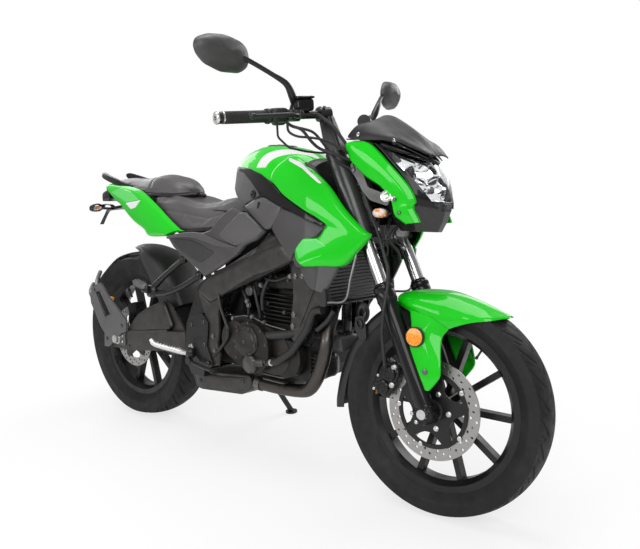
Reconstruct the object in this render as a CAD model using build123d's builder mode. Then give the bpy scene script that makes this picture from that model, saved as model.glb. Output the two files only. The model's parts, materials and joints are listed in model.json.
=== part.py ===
from build123d import *
import os
from math import sin, cos, radians, sqrt, degrees

# Naked street motorcycle, 250 class, standing on its side stand. Millimetres.
# The bike is drawn upright and with straight steering: +X forward, +Y to the
# rider's left, +Z up, the rear axle over x = 0 and the ground at z = 0. The last
# section turns the steered pieces, leans the bike onto its side stand and sets
# the origin under the middle of it.

# ---------------------------------------------------------------- main sizes
wheelbase = 1345.0
rake_angle = 25.5
trail = 95.0
lean_angle = 6.5
steer_angle = 4.7
front_tyre_radius = 293.0
front_tyre_width = 104.0
rear_tyre_radius = 307.0
rear_tyre_width = 132.0
front_rim_width = 66.0
rear_rim_width = 88.0
rim_flange_radius = 228.0
bead_seat_radius = 217.0
rim_inner_radius = 197.0
fork_spacing = 191.0
stanchion_diameter = 37.0
spar_outer_width = 300.0
spar_thickness = 38.0

# ----------------------------------------------------------------- clearances
seat_gap = 0.3
bearing_gap = 0.08
axle_gap = 0.1
moving_gap = 5.5

# ------------------------------------------------------------- derived places
rake = radians(rake_angle)
steer_foot = Vector(wheelbase + trail, 0, 0)
steer_axis = Vector(-sin(rake), 0, cos(rake))
steer_forward = Vector(cos(rake), 0, sin(rake))
front_axle_point = Vector(wheelbase, 0, front_tyre_radius)
rear_axle_point = Vector(0, 0, rear_tyre_radius)
axle_height = (front_axle_point - steer_foot).dot(steer_axis)
fork_offset = (front_axle_point - steer_foot).dot(steer_forward)
spar_outer = spar_outer_width / 2
spar_inner = spar_outer - spar_thickness
sides = (-1, 1)


# ------------------------------------------------------------ shape functions
def steering_plane(height):
    """Plane square to the steering axis: local x forward, y left."""
    return Plane(steer_foot + steer_axis * height, x_dir=steer_forward, z_dir=steer_axis)


def fork_plane(side, distance):
    """Plane square to a fork leg, the distance up the leg from the axle."""
    centre = front_axle_point + Vector(0, side * fork_spacing / 2, 0) + steer_axis * distance
    return Plane(centre, x_dir=steer_forward, z_dir=steer_axis)


def lateral_plane(y):
    """Side-view plane at y, local x forward and local y up, its normal to -Y."""
    return Plane.XZ.offset(-y)


def span(side, low, high):
    """The two lateral limits of a piece on one side, as lowest and highest y."""
    return (low, high) if side > 0 else (-high, -low)


def slab(outline, y_low, y_high, mode=Mode.ADD):
    """Side-view outline carried from y_low to y_high."""
    with BuildSketch(lateral_plane(y_high)) as face:
        Polygon(*outline, align=None)
    extrude(face.sketch, amount=y_high - y_low, mode=mode)


def rod(start, end, radius, mode=Mode.ADD):
    """Round bar between two points."""
    axis = Vector(*end) - Vector(*start)
    with BuildSketch(Plane(Vector(*start), z_dir=axis.normalized())) as face:
        Circle(radius)
    extrude(face.sketch, amount=axis.length, mode=mode)


def cross_rod(x, z, y_low, y_high, radius, mode=Mode.ADD):
    """Round bar across the bike."""
    with BuildSketch(lateral_plane(y_high)) as face:
        with Locations((x, z)):
            Circle(radius)
    extrude(face.sketch, amount=y_high - y_low, mode=mode)


def block(x_low, x_high, y_low, y_high, z_low, z_high, mode=Mode.ADD):
    """Upright box between its six limits."""
    slab([(x_low, z_low), (x_high, z_low), (x_high, z_high), (x_low, z_high)],
         y_low, y_high, mode)


def bent_tube(points, bend_radii, radius):
    """Tube along straight runs joined by tangent arcs."""
    with BuildLine() as route:
        FilletPolyline(*points, radius=bend_radii)
    with BuildSketch(Plane(route.line @ 0, z_dir=route.line % 0)) as face:
        Circle(radius)
    sweep(face.sketch, path=route.line)


def ring(centre, inner, outer, y_low, y_high, mode=Mode.ADD):
    """Flat ring across the bike about a wheel centre."""
    with BuildSketch(lateral_plane(y_high)) as face:
        with Locations((centre.X, centre.Z)):
            Circle(outer)
            Circle(inner, mode=Mode.SUBTRACT)
    extrude(face.sketch, amount=y_high - y_low, mode=mode)


def cross_section_plane(x):
    """Plane across the bike at x: local x to the left, local y up."""
    return Plane.YZ.offset(x)


def skin(stations, thickness, side):
    """Shell through outer edges given as (half width, height) at each x."""
    sections = []
    for x, outer in stations.items():
        inner = [(y - thickness, z) for y, z in reversed(outer)]
        with BuildSketch(cross_section_plane(x)) as section:
            Polygon(*[(side * y, z) for y, z in list(outer) + inner], align=None)
        sections.append(section.sketch)
    loft(sections, ruled=True)


def revolve_about_axle(outline, centre, start_angle, sweep_angle):
    """Turn a (y, radius) outline about a wheel axle; angles rise from forward."""
    turn = radians(start_angle)
    radial = Vector(cos(turn), 0, sin(turn))
    plane = Plane(centre, x_dir=(0, 1, 0), z_dir=Vector(0, 1, 0).cross(radial))
    with BuildSketch(plane) as face:
        Polygon(*outline, align=None)
    revolve(face.sketch, axis=Axis(centre, (0, -1, 0)), revolution_arc=sweep_angle)


# -------------------------------------------------------------------- wheels
tyre_bead_gap = 0.3
tyre_crown_share = 0.52


def tyre_outline(radius, width, rim_width):
    """Half-round tyre section on its rim: beads, sidewalls and crown."""
    half = width / 2
    bead = rim_width / 2 - 5.0
    crown = half * tyre_crown_share * 2
    return half, bead, crown


def make_tyre(centre, radius, width, rim_width):
    """Solid tyre ring, its crown one arc that meets the sidewalls."""
    half, bead, crown = tyre_outline(radius, width, rim_width)
    shoulder = radius - crown * 0.42
    base = bead_seat_radius + tyre_bead_gap
    lip = rim_flange_radius + tyre_bead_gap
    with BuildSketch(Plane(centre, x_dir=(0, 1, 0), z_dir=(1, 0, 0))) as face:
        with BuildLine():
            Polyline((-half * 0.97, shoulder), (-half, (shoulder + lip) / 2),
                     (-rim_width / 2, lip), (-bead, lip), (-bead, base),
                     (bead, base), (bead, lip), (rim_width / 2, lip),
                     (half, (shoulder + lip) / 2), (half * 0.97, shoulder))
            ThreePointArc((half * 0.97, shoulder), (0, radius), (-half * 0.97, shoulder))
        make_face()
    revolve(face.sketch, axis=Axis(centre, (0, 1, 0)))


spoke_count = 10
spoke_width = 17.0
spoke_depth = 26.0
rim_well_depth = 9.0


def make_wheel(centre, rim_width, hub_radius, hub_low, hub_high, axle_radius):
    """Cast wheel: drop-centre rim, evenly spaced straight spokes and a hub."""
    half = rim_width / 2
    bead = half - 5.0
    well = bead_seat_radius - rim_well_depth
    with BuildSketch(Plane(centre, x_dir=(0, 1, 0), z_dir=(1, 0, 0))) as face:
        Polygon((-half, rim_flange_radius), (-half, bead_seat_radius - 7),
                (-half * 0.55, rim_inner_radius), (half * 0.55, rim_inner_radius),
                (half, bead_seat_radius - 7), (half, rim_flange_radius),
                (bead, rim_flange_radius), (bead, bead_seat_radius),
                (bead * 0.6, bead_seat_radius), (bead * 0.5, well),
                (-bead * 0.5, well), (-bead * 0.6, bead_seat_radius),
                (-bead, bead_seat_radius), (-bead, rim_flange_radius), align=None)
    revolve(face.sketch, axis=Axis(centre, (0, 1, 0)))
    spoke_length = rim_inner_radius + 3 - hub_radius * 0.8
    spoke_middle = hub_radius * 0.8 + spoke_length / 2
    with BuildSketch(Plane(centre, x_dir=(1, 0, 0), z_dir=(0, -1, 0)).offset(-spoke_depth / 2)) as arms:
        with PolarLocations(spoke_middle, spoke_count):
            Rectangle(spoke_length, spoke_width)
    extrude(arms.sketch, amount=spoke_depth)
    cross_rod(centre.X, centre.Z, hub_low, hub_high, hub_radius)
    cross_rod(centre.X, centre.Z, hub_low - 1, hub_high + 1, axle_radius, Mode.SUBTRACT)


def make_disc(centre, outer, inner, y_low, y_high, carrier_radius, hub_bore, holes):
    """Drilled brake disc: friction ring, five arms and the ring on the hub."""
    with BuildSketch(lateral_plane(y_high)) as face:
        with Locations((centre.X, centre.Z)):
            Circle(outer)
            Circle(inner, mode=Mode.SUBTRACT)
            with PolarLocations(0, 5, start_angle=18):
                with Locations(((inner + carrier_radius) / 2, 0)):
                    Rectangle(inner - carrier_radius + 12, 18)
            Circle(carrier_radius)
            Circle(hub_bore, mode=Mode.SUBTRACT)
            for step, (share, start) in enumerate(((0.25, 0), (0.5, 8), (0.75, 16))):
                with PolarLocations(inner + (outer - inner) * share, holes, start_angle=start):
                    Circle(3.6, mode=Mode.SUBTRACT)
    extrude(face.sketch, amount=y_high - y_low)


front_axle_radius = 8.0
rear_axle_radius = 8.5
front_hub_radius = 34.0
rear_hub_radius = 40.0
disc_thickness = 4.0
fork_lower_diameter = 48.0
front_disc_outer = 134.0
front_disc_inner = 99.0
rear_disc_outer = 115.0
rear_disc_inner = 84.0
fork_half = fork_spacing / 2
fork_inner_face = fork_half - fork_lower_diameter / 2
fork_outer_face = fork_half + fork_lower_diameter / 2
front_disc_low = -(fork_inner_face - moving_gap)
front_disc_high = front_disc_low + disc_thickness
front_hub_left = 58.0
chain_line = 81.0
chain_width = 16.0
sprocket_thickness = 6.0
rear_sprocket_radius = 92.0
front_sprocket_radius = 36.0
rear_disc_low = -66.0
rear_disc_high = rear_disc_low + disc_thickness

with BuildPart() as front_tyre:
    make_tyre(front_axle_point, front_tyre_radius, front_tyre_width, front_rim_width)
with BuildPart() as rear_tyre:
    make_tyre(rear_axle_point, rear_tyre_radius, rear_tyre_width, rear_rim_width)
with BuildPart() as front_wheel_casting:
    make_wheel(front_axle_point, front_rim_width, front_hub_radius,
               front_disc_high + seat_gap, front_hub_left, front_axle_radius + axle_gap)
with BuildPart() as rear_wheel_casting:
    make_wheel(rear_axle_point, rear_rim_width, rear_hub_radius,
               rear_disc_high + seat_gap, chain_line - sprocket_thickness / 2 - seat_gap,
               rear_axle_radius + axle_gap)
with BuildPart() as front_brake_disc:
    make_disc(front_axle_point, front_disc_outer, front_disc_inner, front_disc_low,
              front_disc_high, 46.0, 20.0, 18)
with BuildPart() as rear_brake_disc:
    make_disc(rear_axle_point, rear_disc_outer, rear_disc_inner, rear_disc_low,
              rear_disc_high, 46.0, 20.0, 16)
with BuildPart() as rear_sprocket:
    ring(rear_axle_point, 22.0, rear_sprocket_radius, chain_line - sprocket_thickness / 2,
         chain_line + sprocket_thickness / 2)
    with BuildSketch(lateral_plane(chain_line + sprocket_thickness)) as openings:
        with Locations((rear_axle_point.X, rear_axle_point.Z)):
            with PolarLocations(62, 6):
                Circle(15)
    extrude(openings.sketch, amount=3 * sprocket_thickness, mode=Mode.SUBTRACT)

# ----------------------------------------------------------------- front fork
leg_bottom = -26.0
seal_height = 344.0
stanchion_start = 270.0
lower_yoke_low = 785.0
lower_yoke_high = 820.0
upper_yoke_low = 995.0
upper_yoke_high = 1022.0
stanchion_top = 1052.0
stem_diameter = 30.0
stem_bore = 16.0
fork_cover_diameter = 60.0
clamp_radius = 31.0
disc_spacer = 12.5

caliper_outer = fork_half - 19.5
lug_outer = caliper_outer + 10

with BuildPart() as fork_lower_legs:
    for side in sides:
        with BuildSketch(fork_plane(side, leg_bottom)) as leg:
            Circle(fork_lower_diameter / 2)
        extrude(leg.sketch, amount=seal_height - leg_bottom)
        with BuildSketch(fork_plane(side, seal_height - 22)) as seal:
            Circle(fork_lower_diameter / 2 + 3)
        extrude(seal.sketch, amount=16)
        with BuildSketch(fork_plane(side, stanchion_start - seat_gap)) as bore:
            Circle(stanchion_diameter / 2 + seat_gap)
        extrude(bore.sketch, amount=seal_height, mode=Mode.SUBTRACT)
    # lugs for the caliper behind the right leg and for the mudguard before both
    slab([(1240, 378), (1292, 352), (1306, 405), (1246, 432)], 2 - lug_outer, -caliper_outer - seat_gap)
    for side in sides:
        y_low, y_high = span(side, caliper_outer, lug_outer)
        block(1300, 1352, y_low, y_high, 392, 412)
    cross_rod(wheelbase, front_tyre_radius, -fork_outer_face - 20, fork_outer_face + 20,
              front_axle_radius + seat_gap, Mode.SUBTRACT)

with BuildPart() as front_axle:
    cross_rod(wheelbase, front_tyre_radius, -fork_outer_face - 4.5, fork_outer_face + 4.5,
              front_axle_radius)
    for side in sides:
        y_low, y_high = span(side, fork_outer_face + seat_gap, fork_outer_face + 9.5)
        cross_rod(wheelbase, front_tyre_radius, y_low, y_high, 13)
    cross_rod(wheelbase, front_tyre_radius, -fork_inner_face + seat_gap,
              front_disc_low - 0.5, disc_spacer)
    cross_rod(wheelbase, front_tyre_radius, front_hub_left + 0.5,
              fork_inner_face - seat_gap, disc_spacer)

with BuildPart() as fork_stanchions:
    for side in sides:
        with BuildSketch(fork_plane(side, stanchion_start)) as tube:
            Circle(stanchion_diameter / 2)
        extrude(tube.sketch, amount=stanchion_top - axle_height - stanchion_start)

with BuildPart() as fork_yokes:
    for low, high in ((lower_yoke_low, lower_yoke_high), (upper_yoke_low, upper_yoke_high)):
        with BuildSketch(steering_plane(low)) as plate:
            with Locations((fork_offset, fork_spacing / 2), (fork_offset, -fork_spacing / 2)):
                Circle(clamp_radius)
            Circle(clamp_radius)
            make_hull()
            with Locations((fork_offset, fork_spacing / 2), (fork_offset, -fork_spacing / 2)):
                Circle(stanchion_diameter / 2 + seat_gap, mode=Mode.SUBTRACT)
        extrude(plate.sketch, amount=high - low)
    with BuildSketch(steering_plane(lower_yoke_low - 8)) as stem:
        Circle(stem_diameter / 2)
    extrude(stem.sketch, amount=upper_yoke_high + 14 - lower_yoke_low)
    with BuildSketch(steering_plane(lower_yoke_low - 20)) as bore:
        Circle(stem_bore / 2)
    extrude(bore.sketch, amount=40, mode=Mode.SUBTRACT)

with BuildPart() as fork_covers:
    for side in sides:
        with BuildSketch(fork_plane(side, lower_yoke_high + seat_gap - axle_height)) as cover:
            Circle(fork_cover_diameter / 2)
            Circle(stanchion_diameter / 2 + seat_gap, mode=Mode.SUBTRACT)
        extrude(cover.sketch, amount=upper_yoke_low - lower_yoke_high - 2 * seat_gap)

# -------------------------------------------------------------- front mudguard
guard_inner_radius = 309.0
guard_thickness = 4.0
guard_half_width = 64.0
guard_skirt_radius = 268.0
guard_front_angle = 56.0
guard_split_angle = 112.0
flap_end_angle = 190.0
guard_stay_inner = lug_outer
guard_stay_thickness = 4.0


def guard_section(half_width, skirt):
    """Upturned channel over the tyre, as (y, radius) corners."""
    inner = half_width - guard_thickness
    top = guard_inner_radius + guard_thickness
    return [(-half_width, skirt), (-half_width, top - 14), (-half_width * 0.6, top),
            (half_width * 0.6, top), (half_width, top - 14), (half_width, skirt),
            (inner, skirt), (inner, guard_inner_radius - 14),
            (inner * 0.6, guard_inner_radius), (-inner * 0.6, guard_inner_radius),
            (-inner, guard_inner_radius - 14), (-inner, skirt)]


with BuildPart() as front_mudguard:
    revolve_about_axle(guard_section(guard_half_width, guard_skirt_radius), front_axle_point,
                       guard_front_angle, guard_split_angle - guard_front_angle)
    for side in sides:
        y_low, y_high = span(side, guard_stay_inner + seat_gap,
                             guard_stay_inner + guard_stay_thickness)
        slab([(1290, 560), (1302, 456), (1337, 375), (1350, 357), (1376, 392),
              (1364, 491), (1400, 545), (1390, 560)], y_low, y_high)
        y_low, y_high = span(side, guard_half_width - 2, guard_stay_inner + 2)
        block(1296, 1392, y_low, y_high, 552, 558)

with BuildPart() as front_mudguard_flap:
    revolve_about_axle(guard_section(guard_half_width - 3, 285.0), front_axle_point,
                       guard_split_angle + 0.1, flap_end_angle - guard_split_angle)
    for side in sides:
        y_low, y_high = span(side, guard_half_width - 5, fork_inner_face - seat_gap)
        block(1196, 1226, y_low, y_high, 540, 560)

# ------------------------------------------------------------------ handlebars
bar_inner = Vector(986, -99, 1073)
bar_end = Vector(864, -401, 1035)
bar_radius = 11.0
grip_radius = 16.5
grip_length = 128.0
bar_end_length = 24.0
riser_length = 48.0
riser_width = 26.0


def mirrored(point, side):
    """The point on the chosen side, where -1 is the side it is given on."""
    return Vector(point.X, -side * point.Y, point.Z)


def bar_point(side, distance):
    """Point on the bar tube, the distance inwards from its outer end."""
    inner = mirrored(bar_inner, side)
    outer = mirrored(bar_end, side)
    return outer + (inner - outer).normalized() * distance


bar_length = (bar_inner - bar_end).length

with BuildPart() as handlebars:
    for side in sides:
        clamp = steering_plane(upper_yoke_high + seat_gap)
        with BuildSketch(clamp) as collar:
            with Locations((fork_offset, side * fork_spacing / 2)):
                Circle(clamp_radius - 2)
                Circle(stanchion_diameter / 2 + seat_gap, mode=Mode.SUBTRACT)
        extrude(collar.sketch, amount=28)
        with BuildSketch(clamp.offset(22)) as riser_foot:
            with Locations((fork_offset + 4, side * fork_spacing / 2)):
                RectangleRounded(riser_length + 6, riser_width + 20, 10)
        with BuildSketch(clamp.offset(125)) as riser_head:
            with Locations((fork_offset + 12, side * (fork_spacing / 2 + 4))):
                RectangleRounded(riser_length - 6, riser_width + 4, 10)
        loft([riser_foot.sketch, riser_head.sketch])
        rod(bar_point(side, bar_length + 6), bar_point(side, 0), bar_radius)
        rod(bar_point(side, bar_length + 14), bar_point(side, bar_length - 22), bar_radius + 9)
        rod(bar_point(side, bar_end_length - seat_gap), bar_point(side, 0), grip_radius - 1)
    with BuildSketch(clamp.offset(-2)) as stanchion_room:
        with Locations((fork_offset, fork_spacing / 2), (fork_offset, -fork_spacing / 2)):
            Circle(stanchion_diameter / 2 + seat_gap)
    extrude(stanchion_room.sketch, amount=36, mode=Mode.SUBTRACT)

with BuildPart() as hand_grips:
    for side in sides:
        rod(bar_point(side, bar_end_length), bar_point(side, bar_end_length + grip_length), grip_radius)
        rod(bar_point(side, bar_end_length + grip_length - 8),
            bar_point(side, bar_end_length + grip_length), grip_radius + 4)
        rod(bar_point(side, bar_end_length - 1), bar_point(side, bar_end_length + grip_length + 1),
            bar_radius + seat_gap, Mode.SUBTRACT)

switch_start = bar_end_length + grip_length + seat_gap
switch_length = 52.0
perch_start = switch_start + switch_length + seat_gap
perch_length = 34.0
lever_gap = 62.0


def bar_frame(side, distance):
    """Plane across the bar tube: local z inwards along the bar, local x forward."""
    inward = (mirrored(bar_inner, side) - mirrored(bar_end, side)).normalized()
    forward = (Vector(1, 0, 0) - inward * inward.X).normalized()
    return Plane(bar_point(side, distance), x_dir=forward, z_dir=inward)


with BuildPart() as hand_controls:
    for side in sides:
        base = bar_frame(side, switch_start)
        with BuildSketch(base) as housing:
            RectangleRounded(46, 42, 12)
        extrude(housing.sketch, amount=switch_length)
        perch = bar_frame(side, perch_start - 6)
        with BuildSketch(perch) as clamp_body:
            with Locations((16, 0)):
                RectangleRounded(66, 34, 10)
        extrude(clamp_body.sketch, amount=perch_length + 6)
        pivot = perch.offset(16)
        tip_plane = bar_frame(side, 62)
        start = pivot.from_local_coords(Vector(lever_gap - 20, 0, 0))
        knee = bar_frame(side, perch_start - 34).from_local_coords(Vector(lever_gap + 4, 0, 0))
        tip = tip_plane.from_local_coords(Vector(lever_gap - 2, 0, 0))
        rod(start, knee, 8)
        rod(knee, tip, 6.5)
        with Locations(tip):
            Sphere(9)
        with Locations(knee):
            Sphere(8)
    for side in sides:
        rod(bar_point(side, switch_start - 1), bar_point(side, perch_start + perch_length + 2),
            bar_radius + seat_gap, Mode.SUBTRACT)

mirror_centre = Vector(886, -397, 1197)
mirror_width = 186.0
mirror_height = 90.0
mirror_depth = 28.0
mirror_stem_radius = 6.0

with BuildPart() as mirrors:
    for side in sides:
        root_plane = bar_frame(side, perch_start + perch_length / 2)
        upwards = root_plane.y_dir * (1 if root_plane.y_dir.Z > 0 else -1)
        foot = root_plane.origin + upwards * (17 + seat_gap)
        rod(foot, foot + upwards * 16, 11)
        elbow = mirrored(Vector(950, -214, 1128), side)
        neck = mirrored(Vector(905, -325, 1196), side)
        rod(foot + upwards * 12, elbow, mirror_stem_radius + 3)
        with Locations(elbow):
            Sphere(mirror_stem_radius + 3)
        rod(elbow, neck, mirror_stem_radius)
        head = Plane(mirrored(mirror_centre, side) + Vector(-mirror_depth / 2, 0, 0), x_dir=(0, -side, 0),
                     z_dir=(1, 0, 0))
        half_w = mirror_width / 2
        half_h = mirror_height / 2
        with BuildSketch(head) as back:
            Polygon((-half_w, half_h * 0.1), (-half_w * 0.75, -half_h * 0.75),
                    (half_w * 0.1, -half_h), (half_w * 0.75, -half_h * 0.7),
                    (half_w, half_h * 0.1), (half_w * 0.6, half_h), (-half_w * 0.5, half_h * 0.8),
                    align=None)
        extrude(back.sketch, amount=mirror_depth, taper=18)

# ------------------------------------------------------- headlight and visor
lamp_rear = 1168.0
lamp_top = 972.0
lamp_face_gap = 0.3

with BuildPart() as headlight_housing:
    with BuildSketch(cross_section_plane(lamp_rear)) as rear_face:
        Polygon((-86, lamp_top), (86, lamp_top), (84, 900), (50, 822), (-50, 822), (-84, 900), align=None)
    with BuildSketch(cross_section_plane(1236)) as mid_face:
        Polygon((-96, 966), (96, 966), (92, 890), (52, 775), (-52, 775), (-92, 890), align=None)
    with BuildSketch(cross_section_plane(1276)) as front_face:
        Polygon((-78, 942), (78, 942), (76, 880), (42, 764), (-42, 764), (-76, 880), align=None)
    loft([rear_face.sketch, mid_face.sketch, front_face.sketch], ruled=True)
    with BuildSketch(cross_section_plane(1274)) as chin_rear:
        Polygon((-42, 806), (42, 806), (34, 758), (-34, 758), align=None)
    with BuildSketch(cross_section_plane(1312)) as chin_front:
        Polygon((-26, 800), (26, 800), (18, 757), (-18, 757), align=None)
    loft([chin_rear.sketch, chin_front.sketch], ruled=True)

with BuildPart() as headlight_lens:
    with BuildSketch(cross_section_plane(1276 + lamp_face_gap)) as lens_rear:
        Polygon((-78, 944), (78, 944), (76, 880), (44, 807), (-44, 807), (-76, 880), align=None)
    with BuildSketch(cross_section_plane(1322)) as lens_front:
        Polygon((-34, 912), (34, 912), (36, 870), (24, 812), (-24, 812), (-36, 870), align=None)
    loft([lens_rear.sketch, lens_front.sketch], ruled=True)

with BuildPart() as headlight_side_panels:
    for side in sides:
        outline = [(1091, 990), (1180, 980), (1250, 903), (1286, 840), (1284, 822),
                   (1297, 787), (1259, 783), (1211, 838), (1152, 890), (1106, 942)]
        stations = {1085: [(118, 1000), (118, 880), (112, 775)],
                    1180: [(121, 1000), (121, 880), (112, 775)],
                    1240: [(110, 1000), (110, 880), (96, 775)],
                    1300: [(96, 1000), (96, 880), (90, 775)]}
        with BuildPart(mode=Mode.PRIVATE) as sheet:
            skin(stations, 5, side)
            slab(outline, -200, 200, Mode.INTERSECT)
        add(sheet.part)
        cross_rod(1236, 898, *span(side, 93.3, 107), 8)

with BuildPart() as visor:
    with BuildSketch(cross_section_plane(1088)) as visor_rear:
        Polygon((-118, 1003), (-108, 1022), (-60, 1040), (60, 1040), (108, 1022), (118, 1003),
                (112, 1003), (104, 1017), (58, 1034), (-58, 1034), (-104, 1017), (-112, 1003),
                align=None)
    with BuildSketch(cross_section_plane(1150)) as visor_peak:
        Polygon((-118, 996), (-106, 1032), (-34, 1074), (34, 1074), (106, 1032), (118, 996),
                (112, 996), (102, 1027), (32, 1068), (-32, 1068), (-102, 1027), (-112, 996),
                align=None)
    with BuildSketch(cross_section_plane(1286)) as visor_tip:
        Polygon((-62, 962), (-52, 968), (-18, 976), (18, 976), (52, 968), (62, 962),
                (58, 958), (50, 963), (17, 970), (-17, 970), (-50, 963), (-58, 958),
                align=None)
    loft([visor_rear.sketch, visor_peak.sketch, visor_tip.sketch], ruled=True)
    for side in sides:
        block(lamp_rear + 1, lamp_rear + 10, *span(side, 71, 79), lamp_top + seat_gap, 1027)

with BuildPart() as instrument_cluster:
    slab([(1062, 1004), (1120, 1004), (1142, 1018), (1120, 1027), (1066, 1022)], -66, 66)

cable_tray_rear = 1080.0

with BuildPart() as headlight_bracket:
    # yoke-mounted stay: two arms forward to the lamp and a tray for the clock
    for side in sides:
        y_low, y_high = span(side, 52, 60)
        slab([(1096, 1003.7), (1150, 990), (1167.7, 960), (1167.7, 880), (1120, 912),
              (1085, 945), (1080, 1003.7)], y_low, y_high)
        with BuildSketch(steering_plane(upper_yoke_low)) as bracket_foot:
            with Locations((fork_offset + clamp_radius + seat_gap + 10, side * 56)):
                Rectangle(20, 8)
        extrude(bracket_foot.sketch, amount=upper_yoke_high - upper_yoke_low)
    block(cable_tray_rear, 1112, -60, 60, 997, 1003.7)

indicator_place = (1200, 806)
indicator_inner = 92.0
indicator_outer = 124.0

with BuildPart() as front_indicators:
    for side in sides:
        cross_rod(*indicator_place, *span(side, 57.2, indicator_inner + 1), 7)
        with BuildSketch(lateral_plane(span(side, indicator_inner, indicator_outer)[1])) as lamp:
            with Locations(indicator_place):
                Ellipse(25, 15)
        extrude(lamp.sketch, amount=indicator_outer - indicator_inner)

# ------------------------------------------------------ front brake and cables
caliper_centre = (1212, 356)
disc_slot = disc_thickness + 2 * moving_gap

with BuildPart() as front_caliper:
    with BuildSketch(lateral_plane(-48)) as body:
        with Locations(Location(caliper_centre, 64)):
            RectangleRounded(98, 62, 16)
    extrude(body.sketch, amount=caliper_outer - 48)
    disc_middle = (front_disc_low + front_disc_high) / 2
    ring(front_axle_point, 60, front_disc_outer + moving_gap, disc_middle - disc_slot / 2,
         disc_middle + disc_slot / 2, Mode.SUBTRACT)

brake_hose_radius = 4.5
cable_radius = 3.0
perch_face = perch_start + perch_length + seat_gap
caliper_union = (1219, 392)
# height up the steering axis, distance before it and outside the right leg's middle
hose_run = [(1105, 84, 32.5), (1045, 92, 12.5), (985, 88, 4.5), (925, 84, 1.5), (865, 83.5, 3.5),
            (805, 83, 1.5), (745, 82, 3.5), (690, 80, 8.5), (640, 68, 26.5), (590, 44, 40.5),
            (535, 12, 36.5), (480, -14, 22.5)]


def fork_place(height, forward, left):
    """Point of the steering, from the foot of its axis."""
    return steer_foot + steer_axis * height + steer_forward * forward + Vector(0, left, 0)


with BuildPart() as control_cables:
    hose_root = bar_frame(-1, perch_face)
    clutch_root = bar_frame(1, perch_face)
    throttle_root = bar_frame(-1, switch_start + switch_length / 2)
    # front brake hose, from the lever to the caliper before the right fork leg
    bent_tube([hose_root.from_local_coords(Vector(30, 0, 0)),
               hose_root.from_local_coords(Vector(30, 0, 50)),
               *(fork_place(height, forward, -fork_half - out) for height, forward, out in hose_run),
               (caliper_union[0], -caliper_outer - 32, caliper_union[1]),
               (caliper_union[0], -caliper_outer - seat_gap, caliper_union[1])],
              [22, 30, 60, 60, 60, 60, 60, 60, 60, 40, 40, 40, 20, 14], brake_hose_radius)
    # clutch cable to the left arm of the lamp bracket
    bent_tube([clutch_root.from_local_coords(Vector(30, 0, 0)),
               clutch_root.from_local_coords(Vector(30, 0, 50)),
               fork_place(1105, 84, 128), (1075, 110, 990), (1118, 100, 948),
               (1118, 60 + seat_gap, 948)],
              [22, 30, 60, 18], cable_radius)
    # throttle cable behind the right riser to the tray under the instruments
    bent_tube([throttle_root.from_local_coords(Vector(-4, 21 + seat_gap, 0)),
               throttle_root.from_local_coords(Vector(-4, 56, 0)),
               (935, -190, 975), (956, -140, 968), (976, -100, 967), (1003, -62, 970),
               (1048, -44, 1000.3), (cable_tray_rear - seat_gap, -44, 1000.3)],
              [18, 30, 60, 60, 30, 14], cable_radius)

# -------------------------------------------------------------------- frame
tank_bottom = 800.0
head_tube_radius = 30.0
head_low = lower_yoke_high + moving_gap
head_high = upper_yoke_low - moving_gap
pivot_point = (465, 345)
cross_box = (590, 630, 585, 660)
engine_mounts = ((944, 440), (540, 425))
mount_bolt_radius = 6.0
hanger_outer = spar_inner + 8
mount_bolt_reach = (hanger_outer + 6, spar_outer - 1)

stand_pivot = Vector(452, spar_outer + 19, 236)
stand_axis_tilt = 26.0
stand_axis = Vector(0, cos(radians(stand_axis_tilt)), sin(radians(stand_axis_tilt)))
stand_reach = 118.0
stand_forward = 46.0
stand_leg_radius = 10.0
stand_foot_radius = 22.0
stand_foot_thickness = 6.0
stand_eye_radius = 14.0
stand_eye_half = 11.5
stand_pin_radius = 6.0

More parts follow.
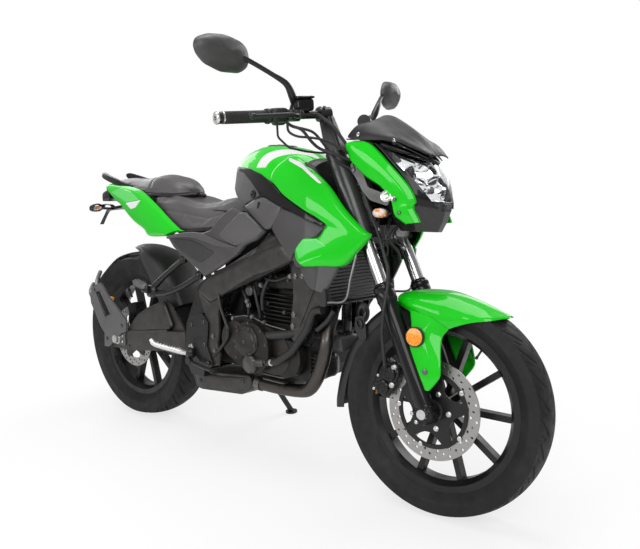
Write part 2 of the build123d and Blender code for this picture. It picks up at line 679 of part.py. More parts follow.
with BuildPart() as main_frame:
    with BuildSketch(steering_plane(head_low)) as head:
        Circle(head_tube_radius)
    extrude(head.sketch, amount=head_high - head_low)
    for side in sides:
        y_low, y_high = span(side, spar_inner, spar_outer)
        slab([(575, 606), (875, 713), (960, 790), (960, 690), (905, 655), (640, 545),
              (590, 520)], y_low, y_high)
        slab([(600, 600), (560, 596), (500, 560), (432, 420), (425, 300), (455, 255),
              (520, 255), (532, 330), (580, 480), (640, 560)], y_low, y_high)
        y_low, y_high = span(side, spar_inner, hanger_outer)
        slab([(900, 700), (985, 700), (1006, 640), (996, 520), (962, 416), (925, 416),
              (930, 520), (895, 600), (880, 660)], y_low, y_high)
        with BuildSketch(cross_section_plane(950)) as spar_end:
            Polygon((side * spar_inner, 690), (side * spar_outer, 690), (side * spar_outer, 781),
                    (side * spar_inner, 781), align=None)
        with BuildSketch(cross_section_plane(985)) as throat:
            Polygon((side * 20, 735), (side * 84, 735), (side * 84, 826), (side * 20, 826),
                    align=None)
        with BuildSketch(cross_section_plane(1030)) as root_face:
            Polygon((-side * 4, 775), (side * 26, 775), (side * 26, 862), (-side * 4, 862),
                    align=None)
        loft([spar_end.sketch, throat.sketch], ruled=True)
        loft([throat.sketch, root_face.sketch], ruled=True)
    block(cross_box[0], cross_box[1], -spar_inner - 2, spar_inner + 2, cross_box[2], cross_box[3])
    cross_rod(500, 283, -spar_inner - 2, spar_inner + 2, 12)
    # side-stand lug below the left pivot plate, with its pin and the pin's head
    slab([(425, 300), (520, 300), (486, 214), (430, 214)], spar_outer - 20, spar_outer)
    rod(stand_pivot - stand_axis * 26, stand_pivot - stand_axis * (stand_eye_half + seat_gap),
        stand_eye_radius - 1)
    rod(stand_pivot - stand_axis * 20, stand_pivot + stand_axis * (stand_eye_half + 4),
        stand_pin_radius - bearing_gap)
    rod(stand_pivot + stand_axis * (stand_eye_half + seat_gap),
        stand_pivot + stand_axis * (stand_eye_half + 5), stand_eye_radius - 3)
    for side in sides:
        y_low, y_high = span(side, spar_inner, spar_inner + 16)
        block(872, 892, y_low, y_high, 695, tank_bottom - seat_gap)
    with BuildSketch(steering_plane(head_low - 60)) as stem_room:
        Circle(stem_diameter / 2 + bearing_gap)
    extrude(stem_room.sketch, amount=300, mode=Mode.SUBTRACT)
    cross_rod(*pivot_point, -spar_outer - 5, spar_outer + 5, 11, Mode.SUBTRACT)
    for x, z in engine_mounts:
        cross_rod(x, z, -spar_outer - 5, spar_outer + 5, mount_bolt_radius, Mode.SUBTRACT)

rail_half_spacing = 55.0
rail_radius = 12.5
stay_radius = 11.0
stay_outer = spar_inner - seat_gap - stay_radius
rail_end_x = -92.0
tail_bar_x = -82.0
tail_bar_radius = 9.0


def rail_height(x):
    """Height of the subframe rail's centre over x."""
    return 640 + (cross_box[0] - x) * 0.272


with BuildPart() as rear_subframe:
    for side in sides:
        y = side * rail_half_spacing
        rod(Vector(cross_box[0] + 20, y, rail_height(cross_box[0] + 20)),
            Vector(rail_end_x, y, rail_height(rail_end_x)), rail_radius)
        rod(Vector(528, side * stay_outer, 556), Vector(150, y, rail_height(150)), stay_radius)
    for x in (tail_bar_x, 120, 380):
        rod(Vector(x, -rail_half_spacing, rail_height(x)),
            Vector(x, rail_half_spacing, rail_height(x)), tail_bar_radius)
    for side in sides:
        y_low, y_high = span(side, rail_half_spacing - 10, rail_half_spacing + 10)
        block(440, 464, y_low, y_high, rail_height(452), 741 - seat_gap)
        block(-40, -10, y_low, y_high, rail_height(-25), 846 - seat_gap)
        block(130, 160, y_low, y_high, rail_height(145), 846 - seat_gap)
    block(cross_box[0] - seat_gap, cross_box[0] + 60, -90, 90, 560, 760, Mode.SUBTRACT)

# ------------------------------------------------------------------- engine
case_half = 95.0
case_rear_half = 64.0
cover_gap = 0.3
pump_place = (758, 336)
pump_outer = 162.0
pump_spigot = Vector(812, -148, 349)
coolant_hose_radius = 11.0

with BuildPart() as crankcase:
    slab([(620, 302), (930, 302), (948, 340), (940, 430), (905, 460), (620, 460)],
         -case_half, case_half)
    slab([(505, 330), (530, 302), (625, 302), (625, 460), (555, 455), (508, 415)],
         -case_half, case_rear_half)
    for x, z in engine_mounts:
        cross_rod(x, z, -spar_inner + seat_gap, spar_inner - seat_gap, 13)
        cross_rod(x, z, -spar_inner - 5, spar_inner + 5, mount_bolt_radius, Mode.SUBTRACT)

with BuildPart() as frame_bolts:
    for (x, z), reach in zip(engine_mounts, mount_bolt_reach):
        cross_rod(x, z, -reach, reach, mount_bolt_radius - seat_gap)
    cross_rod(pivot_point[0], pivot_point[1], -spar_outer - 2, spar_outer + 2, 11 - seat_gap)
    for side in sides:
        y_low, y_high = span(side, spar_outer + seat_gap, spar_outer + 9)
        cross_rod(pivot_point[0], pivot_point[1], y_low, y_high, 16)

with BuildPart() as engine_covers:
    with BuildSketch(lateral_plane(-case_half - cover_gap)) as clutch_base:
        with Locations((690, 395)):
            Circle(78)
        with Locations((830, 378)):
            Circle(66)
        make_hull()
    extrude(clutch_base.sketch, amount=38)
    with BuildSketch(lateral_plane(-case_half - cover_gap - 38)) as clutch_top:
        with Locations((682, 402)):
            Circle(60)
    extrude(clutch_top.sketch, amount=26)
    with BuildSketch(lateral_plane(case_half + cover_gap + 44)) as generator:
        with Locations((800, 380)):
            Circle(74)
        with Locations((690, 366)):
            Circle(52)
        make_hull()
    extrude(generator.sketch, amount=44)
    # water pump on the right cover, with the spigot of its hose
    cross_rod(*pump_place, -pump_outer, -case_half - cover_gap - 20, 24)
    rod(Vector(pump_place[0], pump_spigot.Y, pump_place[1]), pump_spigot, coolant_hose_radius - 1)

with BuildPart() as cylinder_and_head:
    slab([(765, 460 + seat_gap), (900, 460 + seat_gap), (980, 640), (955, 668), (850, 682),
          (815, 640.1)], -72, 72)

intake_face = Vector(801.1, 0, 590)
intake_normal = Vector(-180, 0, 50).normalized()

with BuildPart() as air_box:
    slab([(640, 600), (760, 560), (806, 600), (828, 660), (800, 760), (645, 770)], -88, 88)
    block(760, 835, -90, 90, 540, 700, Mode.SUBTRACT)
    slab([(640, 600), (759.9, 560), (759.9, 700), (640, 700)], -88, 88)
    rod(intake_face + intake_normal * seat_gap, intake_face + intake_normal * 60, 27)

radiator_half_width = 150.0

with BuildPart() as radiator:
    slab([(1028, 512), (1062, 512), (1034, 702), (1000, 702)],
         -radiator_half_width, radiator_half_width)
    for side in sides:
        y_low, y_high = span(side, hanger_outer + seat_gap, hanger_outer + 8)
        block(975, 1014, y_low, y_high, 610, 650)

with BuildPart() as coolant_hose:
    spigot_way = (pump_spigot - Vector(pump_place[0], pump_spigot.Y, pump_place[1])).normalized()
    bent_tube([pump_spigot + spigot_way * seat_gap, pump_spigot + spigot_way * 48, (915, -144, 398),
               (968, -138, 468), (990, -134, 527), (1024.6, -134, 532)],
              [50, 60, 60, 24], coolant_hose_radius)

header_radius = 18.0

with BuildPart() as exhaust_header:
    bent_tube([(953, -30, 558), (1000, -40, 520), (1040, -95, 455), (1034, -112, 375),
               (975, -112, 282), (880, -100, 262), (725 + seat_gap, -100, 262)],
              [24, 50, 60, 45, 80], header_radius)
    with BuildSketch(Plane(Vector(953, -30, 558), z_dir=Vector(914, 0, -406).normalized()).offset(2)) as flange:
        Circle(30)
    extrude(flange.sketch, amount=10)

with BuildPart() as belly_muffler:
    slab([(400, 180), (705, 200), (725, 215), (725, 284), (420, 256), (398, 240)], -108, 108)
    with BuildSketch(Plane.XY.offset(150)) as plan:
        Polygon((390, -108), (690, -108), (725, -118), (725, -62), (640, 10), (500, 70), (390, 108),
                align=None)
    extrude(plan.sketch, amount=200, mode=Mode.INTERSECT)
    for side in sides:
        y_low, y_high = span(side, 100, spar_inner - seat_gap)
        block(462, 505, y_low, y_high, 252, 260)
    rod(Vector(410, -72, 215), Vector(352, -78, 208), 17)
    rod(Vector(400, -72.8, 214), Vector(345, -79, 207), 13, Mode.SUBTRACT)

# --------------------------------------------------------------- rear swingarm
arm_inner = 96.0
arm_outer = 134.0
bobbin_place = (74, 292)
bobbin_radius = 4.25
bobbin_depth = 22.0

with BuildPart() as swingarm:
    for side in sides:
        y_low, y_high = span(side, arm_inner, arm_outer)
        slab([(-48, 270), (-48, 342), (60, 346), (405, 385), (405, 318), (60, 272)], y_low, y_high)
        y_low, y_high = span(side, 82, spar_inner - seat_gap)
        slab([(380, 316), (465, 312), (492, 345), (465, 380), (380, 384)], y_low, y_high)
        y_low, y_high = span(side, 106, 114)
        slab([(71, 340), (268, 480), (290, 472), (385, 376)], y_low, y_high)
    cross_rod(pivot_point[0], pivot_point[1], -spar_inner + seat_gap, spar_inner - seat_gap, 30)
    block(346, 398, -100, 100, 332, 368)
    cross_rod(pivot_point[0], pivot_point[1], -200, 200, 11, Mode.SUBTRACT)
    cross_rod(0, rear_tyre_radius, -200, 200, rear_axle_radius + seat_gap, Mode.SUBTRACT)
    for side in sides:
        y_low, y_high = span(side, arm_outer - bobbin_depth, arm_outer + 1)
        cross_rod(*bobbin_place, y_low, y_high, bobbin_radius, Mode.SUBTRACT)

with BuildPart() as rear_axle:
    cross_rod(0, rear_tyre_radius, -150, 150, rear_axle_radius)
    for side in sides:
        y_low, y_high = span(side, arm_outer + 6 + 2 * seat_gap, 152)
        cross_rod(0, rear_tyre_radius, y_low, y_high, 15)
    cross_rod(0, rear_tyre_radius, -arm_inner + seat_gap, rear_disc_low - 0.5, 13)
    cross_rod(0, rear_tyre_radius, chain_line + sprocket_thickness / 2 + 0.5,
              arm_inner - seat_gap, 13)

with BuildPart() as shock_absorber:
    rod(Vector(396, 0, 385), Vector(470, 0, 545), 27)
    rod(Vector(388, 0, 368 + seat_gap + 8), Vector(420, 0, 437), 11)
    block(380, 398, -14, 14, 368 + seat_gap, 392)
    rod(Vector(465, 0, 534), Vector(494, 0, 598), 11)
    block(480, cross_box[0] - seat_gap, -14, 14, 590, 612)

with BuildPart() as drive_chain:
    with BuildSketch(lateral_plane(chain_line + chain_width / 2)) as loop:
        with Locations((rear_axle_point.X, rear_axle_point.Z)):
            Circle(rear_sprocket_radius + 9)
        with Locations((560, 352)):
            Circle(front_sprocket_radius + 9)
        make_hull()
        offset(amount=-8.5, mode=Mode.SUBTRACT)
    extrude(loop.sketch, amount=chain_width)

with BuildPart() as front_sprocket:
    cross_rod(560, 352, chain_line - sprocket_thickness / 2, chain_line + sprocket_thickness / 2,
              front_sprocket_radius)
    cross_rod(560, 352, case_rear_half + seat_gap, chain_line + 8, 14)

with BuildPart() as rear_caliper:
    with BuildSketch(lateral_plane(-48)) as body:
        with Locations(Location((34, 398), -70)):
            RectangleRounded(84, 52, 12)
    extrude(body.sketch, amount=40)
    disc_middle = (rear_disc_low + rear_disc_high) / 2
    ring(rear_axle_point, 40, rear_disc_outer + moving_gap, disc_middle - disc_slot / 2,
         disc_middle + disc_slot / 2, Mode.SUBTRACT)
    slab([(20, 318), (50, 318), (50, 400), (20, 400)], -arm_inner + seat_gap, -80)

# ---------------------------------------------------------- rear wheel guards
with BuildPart() as inner_mudguard:
    revolve_about_axle([(-82, 262), (-82, 330), (-60, 345), (60, 345), (82, 330), (82, 262),
                        (78, 262), (78, 328), (58, 341), (-58, 341), (-78, 328), (-78, 262)],
                       rear_axle_point, 24, 56)
    for side in sides:
        y_low, y_high = span(side, 80, 106 - seat_gap)
        block(246, 268, y_low, y_high, 432, 444)

with BuildPart() as rear_mudguard:
    for side in sides:
        y_low, y_high = span(side, arm_outer + seat_gap, arm_outer + 6)
        slab([(-22, 270), (22, 270), (26, 340), (-20, 345), (-76, 523), (-126, 512), (-140, 480),
              (-60, 350)], y_low, y_high)
        cross_rod(0, rear_tyre_radius, -200, 200, rear_axle_radius + seat_gap, Mode.SUBTRACT)
        with BuildSketch(Plane.XY.offset(498)) as shelf:
            Polygon((-84, side * 140), (-84, side * 134.5), (-250, side * 70), (-274, side * 76),
                    (-172, side * 140), align=None)
        extrude(shelf.sketch, amount=6)
    revolve_about_axle([(-80, 300), (-80, 325), (-60, 336), (60, 336), (80, 325), (80, 300),
                        (76, 300), (76, 323), (58, 332), (-58, 332), (-76, 323), (-76, 300)],
                       rear_axle_point, 132, 40)

# ----------------------------------------------------------- tank and panels
tank_half_width = 146.0
tank_stations = {
    600: [(56, 862), (70, 880), (72, 905), (58, 945), (20, 958)],
    660: [(82, 835), (96, 862), (97, 912), (74, 965), (25, 986)],
    720: [(108, tank_bottom), (124, 858), (118, 916), (88, 978), (28, 1003)],
    840: [(130, tank_bottom), (tank_half_width, 850), (138, 912), (100, 962), (30, 988)],
    905: [(128, tank_bottom), (140, 852), (128, 905), (92, 946), (28, 962)],
}

with BuildPart() as fuel_tank:
    tank_sections = []
    for x, edge in tank_stations.items():
        with BuildSketch(cross_section_plane(x)) as tank_section:
            Polygon(*edge, *[(-y, z) for y, z in reversed(edge)], align=None)
        tank_sections.append(tank_section.sketch)
    loft(tank_sections, ruled=True)

panel_thickness = 5.0
boss_radius = 7.0
front_stations = {
    600: [(82, 950), (88, 900), (95, 840), (112, 780), (156, 700), (156, 440)],
    720: [(122, 965), (136, 900), (142, 850), (152, 780), (156, 700), (156, 440)],
    840: [(148, 960), (154, 900), (162, 840), (164, 760), (162, 690), (160, 440)],
    930: [(152, 945), (158, 890), (174, 820), (178, 740), (174, 640), (168, 440)],
    1030: [(152, 880), (174, 825), (192, 765), (196, 700), (190, 620), (175, 440)],
    1140: [(176, 850), (196, 800), (206, 750), (206, 690), (200, 620), (180, 440)],
    1250: [(202, 842), (212, 790), (216, 750), (214, 700), (208, 640), (190, 440)],
}
shroud_outline = [(845, 904), (894, 938), (947, 948), (984, 922), (1021, 889), (1072, 854),
                  (1151, 811), (1245, 762), (1226, 718), (1164, 664), (983, 648), (963, 687),
                  (1009, 724), (1064, 741), (1088, 775), (972, 829)]
wedge_outline = [(640, 944), (732, 936), (843, 902), (970, 826.5), (1080, 776), (1061, 744.5),
                 (1008, 727), (960, 690), (947, 668), (906, 711), (843, 745), (740, 813),
                 (668, 842), (625, 870)]
lower_shroud_outline = [(974, 645), (1162, 661), (1073, 594), (1053, 542), (1026, 496), (1004, 500),
                        (985, 560)]


def side_panels(outline, stations, thickness):
    """A pair of panels: the outline cut from the skin on each side."""
    for side in sides:
        with BuildPart(mode=Mode.PRIVATE) as sheet:
            skin(stations, thickness, side)
            slab(outline, -300, 300, Mode.INTERSECT)
        add(sheet.part)


with BuildPart() as tank_shrouds:
    side_panels(shroud_outline, front_stations, panel_thickness)
    for side in sides:
        cross_rod(1020, 680, *span(side, radiator_half_width + seat_gap, 190), boss_radius)
with BuildPart() as knee_panels:
    side_panels(wedge_outline, front_stations, panel_thickness)
    for side in sides:
        cross_rod(840, 850, *span(side, tank_half_width + seat_gap, 157), boss_radius)
with BuildPart() as lower_shrouds:
    side_panels(lower_shroud_outline, front_stations, panel_thickness)
    for side in sides:
        cross_rod(1034, 580, *span(side, radiator_half_width + seat_gap, 184), boss_radius)

rear_stations = {
    -165: [(60, 900), (72, 880), (76, 850), (74, 800), (70, 740), (66, 560)],
    0: [(84, 895), (96, 870), (102, 830), (100, 780), (96, 720), (92, 560)],
    120: [(98, 880), (110, 850), (118, 810), (122, 760), (118, 710), (110, 560)],
    240: [(114, 860), (132, 820), (142, 780), (146, 730), (142, 690), (130, 560)],
    400: [(130, 850), (146, 800), (158, 750), (163, 700), (159, 650), (150, 560)],
    560: [(134, 830), (150, 790), (164, 750), (172, 710), (168, 650), (156, 560)],
    720: [(140, 810), (156, 780), (166, 750), (169, 710), (165, 660), (156, 560)],
    850: [(150, 810), (158, 780), (160, 750), (159, 710), (158, 660), (157, 560)],
}
cowl_outline = [(-108, 868), (-157, 880), (-14, 876), (113, 858), (226, 823), (325, 772),
                (411, 729), (285, 710), (205, 702), (146, 724), (46, 756), (-18, 787), (-93, 831)]
side_cover_outline = [(225, 700), (290, 708), (420, 727), (520, 733), (587, 740), (633, 786),
                      (670, 812), (713, 792), (838, 742), (784, 698), (713, 648), (636, 601),
                      (575, 575), (555, 568), (530, 572), (485, 605), (411, 640), (320, 668)]

with BuildPart() as tail_cowl:
    side_panels(cowl_outline, rear_stations, panel_thickness)
    block(-140, -102, -74, 74, 872, 877)
    for side in sides:
        rail_outer = rail_half_spacing + rail_radius
        cross_rod(20, rail_height(20), *span(side, rail_outer + seat_gap, 98), boss_radius)
with BuildPart() as side_covers:
    side_panels(side_cover_outline, rear_stations, panel_thickness)
    for side in sides:
        cross_rod(668, 632, *span(side, spar_outer + seat_gap, 162), boss_radius - 1)

# ---------------------------------------------------------------------- seats
with BuildPart() as rider_seat:
    with BuildSketch(lateral_plane(128)) as seat_side:
        Polygon((180, 842), (250, 806), (330, 776), (415, 741), (580, 741), (652, 794), (652, 838),
                (600, 856), (520, 838), (455, 822), (400, 816), (325, 824), (270, 843), align=None)
    extrude(seat_side.sketch, amount=256)
    with BuildSketch(Plane.XY.offset(700)) as seat_plan:
        Polygon((160, -90), (300, -112), (420, -124), (540, -112), (640, -84), (664, 0),
                (640, 84), (540, 112), (420, 124), (300, 112), (160, 90), align=None)
    extrude(seat_plan.sketch, amount=200, mode=Mode.INTERSECT)

with BuildPart() as pillion_seat:
    with BuildSketch(lateral_plane(105)) as pillion_side:
        Polygon((-140, 890), (-108, 880), (120, 846), (318, 846), (312, 870), (266, 899), (215, 914),
                (170, 917), (115, 903), (30, 900), (-110, 903), align=None)
    extrude(pillion_side.sketch, amount=210)
    with BuildSketch(Plane.XY.offset(800)) as pillion_plan:
        Polygon((-150, -30), (-60, -48), (40, -65), (130, -84), (205, -86), (270, -70), (306, -40),
                (320, 0), (306, 40), (270, 70), (205, 86), (130, 84), (40, 65), (-60, 48),
                (-150, 30), align=None)
    extrude(pillion_plan.sketch, amount=200, mode=Mode.INTERSECT)

# ----------------------------------------------------------------------- tail
with BuildPart() as grab_rails:
    for side in sides:
        bent_tube([(10, side * 74, 868), (-62, side * 76, 888), (-136, side * 67, 906),
                   (-204, side * 55, 919)], [300, 300], 8)
        block(-12, 10, *span(side, 74, 80), 786, 868)
        block(-12, 10, *span(side, rail_half_spacing + rail_radius + seat_gap, 76), 786, 802)

with BuildPart() as tail_lamp:
    slab([(-222, 849), (-160, 858), (-106, 858), (-106, 822), (-190, 818)], -38, 38)
    tail_bar_height = rail_height(tail_bar_x)
    block(-110, tail_bar_x - tail_bar_radius - seat_gap, -15, 15,
          tail_bar_height - 5, tail_bar_height + 8)

arm_top = (-246, 776)
arm_foot = (-308, 721)
arm_thickness = 5.0
arm_half_width = 17.0
plate_hole_radius = 3.2
plate_hole_from_foot = 14.0
arm_slope = Vector(arm_foot[0] - arm_top[0], 0, arm_foot[1] - arm_top[1]).normalized()
arm_normal = Vector(arm_slope.Z, 0, -arm_slope.X)
plate_hole = Vector(arm_foot[0], 0, arm_foot[1]) - arm_slope * plate_hole_from_foot

with BuildPart() as plate_holder:
    tongue_top = rail_height(tail_bar_x) - tail_bar_radius - seat_gap
    slab([(-62, tongue_top), (-62, tongue_top - 8), (-112, tongue_top - 11), (-200, 783), arm_top,
          (-244, 786), (-200, 794), (-112, tongue_top)], -24, 24)
    arm_root = Vector(arm_top[0], 0, arm_top[1]) - arm_slope * 8
    arm_end = Vector(arm_foot[0], 0, arm_foot[1])
    under = arm_normal * -arm_thickness
    arm_corners = (arm_root, arm_end, arm_end + under, arm_root + under)
    slab([(corner.X, corner.Z) for corner in arm_corners], -arm_half_width, arm_half_width)
    rod(plate_hole - arm_normal * 20, plate_hole + arm_normal * 20, plate_hole_radius,
        Mode.SUBTRACT)
    for side in sides:
        cross_rod(-216, 788, *span(side, 20, 84), 6)
        with BuildSketch(lateral_plane(span(side, 82, 132)[1])) as lamp:
            with Locations((-220, 792)):
                Ellipse(25, 14)
        extrude(lamp.sketch, amount=50)

# ------------------------------------------------------------------- controls
peg_plate_inner = spar_outer + seat_gap
peg_plate_outer = spar_outer + 8
stay_taper_gap = 1.1
stay_lean = (150 - 528, rail_height(150) - 556, rail_half_spacing - stay_outer)


def stay_side(x):
    """Outer side and height of the subframe's lower stay over x."""
    share = (x - 528) / stay_lean[0]
    return stay_outer + share * stay_lean[2] + stay_radius, 556 + share * stay_lean[1]


with BuildPart() as footpegs:
    for side in sides:
        y_low, y_high = span(side, peg_plate_inner, peg_plate_outer)
        slab([(470, 430), (440, 430), (425, 380), (430, 300), (500, 300), (520, 360)], y_low, y_high)
        cross_rod(pivot_point[0], pivot_point[1], y_low - 1, y_high + 1, 17, Mode.SUBTRACT)
        cross_rod(500, 338, *span(side, peg_plate_outer - 1, 262), 12)
    for side in sides:
        y_low, y_high = span(side, 124, 132)
        slab([(400, 640), (380, 618), (300, 508), (322, 492), (405, 600)], y_low, y_high)
        slab([(478, 592), (500, 572), (330, 488), (316, 508)], y_low, y_high)
        rod(Vector(322, side * 141, 506), Vector(206, side * 146, 520), 10)
        cross_rod(318, 504, *span(side, 131, 150), 9)
        for x in (392, 484):
            stay_face, stay_height = stay_side(x)
            cross_rod(x, stay_height, *span(side, stay_face + stay_taper_gap, 125), 7)

with BuildPart() as foot_levers:
    slab([(484, 302), (640, 296), (644, 306), (484, 314)], -186, -178)
    cross_rod(484, 308, -186, -peg_plate_outer - seat_gap, 8)
    cross_rod(634, 302, -216, -178, 8)
    slab([(484, 302), (660, 326), (658, 336), (484, 314)], 178, 186)
    cross_rod(484, 308, peg_plate_outer + seat_gap, 186, 8)
    cross_rod(650, 331, 178, 220, 8)

# ------------------------------------------------- standing on wheels and stand
def crown_circle(radius, width):
    """Radius of the tread arc through the crown and both shoulders."""
    half = width / 2 * 0.97
    drop = width * tyre_crown_share * 0.42
    return (half * half + drop * drop) / (2 * drop)


def spin(vector, axis, angle):
    """Turn a vector about a unit axis by an angle in degrees."""
    turn = radians(angle)
    along = axis * axis.dot(vector)
    return along + (vector - along) * cos(turn) + axis.cross(vector) * sin(turn)


def steered(point):
    """Place of a point of the steering once the bars are turned."""
    return steer_foot + spin(point - steer_foot, steer_axis, steer_angle)


def rest_turn(vector, pitch):
    """Lean a direction to the left, then pitch it about the Y axis."""
    leant = spin(vector, Vector(1, 0, 0), -lean_angle)
    return spin(leant, Vector(0, 1, 0), pitch)


def wheel_bottom(centre, axle, radius, width, pitch):
    """Lowest point of a tyre whose crown is a ring of circles."""
    crown = crown_circle(radius, width)
    axle_up = rest_turn(axle, pitch).Z
    return rest_turn(centre, pitch).Z - (radius - crown) * sqrt(1 - axle_up ** 2) - crown


front_centre = steered(front_axle_point)
front_axle_direction = spin(Vector(0, 1, 0), steer_axis, steer_angle)
pitch = 0.0
for round_number in range(30):
    rear_low = wheel_bottom(rear_axle_point, Vector(0, 1, 0), rear_tyre_radius,
                            rear_tyre_width, pitch)
    front_low = wheel_bottom(front_centre, front_axle_direction, front_tyre_radius,
                             front_tyre_width, pitch)
    pitch = pitch + degrees((front_low - rear_low) / wheelbase)
rise = -rear_low
ground_normal = spin(spin(Vector(0, 0, 1), Vector(0, 1, 0), -pitch), Vector(1, 0, 0), lean_angle)
foot_top = stand_pivot + Vector(stand_forward, stand_reach, 0)
foot_height = (rise + foot_top.dot(ground_normal)) / ground_normal.Z
foot_centre = foot_top - Vector(0, 0, foot_height)

with BuildPart() as side_stand:
    rod(stand_pivot, foot_centre + ground_normal * stand_foot_thickness, stand_leg_radius)
    with BuildSketch(Plane(foot_centre, z_dir=ground_normal)) as foot:
        Circle(stand_foot_radius)
    extrude(foot.sketch, amount=stand_foot_thickness)
    rod(stand_pivot - stand_axis * stand_eye_half, stand_pivot + stand_axis * stand_eye_half,
        stand_eye_radius)
    rod(stand_pivot - stand_axis * 30, stand_pivot + stand_axis * 30, stand_pin_radius, Mode.SUBTRACT)

# ------------------------------------------------------------ placing and files
pieces = {
    "frame": {
        "main_frame": main_frame, "rear_subframe": rear_subframe, "crankcase": crankcase,
        "frame_bolts": frame_bolts, "engine_covers": engine_covers,
        "cylinder_and_head": cylinder_and_head, "air_box": air_box, "radiator": radiator,
        "exhaust_header": exhaust_header, "belly_muffler": belly_muffler, "swingarm": swingarm,
        "rear_axle": rear_axle, "shock_absorber": shock_absorber, "drive_chain": drive_chain,
        "front_sprocket": front_sprocket, "rear_caliper": rear_caliper,
        "inner_mudguard": inner_mudguard, "rear_mudguard": rear_mudguard,
        "fuel_tank": fuel_tank, "tank_shrouds": tank_shrouds, "knee_panels": knee_panels,
        "lower_shrouds": lower_shrouds, "coolant_hose": coolant_hose, "side_covers": side_covers, "tail_cowl": tail_cowl,
        "rider_seat": rider_seat, "pillion_seat": pillion_seat, "grab_rails": grab_rails,
        "tail_lamp": tail_lamp, "plate_holder": plate_holder,
        "footpegs": footpegs, "foot_levers": foot_levers,
    },
    "steering": {
        "fork_yokes": fork_yokes, "fork_covers": fork_covers,
        "fork_stanchions": fork_stanchions, "fork_lower_legs": fork_lower_legs,
        "front_axle": front_axle, "front_mudguard": front_mudguard,
        "front_mudguard_flap": front_mudguard_flap, "front_caliper": front_caliper,
        "handlebars": handlebars, "hand_grips": hand_grips, "hand_controls": hand_controls,
        "mirrors": mirrors, "headlight_bracket": headlight_bracket,
        "headlight_housing": headlight_housing, "headlight_lens": headlight_lens,
        "headlight_side_panels": headlight_side_panels, "visor": visor,
        "instrument_cluster": instrument_cluster, "front_indicators": front_indicators,
        "control_cables": control_cables,
    },
    "front_wheel": {
        "front_tyre": front_tyre, "front_wheel_casting": front_wheel_casting,
        "front_brake_disc": front_brake_disc,
    },
    "rear_wheel": {
        "rear_tyre": rear_tyre, "rear_wheel_casting": rear_wheel_casting,
        "rear_brake_disc": rear_brake_disc, "rear_sprocket": rear_sprocket,
    },
    "side_stand": {"side_stand": side_stand},
}

os.makedirs("parts", exist_ok=True)
placed = {}
for body, members in pieces.items():
    for name, piece in members.items():
        shape = piece.part
        if body in ("steering", "front_wheel"):
            shape = shape.rotate(Axis(steer_foot, steer_axis), steer_angle)
        shape = shape.rotate(Axis.X, -lean_angle).rotate(Axis.Y, pitch)
        placed[name] = shape.moved(Location((0, 0, rise)))
boxes = [shape.bounding_box() for shape in placed.values()]
middle = Vector((min(b.min.X for b in boxes) + max(b.max.X for b in boxes)) / 2,
                (min(b.min.Y for b in boxes) + max(b.max.Y for b in boxes)) / 2,
                min(b.min.Z for b in boxes))
for name, shape in placed.items():
    shape = shape.moved(Location(-middle))
    shape.label = name
    export_step(shape, f"parts/{name}.step")


def rest_place(point, turned=False):
    """Where a point of the upright bike lies at rest, in the part's frame."""
    start = steered(point) if turned else point
    return rest_turn(start, pitch) + Vector(0, 0, rise) - middle


def rest_direction(vector, turned=False):
    """Where a direction of the upright bike points at rest."""
    start = spin(vector, steer_axis, steer_angle) if turned else vector
    return rest_turn(start, pitch)


for title, place in (
    ("pitch_rise", Vector(pitch, rise, 0)), ("middle", middle),
    ("steering_place", rest_place(steer_foot + steer_axis * head_low)),
    ("steering_axis", rest_direction(steer_axis)),
    ("front_axle_place", rest_place(front_axle_point, True)),
    ("front_axle_axis", rest_direction(Vector(0, 1, 0), True)),
    ("rear_axle_place", rest_place(rear_axle_point)),
    ("rear_axle_axis", rest_direction(Vector(0, 1, 0))),
    ("stand_place", rest_place(stand_pivot)), ("stand_axis", rest_direction(stand_axis)),
    ("left_bobbin", rest_place(Vector(bobbin_place[0], arm_outer, bobbin_place[1]))),
    ("right_bobbin", rest_place(Vector(bobbin_place[0], -arm_outer, bobbin_place[1]))),
    ("plate_hole", rest_place(plate_hole)), ("plate_normal", rest_direction(arm_normal)),
):
    print(title, round(place.X, 5), round(place.Y, 5), round(place.Z, 5))
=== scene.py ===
"""Looks of a green, black and charcoal naked street motorcycle, parked on its side stand.

Places are given on the bike drawn upright with straight steering: x forward from the rear axle,
y to the rider's left, z up from the ground. They are in metres, or in millimetres inside mm().
place() carries them to the frame. A shape is a pair of (points, faces).
"""
import json
import math

import bmesh
import bpy
import numpy as np
from mathutils import Matrix


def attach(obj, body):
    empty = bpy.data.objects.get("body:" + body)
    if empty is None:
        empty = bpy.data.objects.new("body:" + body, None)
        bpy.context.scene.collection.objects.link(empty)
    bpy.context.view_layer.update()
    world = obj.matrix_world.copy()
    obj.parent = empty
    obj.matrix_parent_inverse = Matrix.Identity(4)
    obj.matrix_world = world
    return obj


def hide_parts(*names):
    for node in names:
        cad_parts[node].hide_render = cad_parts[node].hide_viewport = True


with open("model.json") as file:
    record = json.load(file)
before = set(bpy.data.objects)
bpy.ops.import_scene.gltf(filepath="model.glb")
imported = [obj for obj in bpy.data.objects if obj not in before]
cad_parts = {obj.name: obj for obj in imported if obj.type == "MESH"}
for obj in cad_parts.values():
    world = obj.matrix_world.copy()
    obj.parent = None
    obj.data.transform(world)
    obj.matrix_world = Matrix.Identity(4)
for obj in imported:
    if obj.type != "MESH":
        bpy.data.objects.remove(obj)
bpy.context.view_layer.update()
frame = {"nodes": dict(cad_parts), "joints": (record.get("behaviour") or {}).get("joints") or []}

# ---- driving sizes
rake = math.radians(25.5)
rear_tyre_radius = 0.307
front_tyre_radius = 0.293
wheelbase = 1.345
trail = 0.095

to_right = (0, -1, 0)

joints = {joint["name"]: joint for joint in frame["joints"]}


def unit(vector):
    """The vector at length one."""
    vector = np.asarray(vector, float)
    return vector / np.linalg.norm(vector)


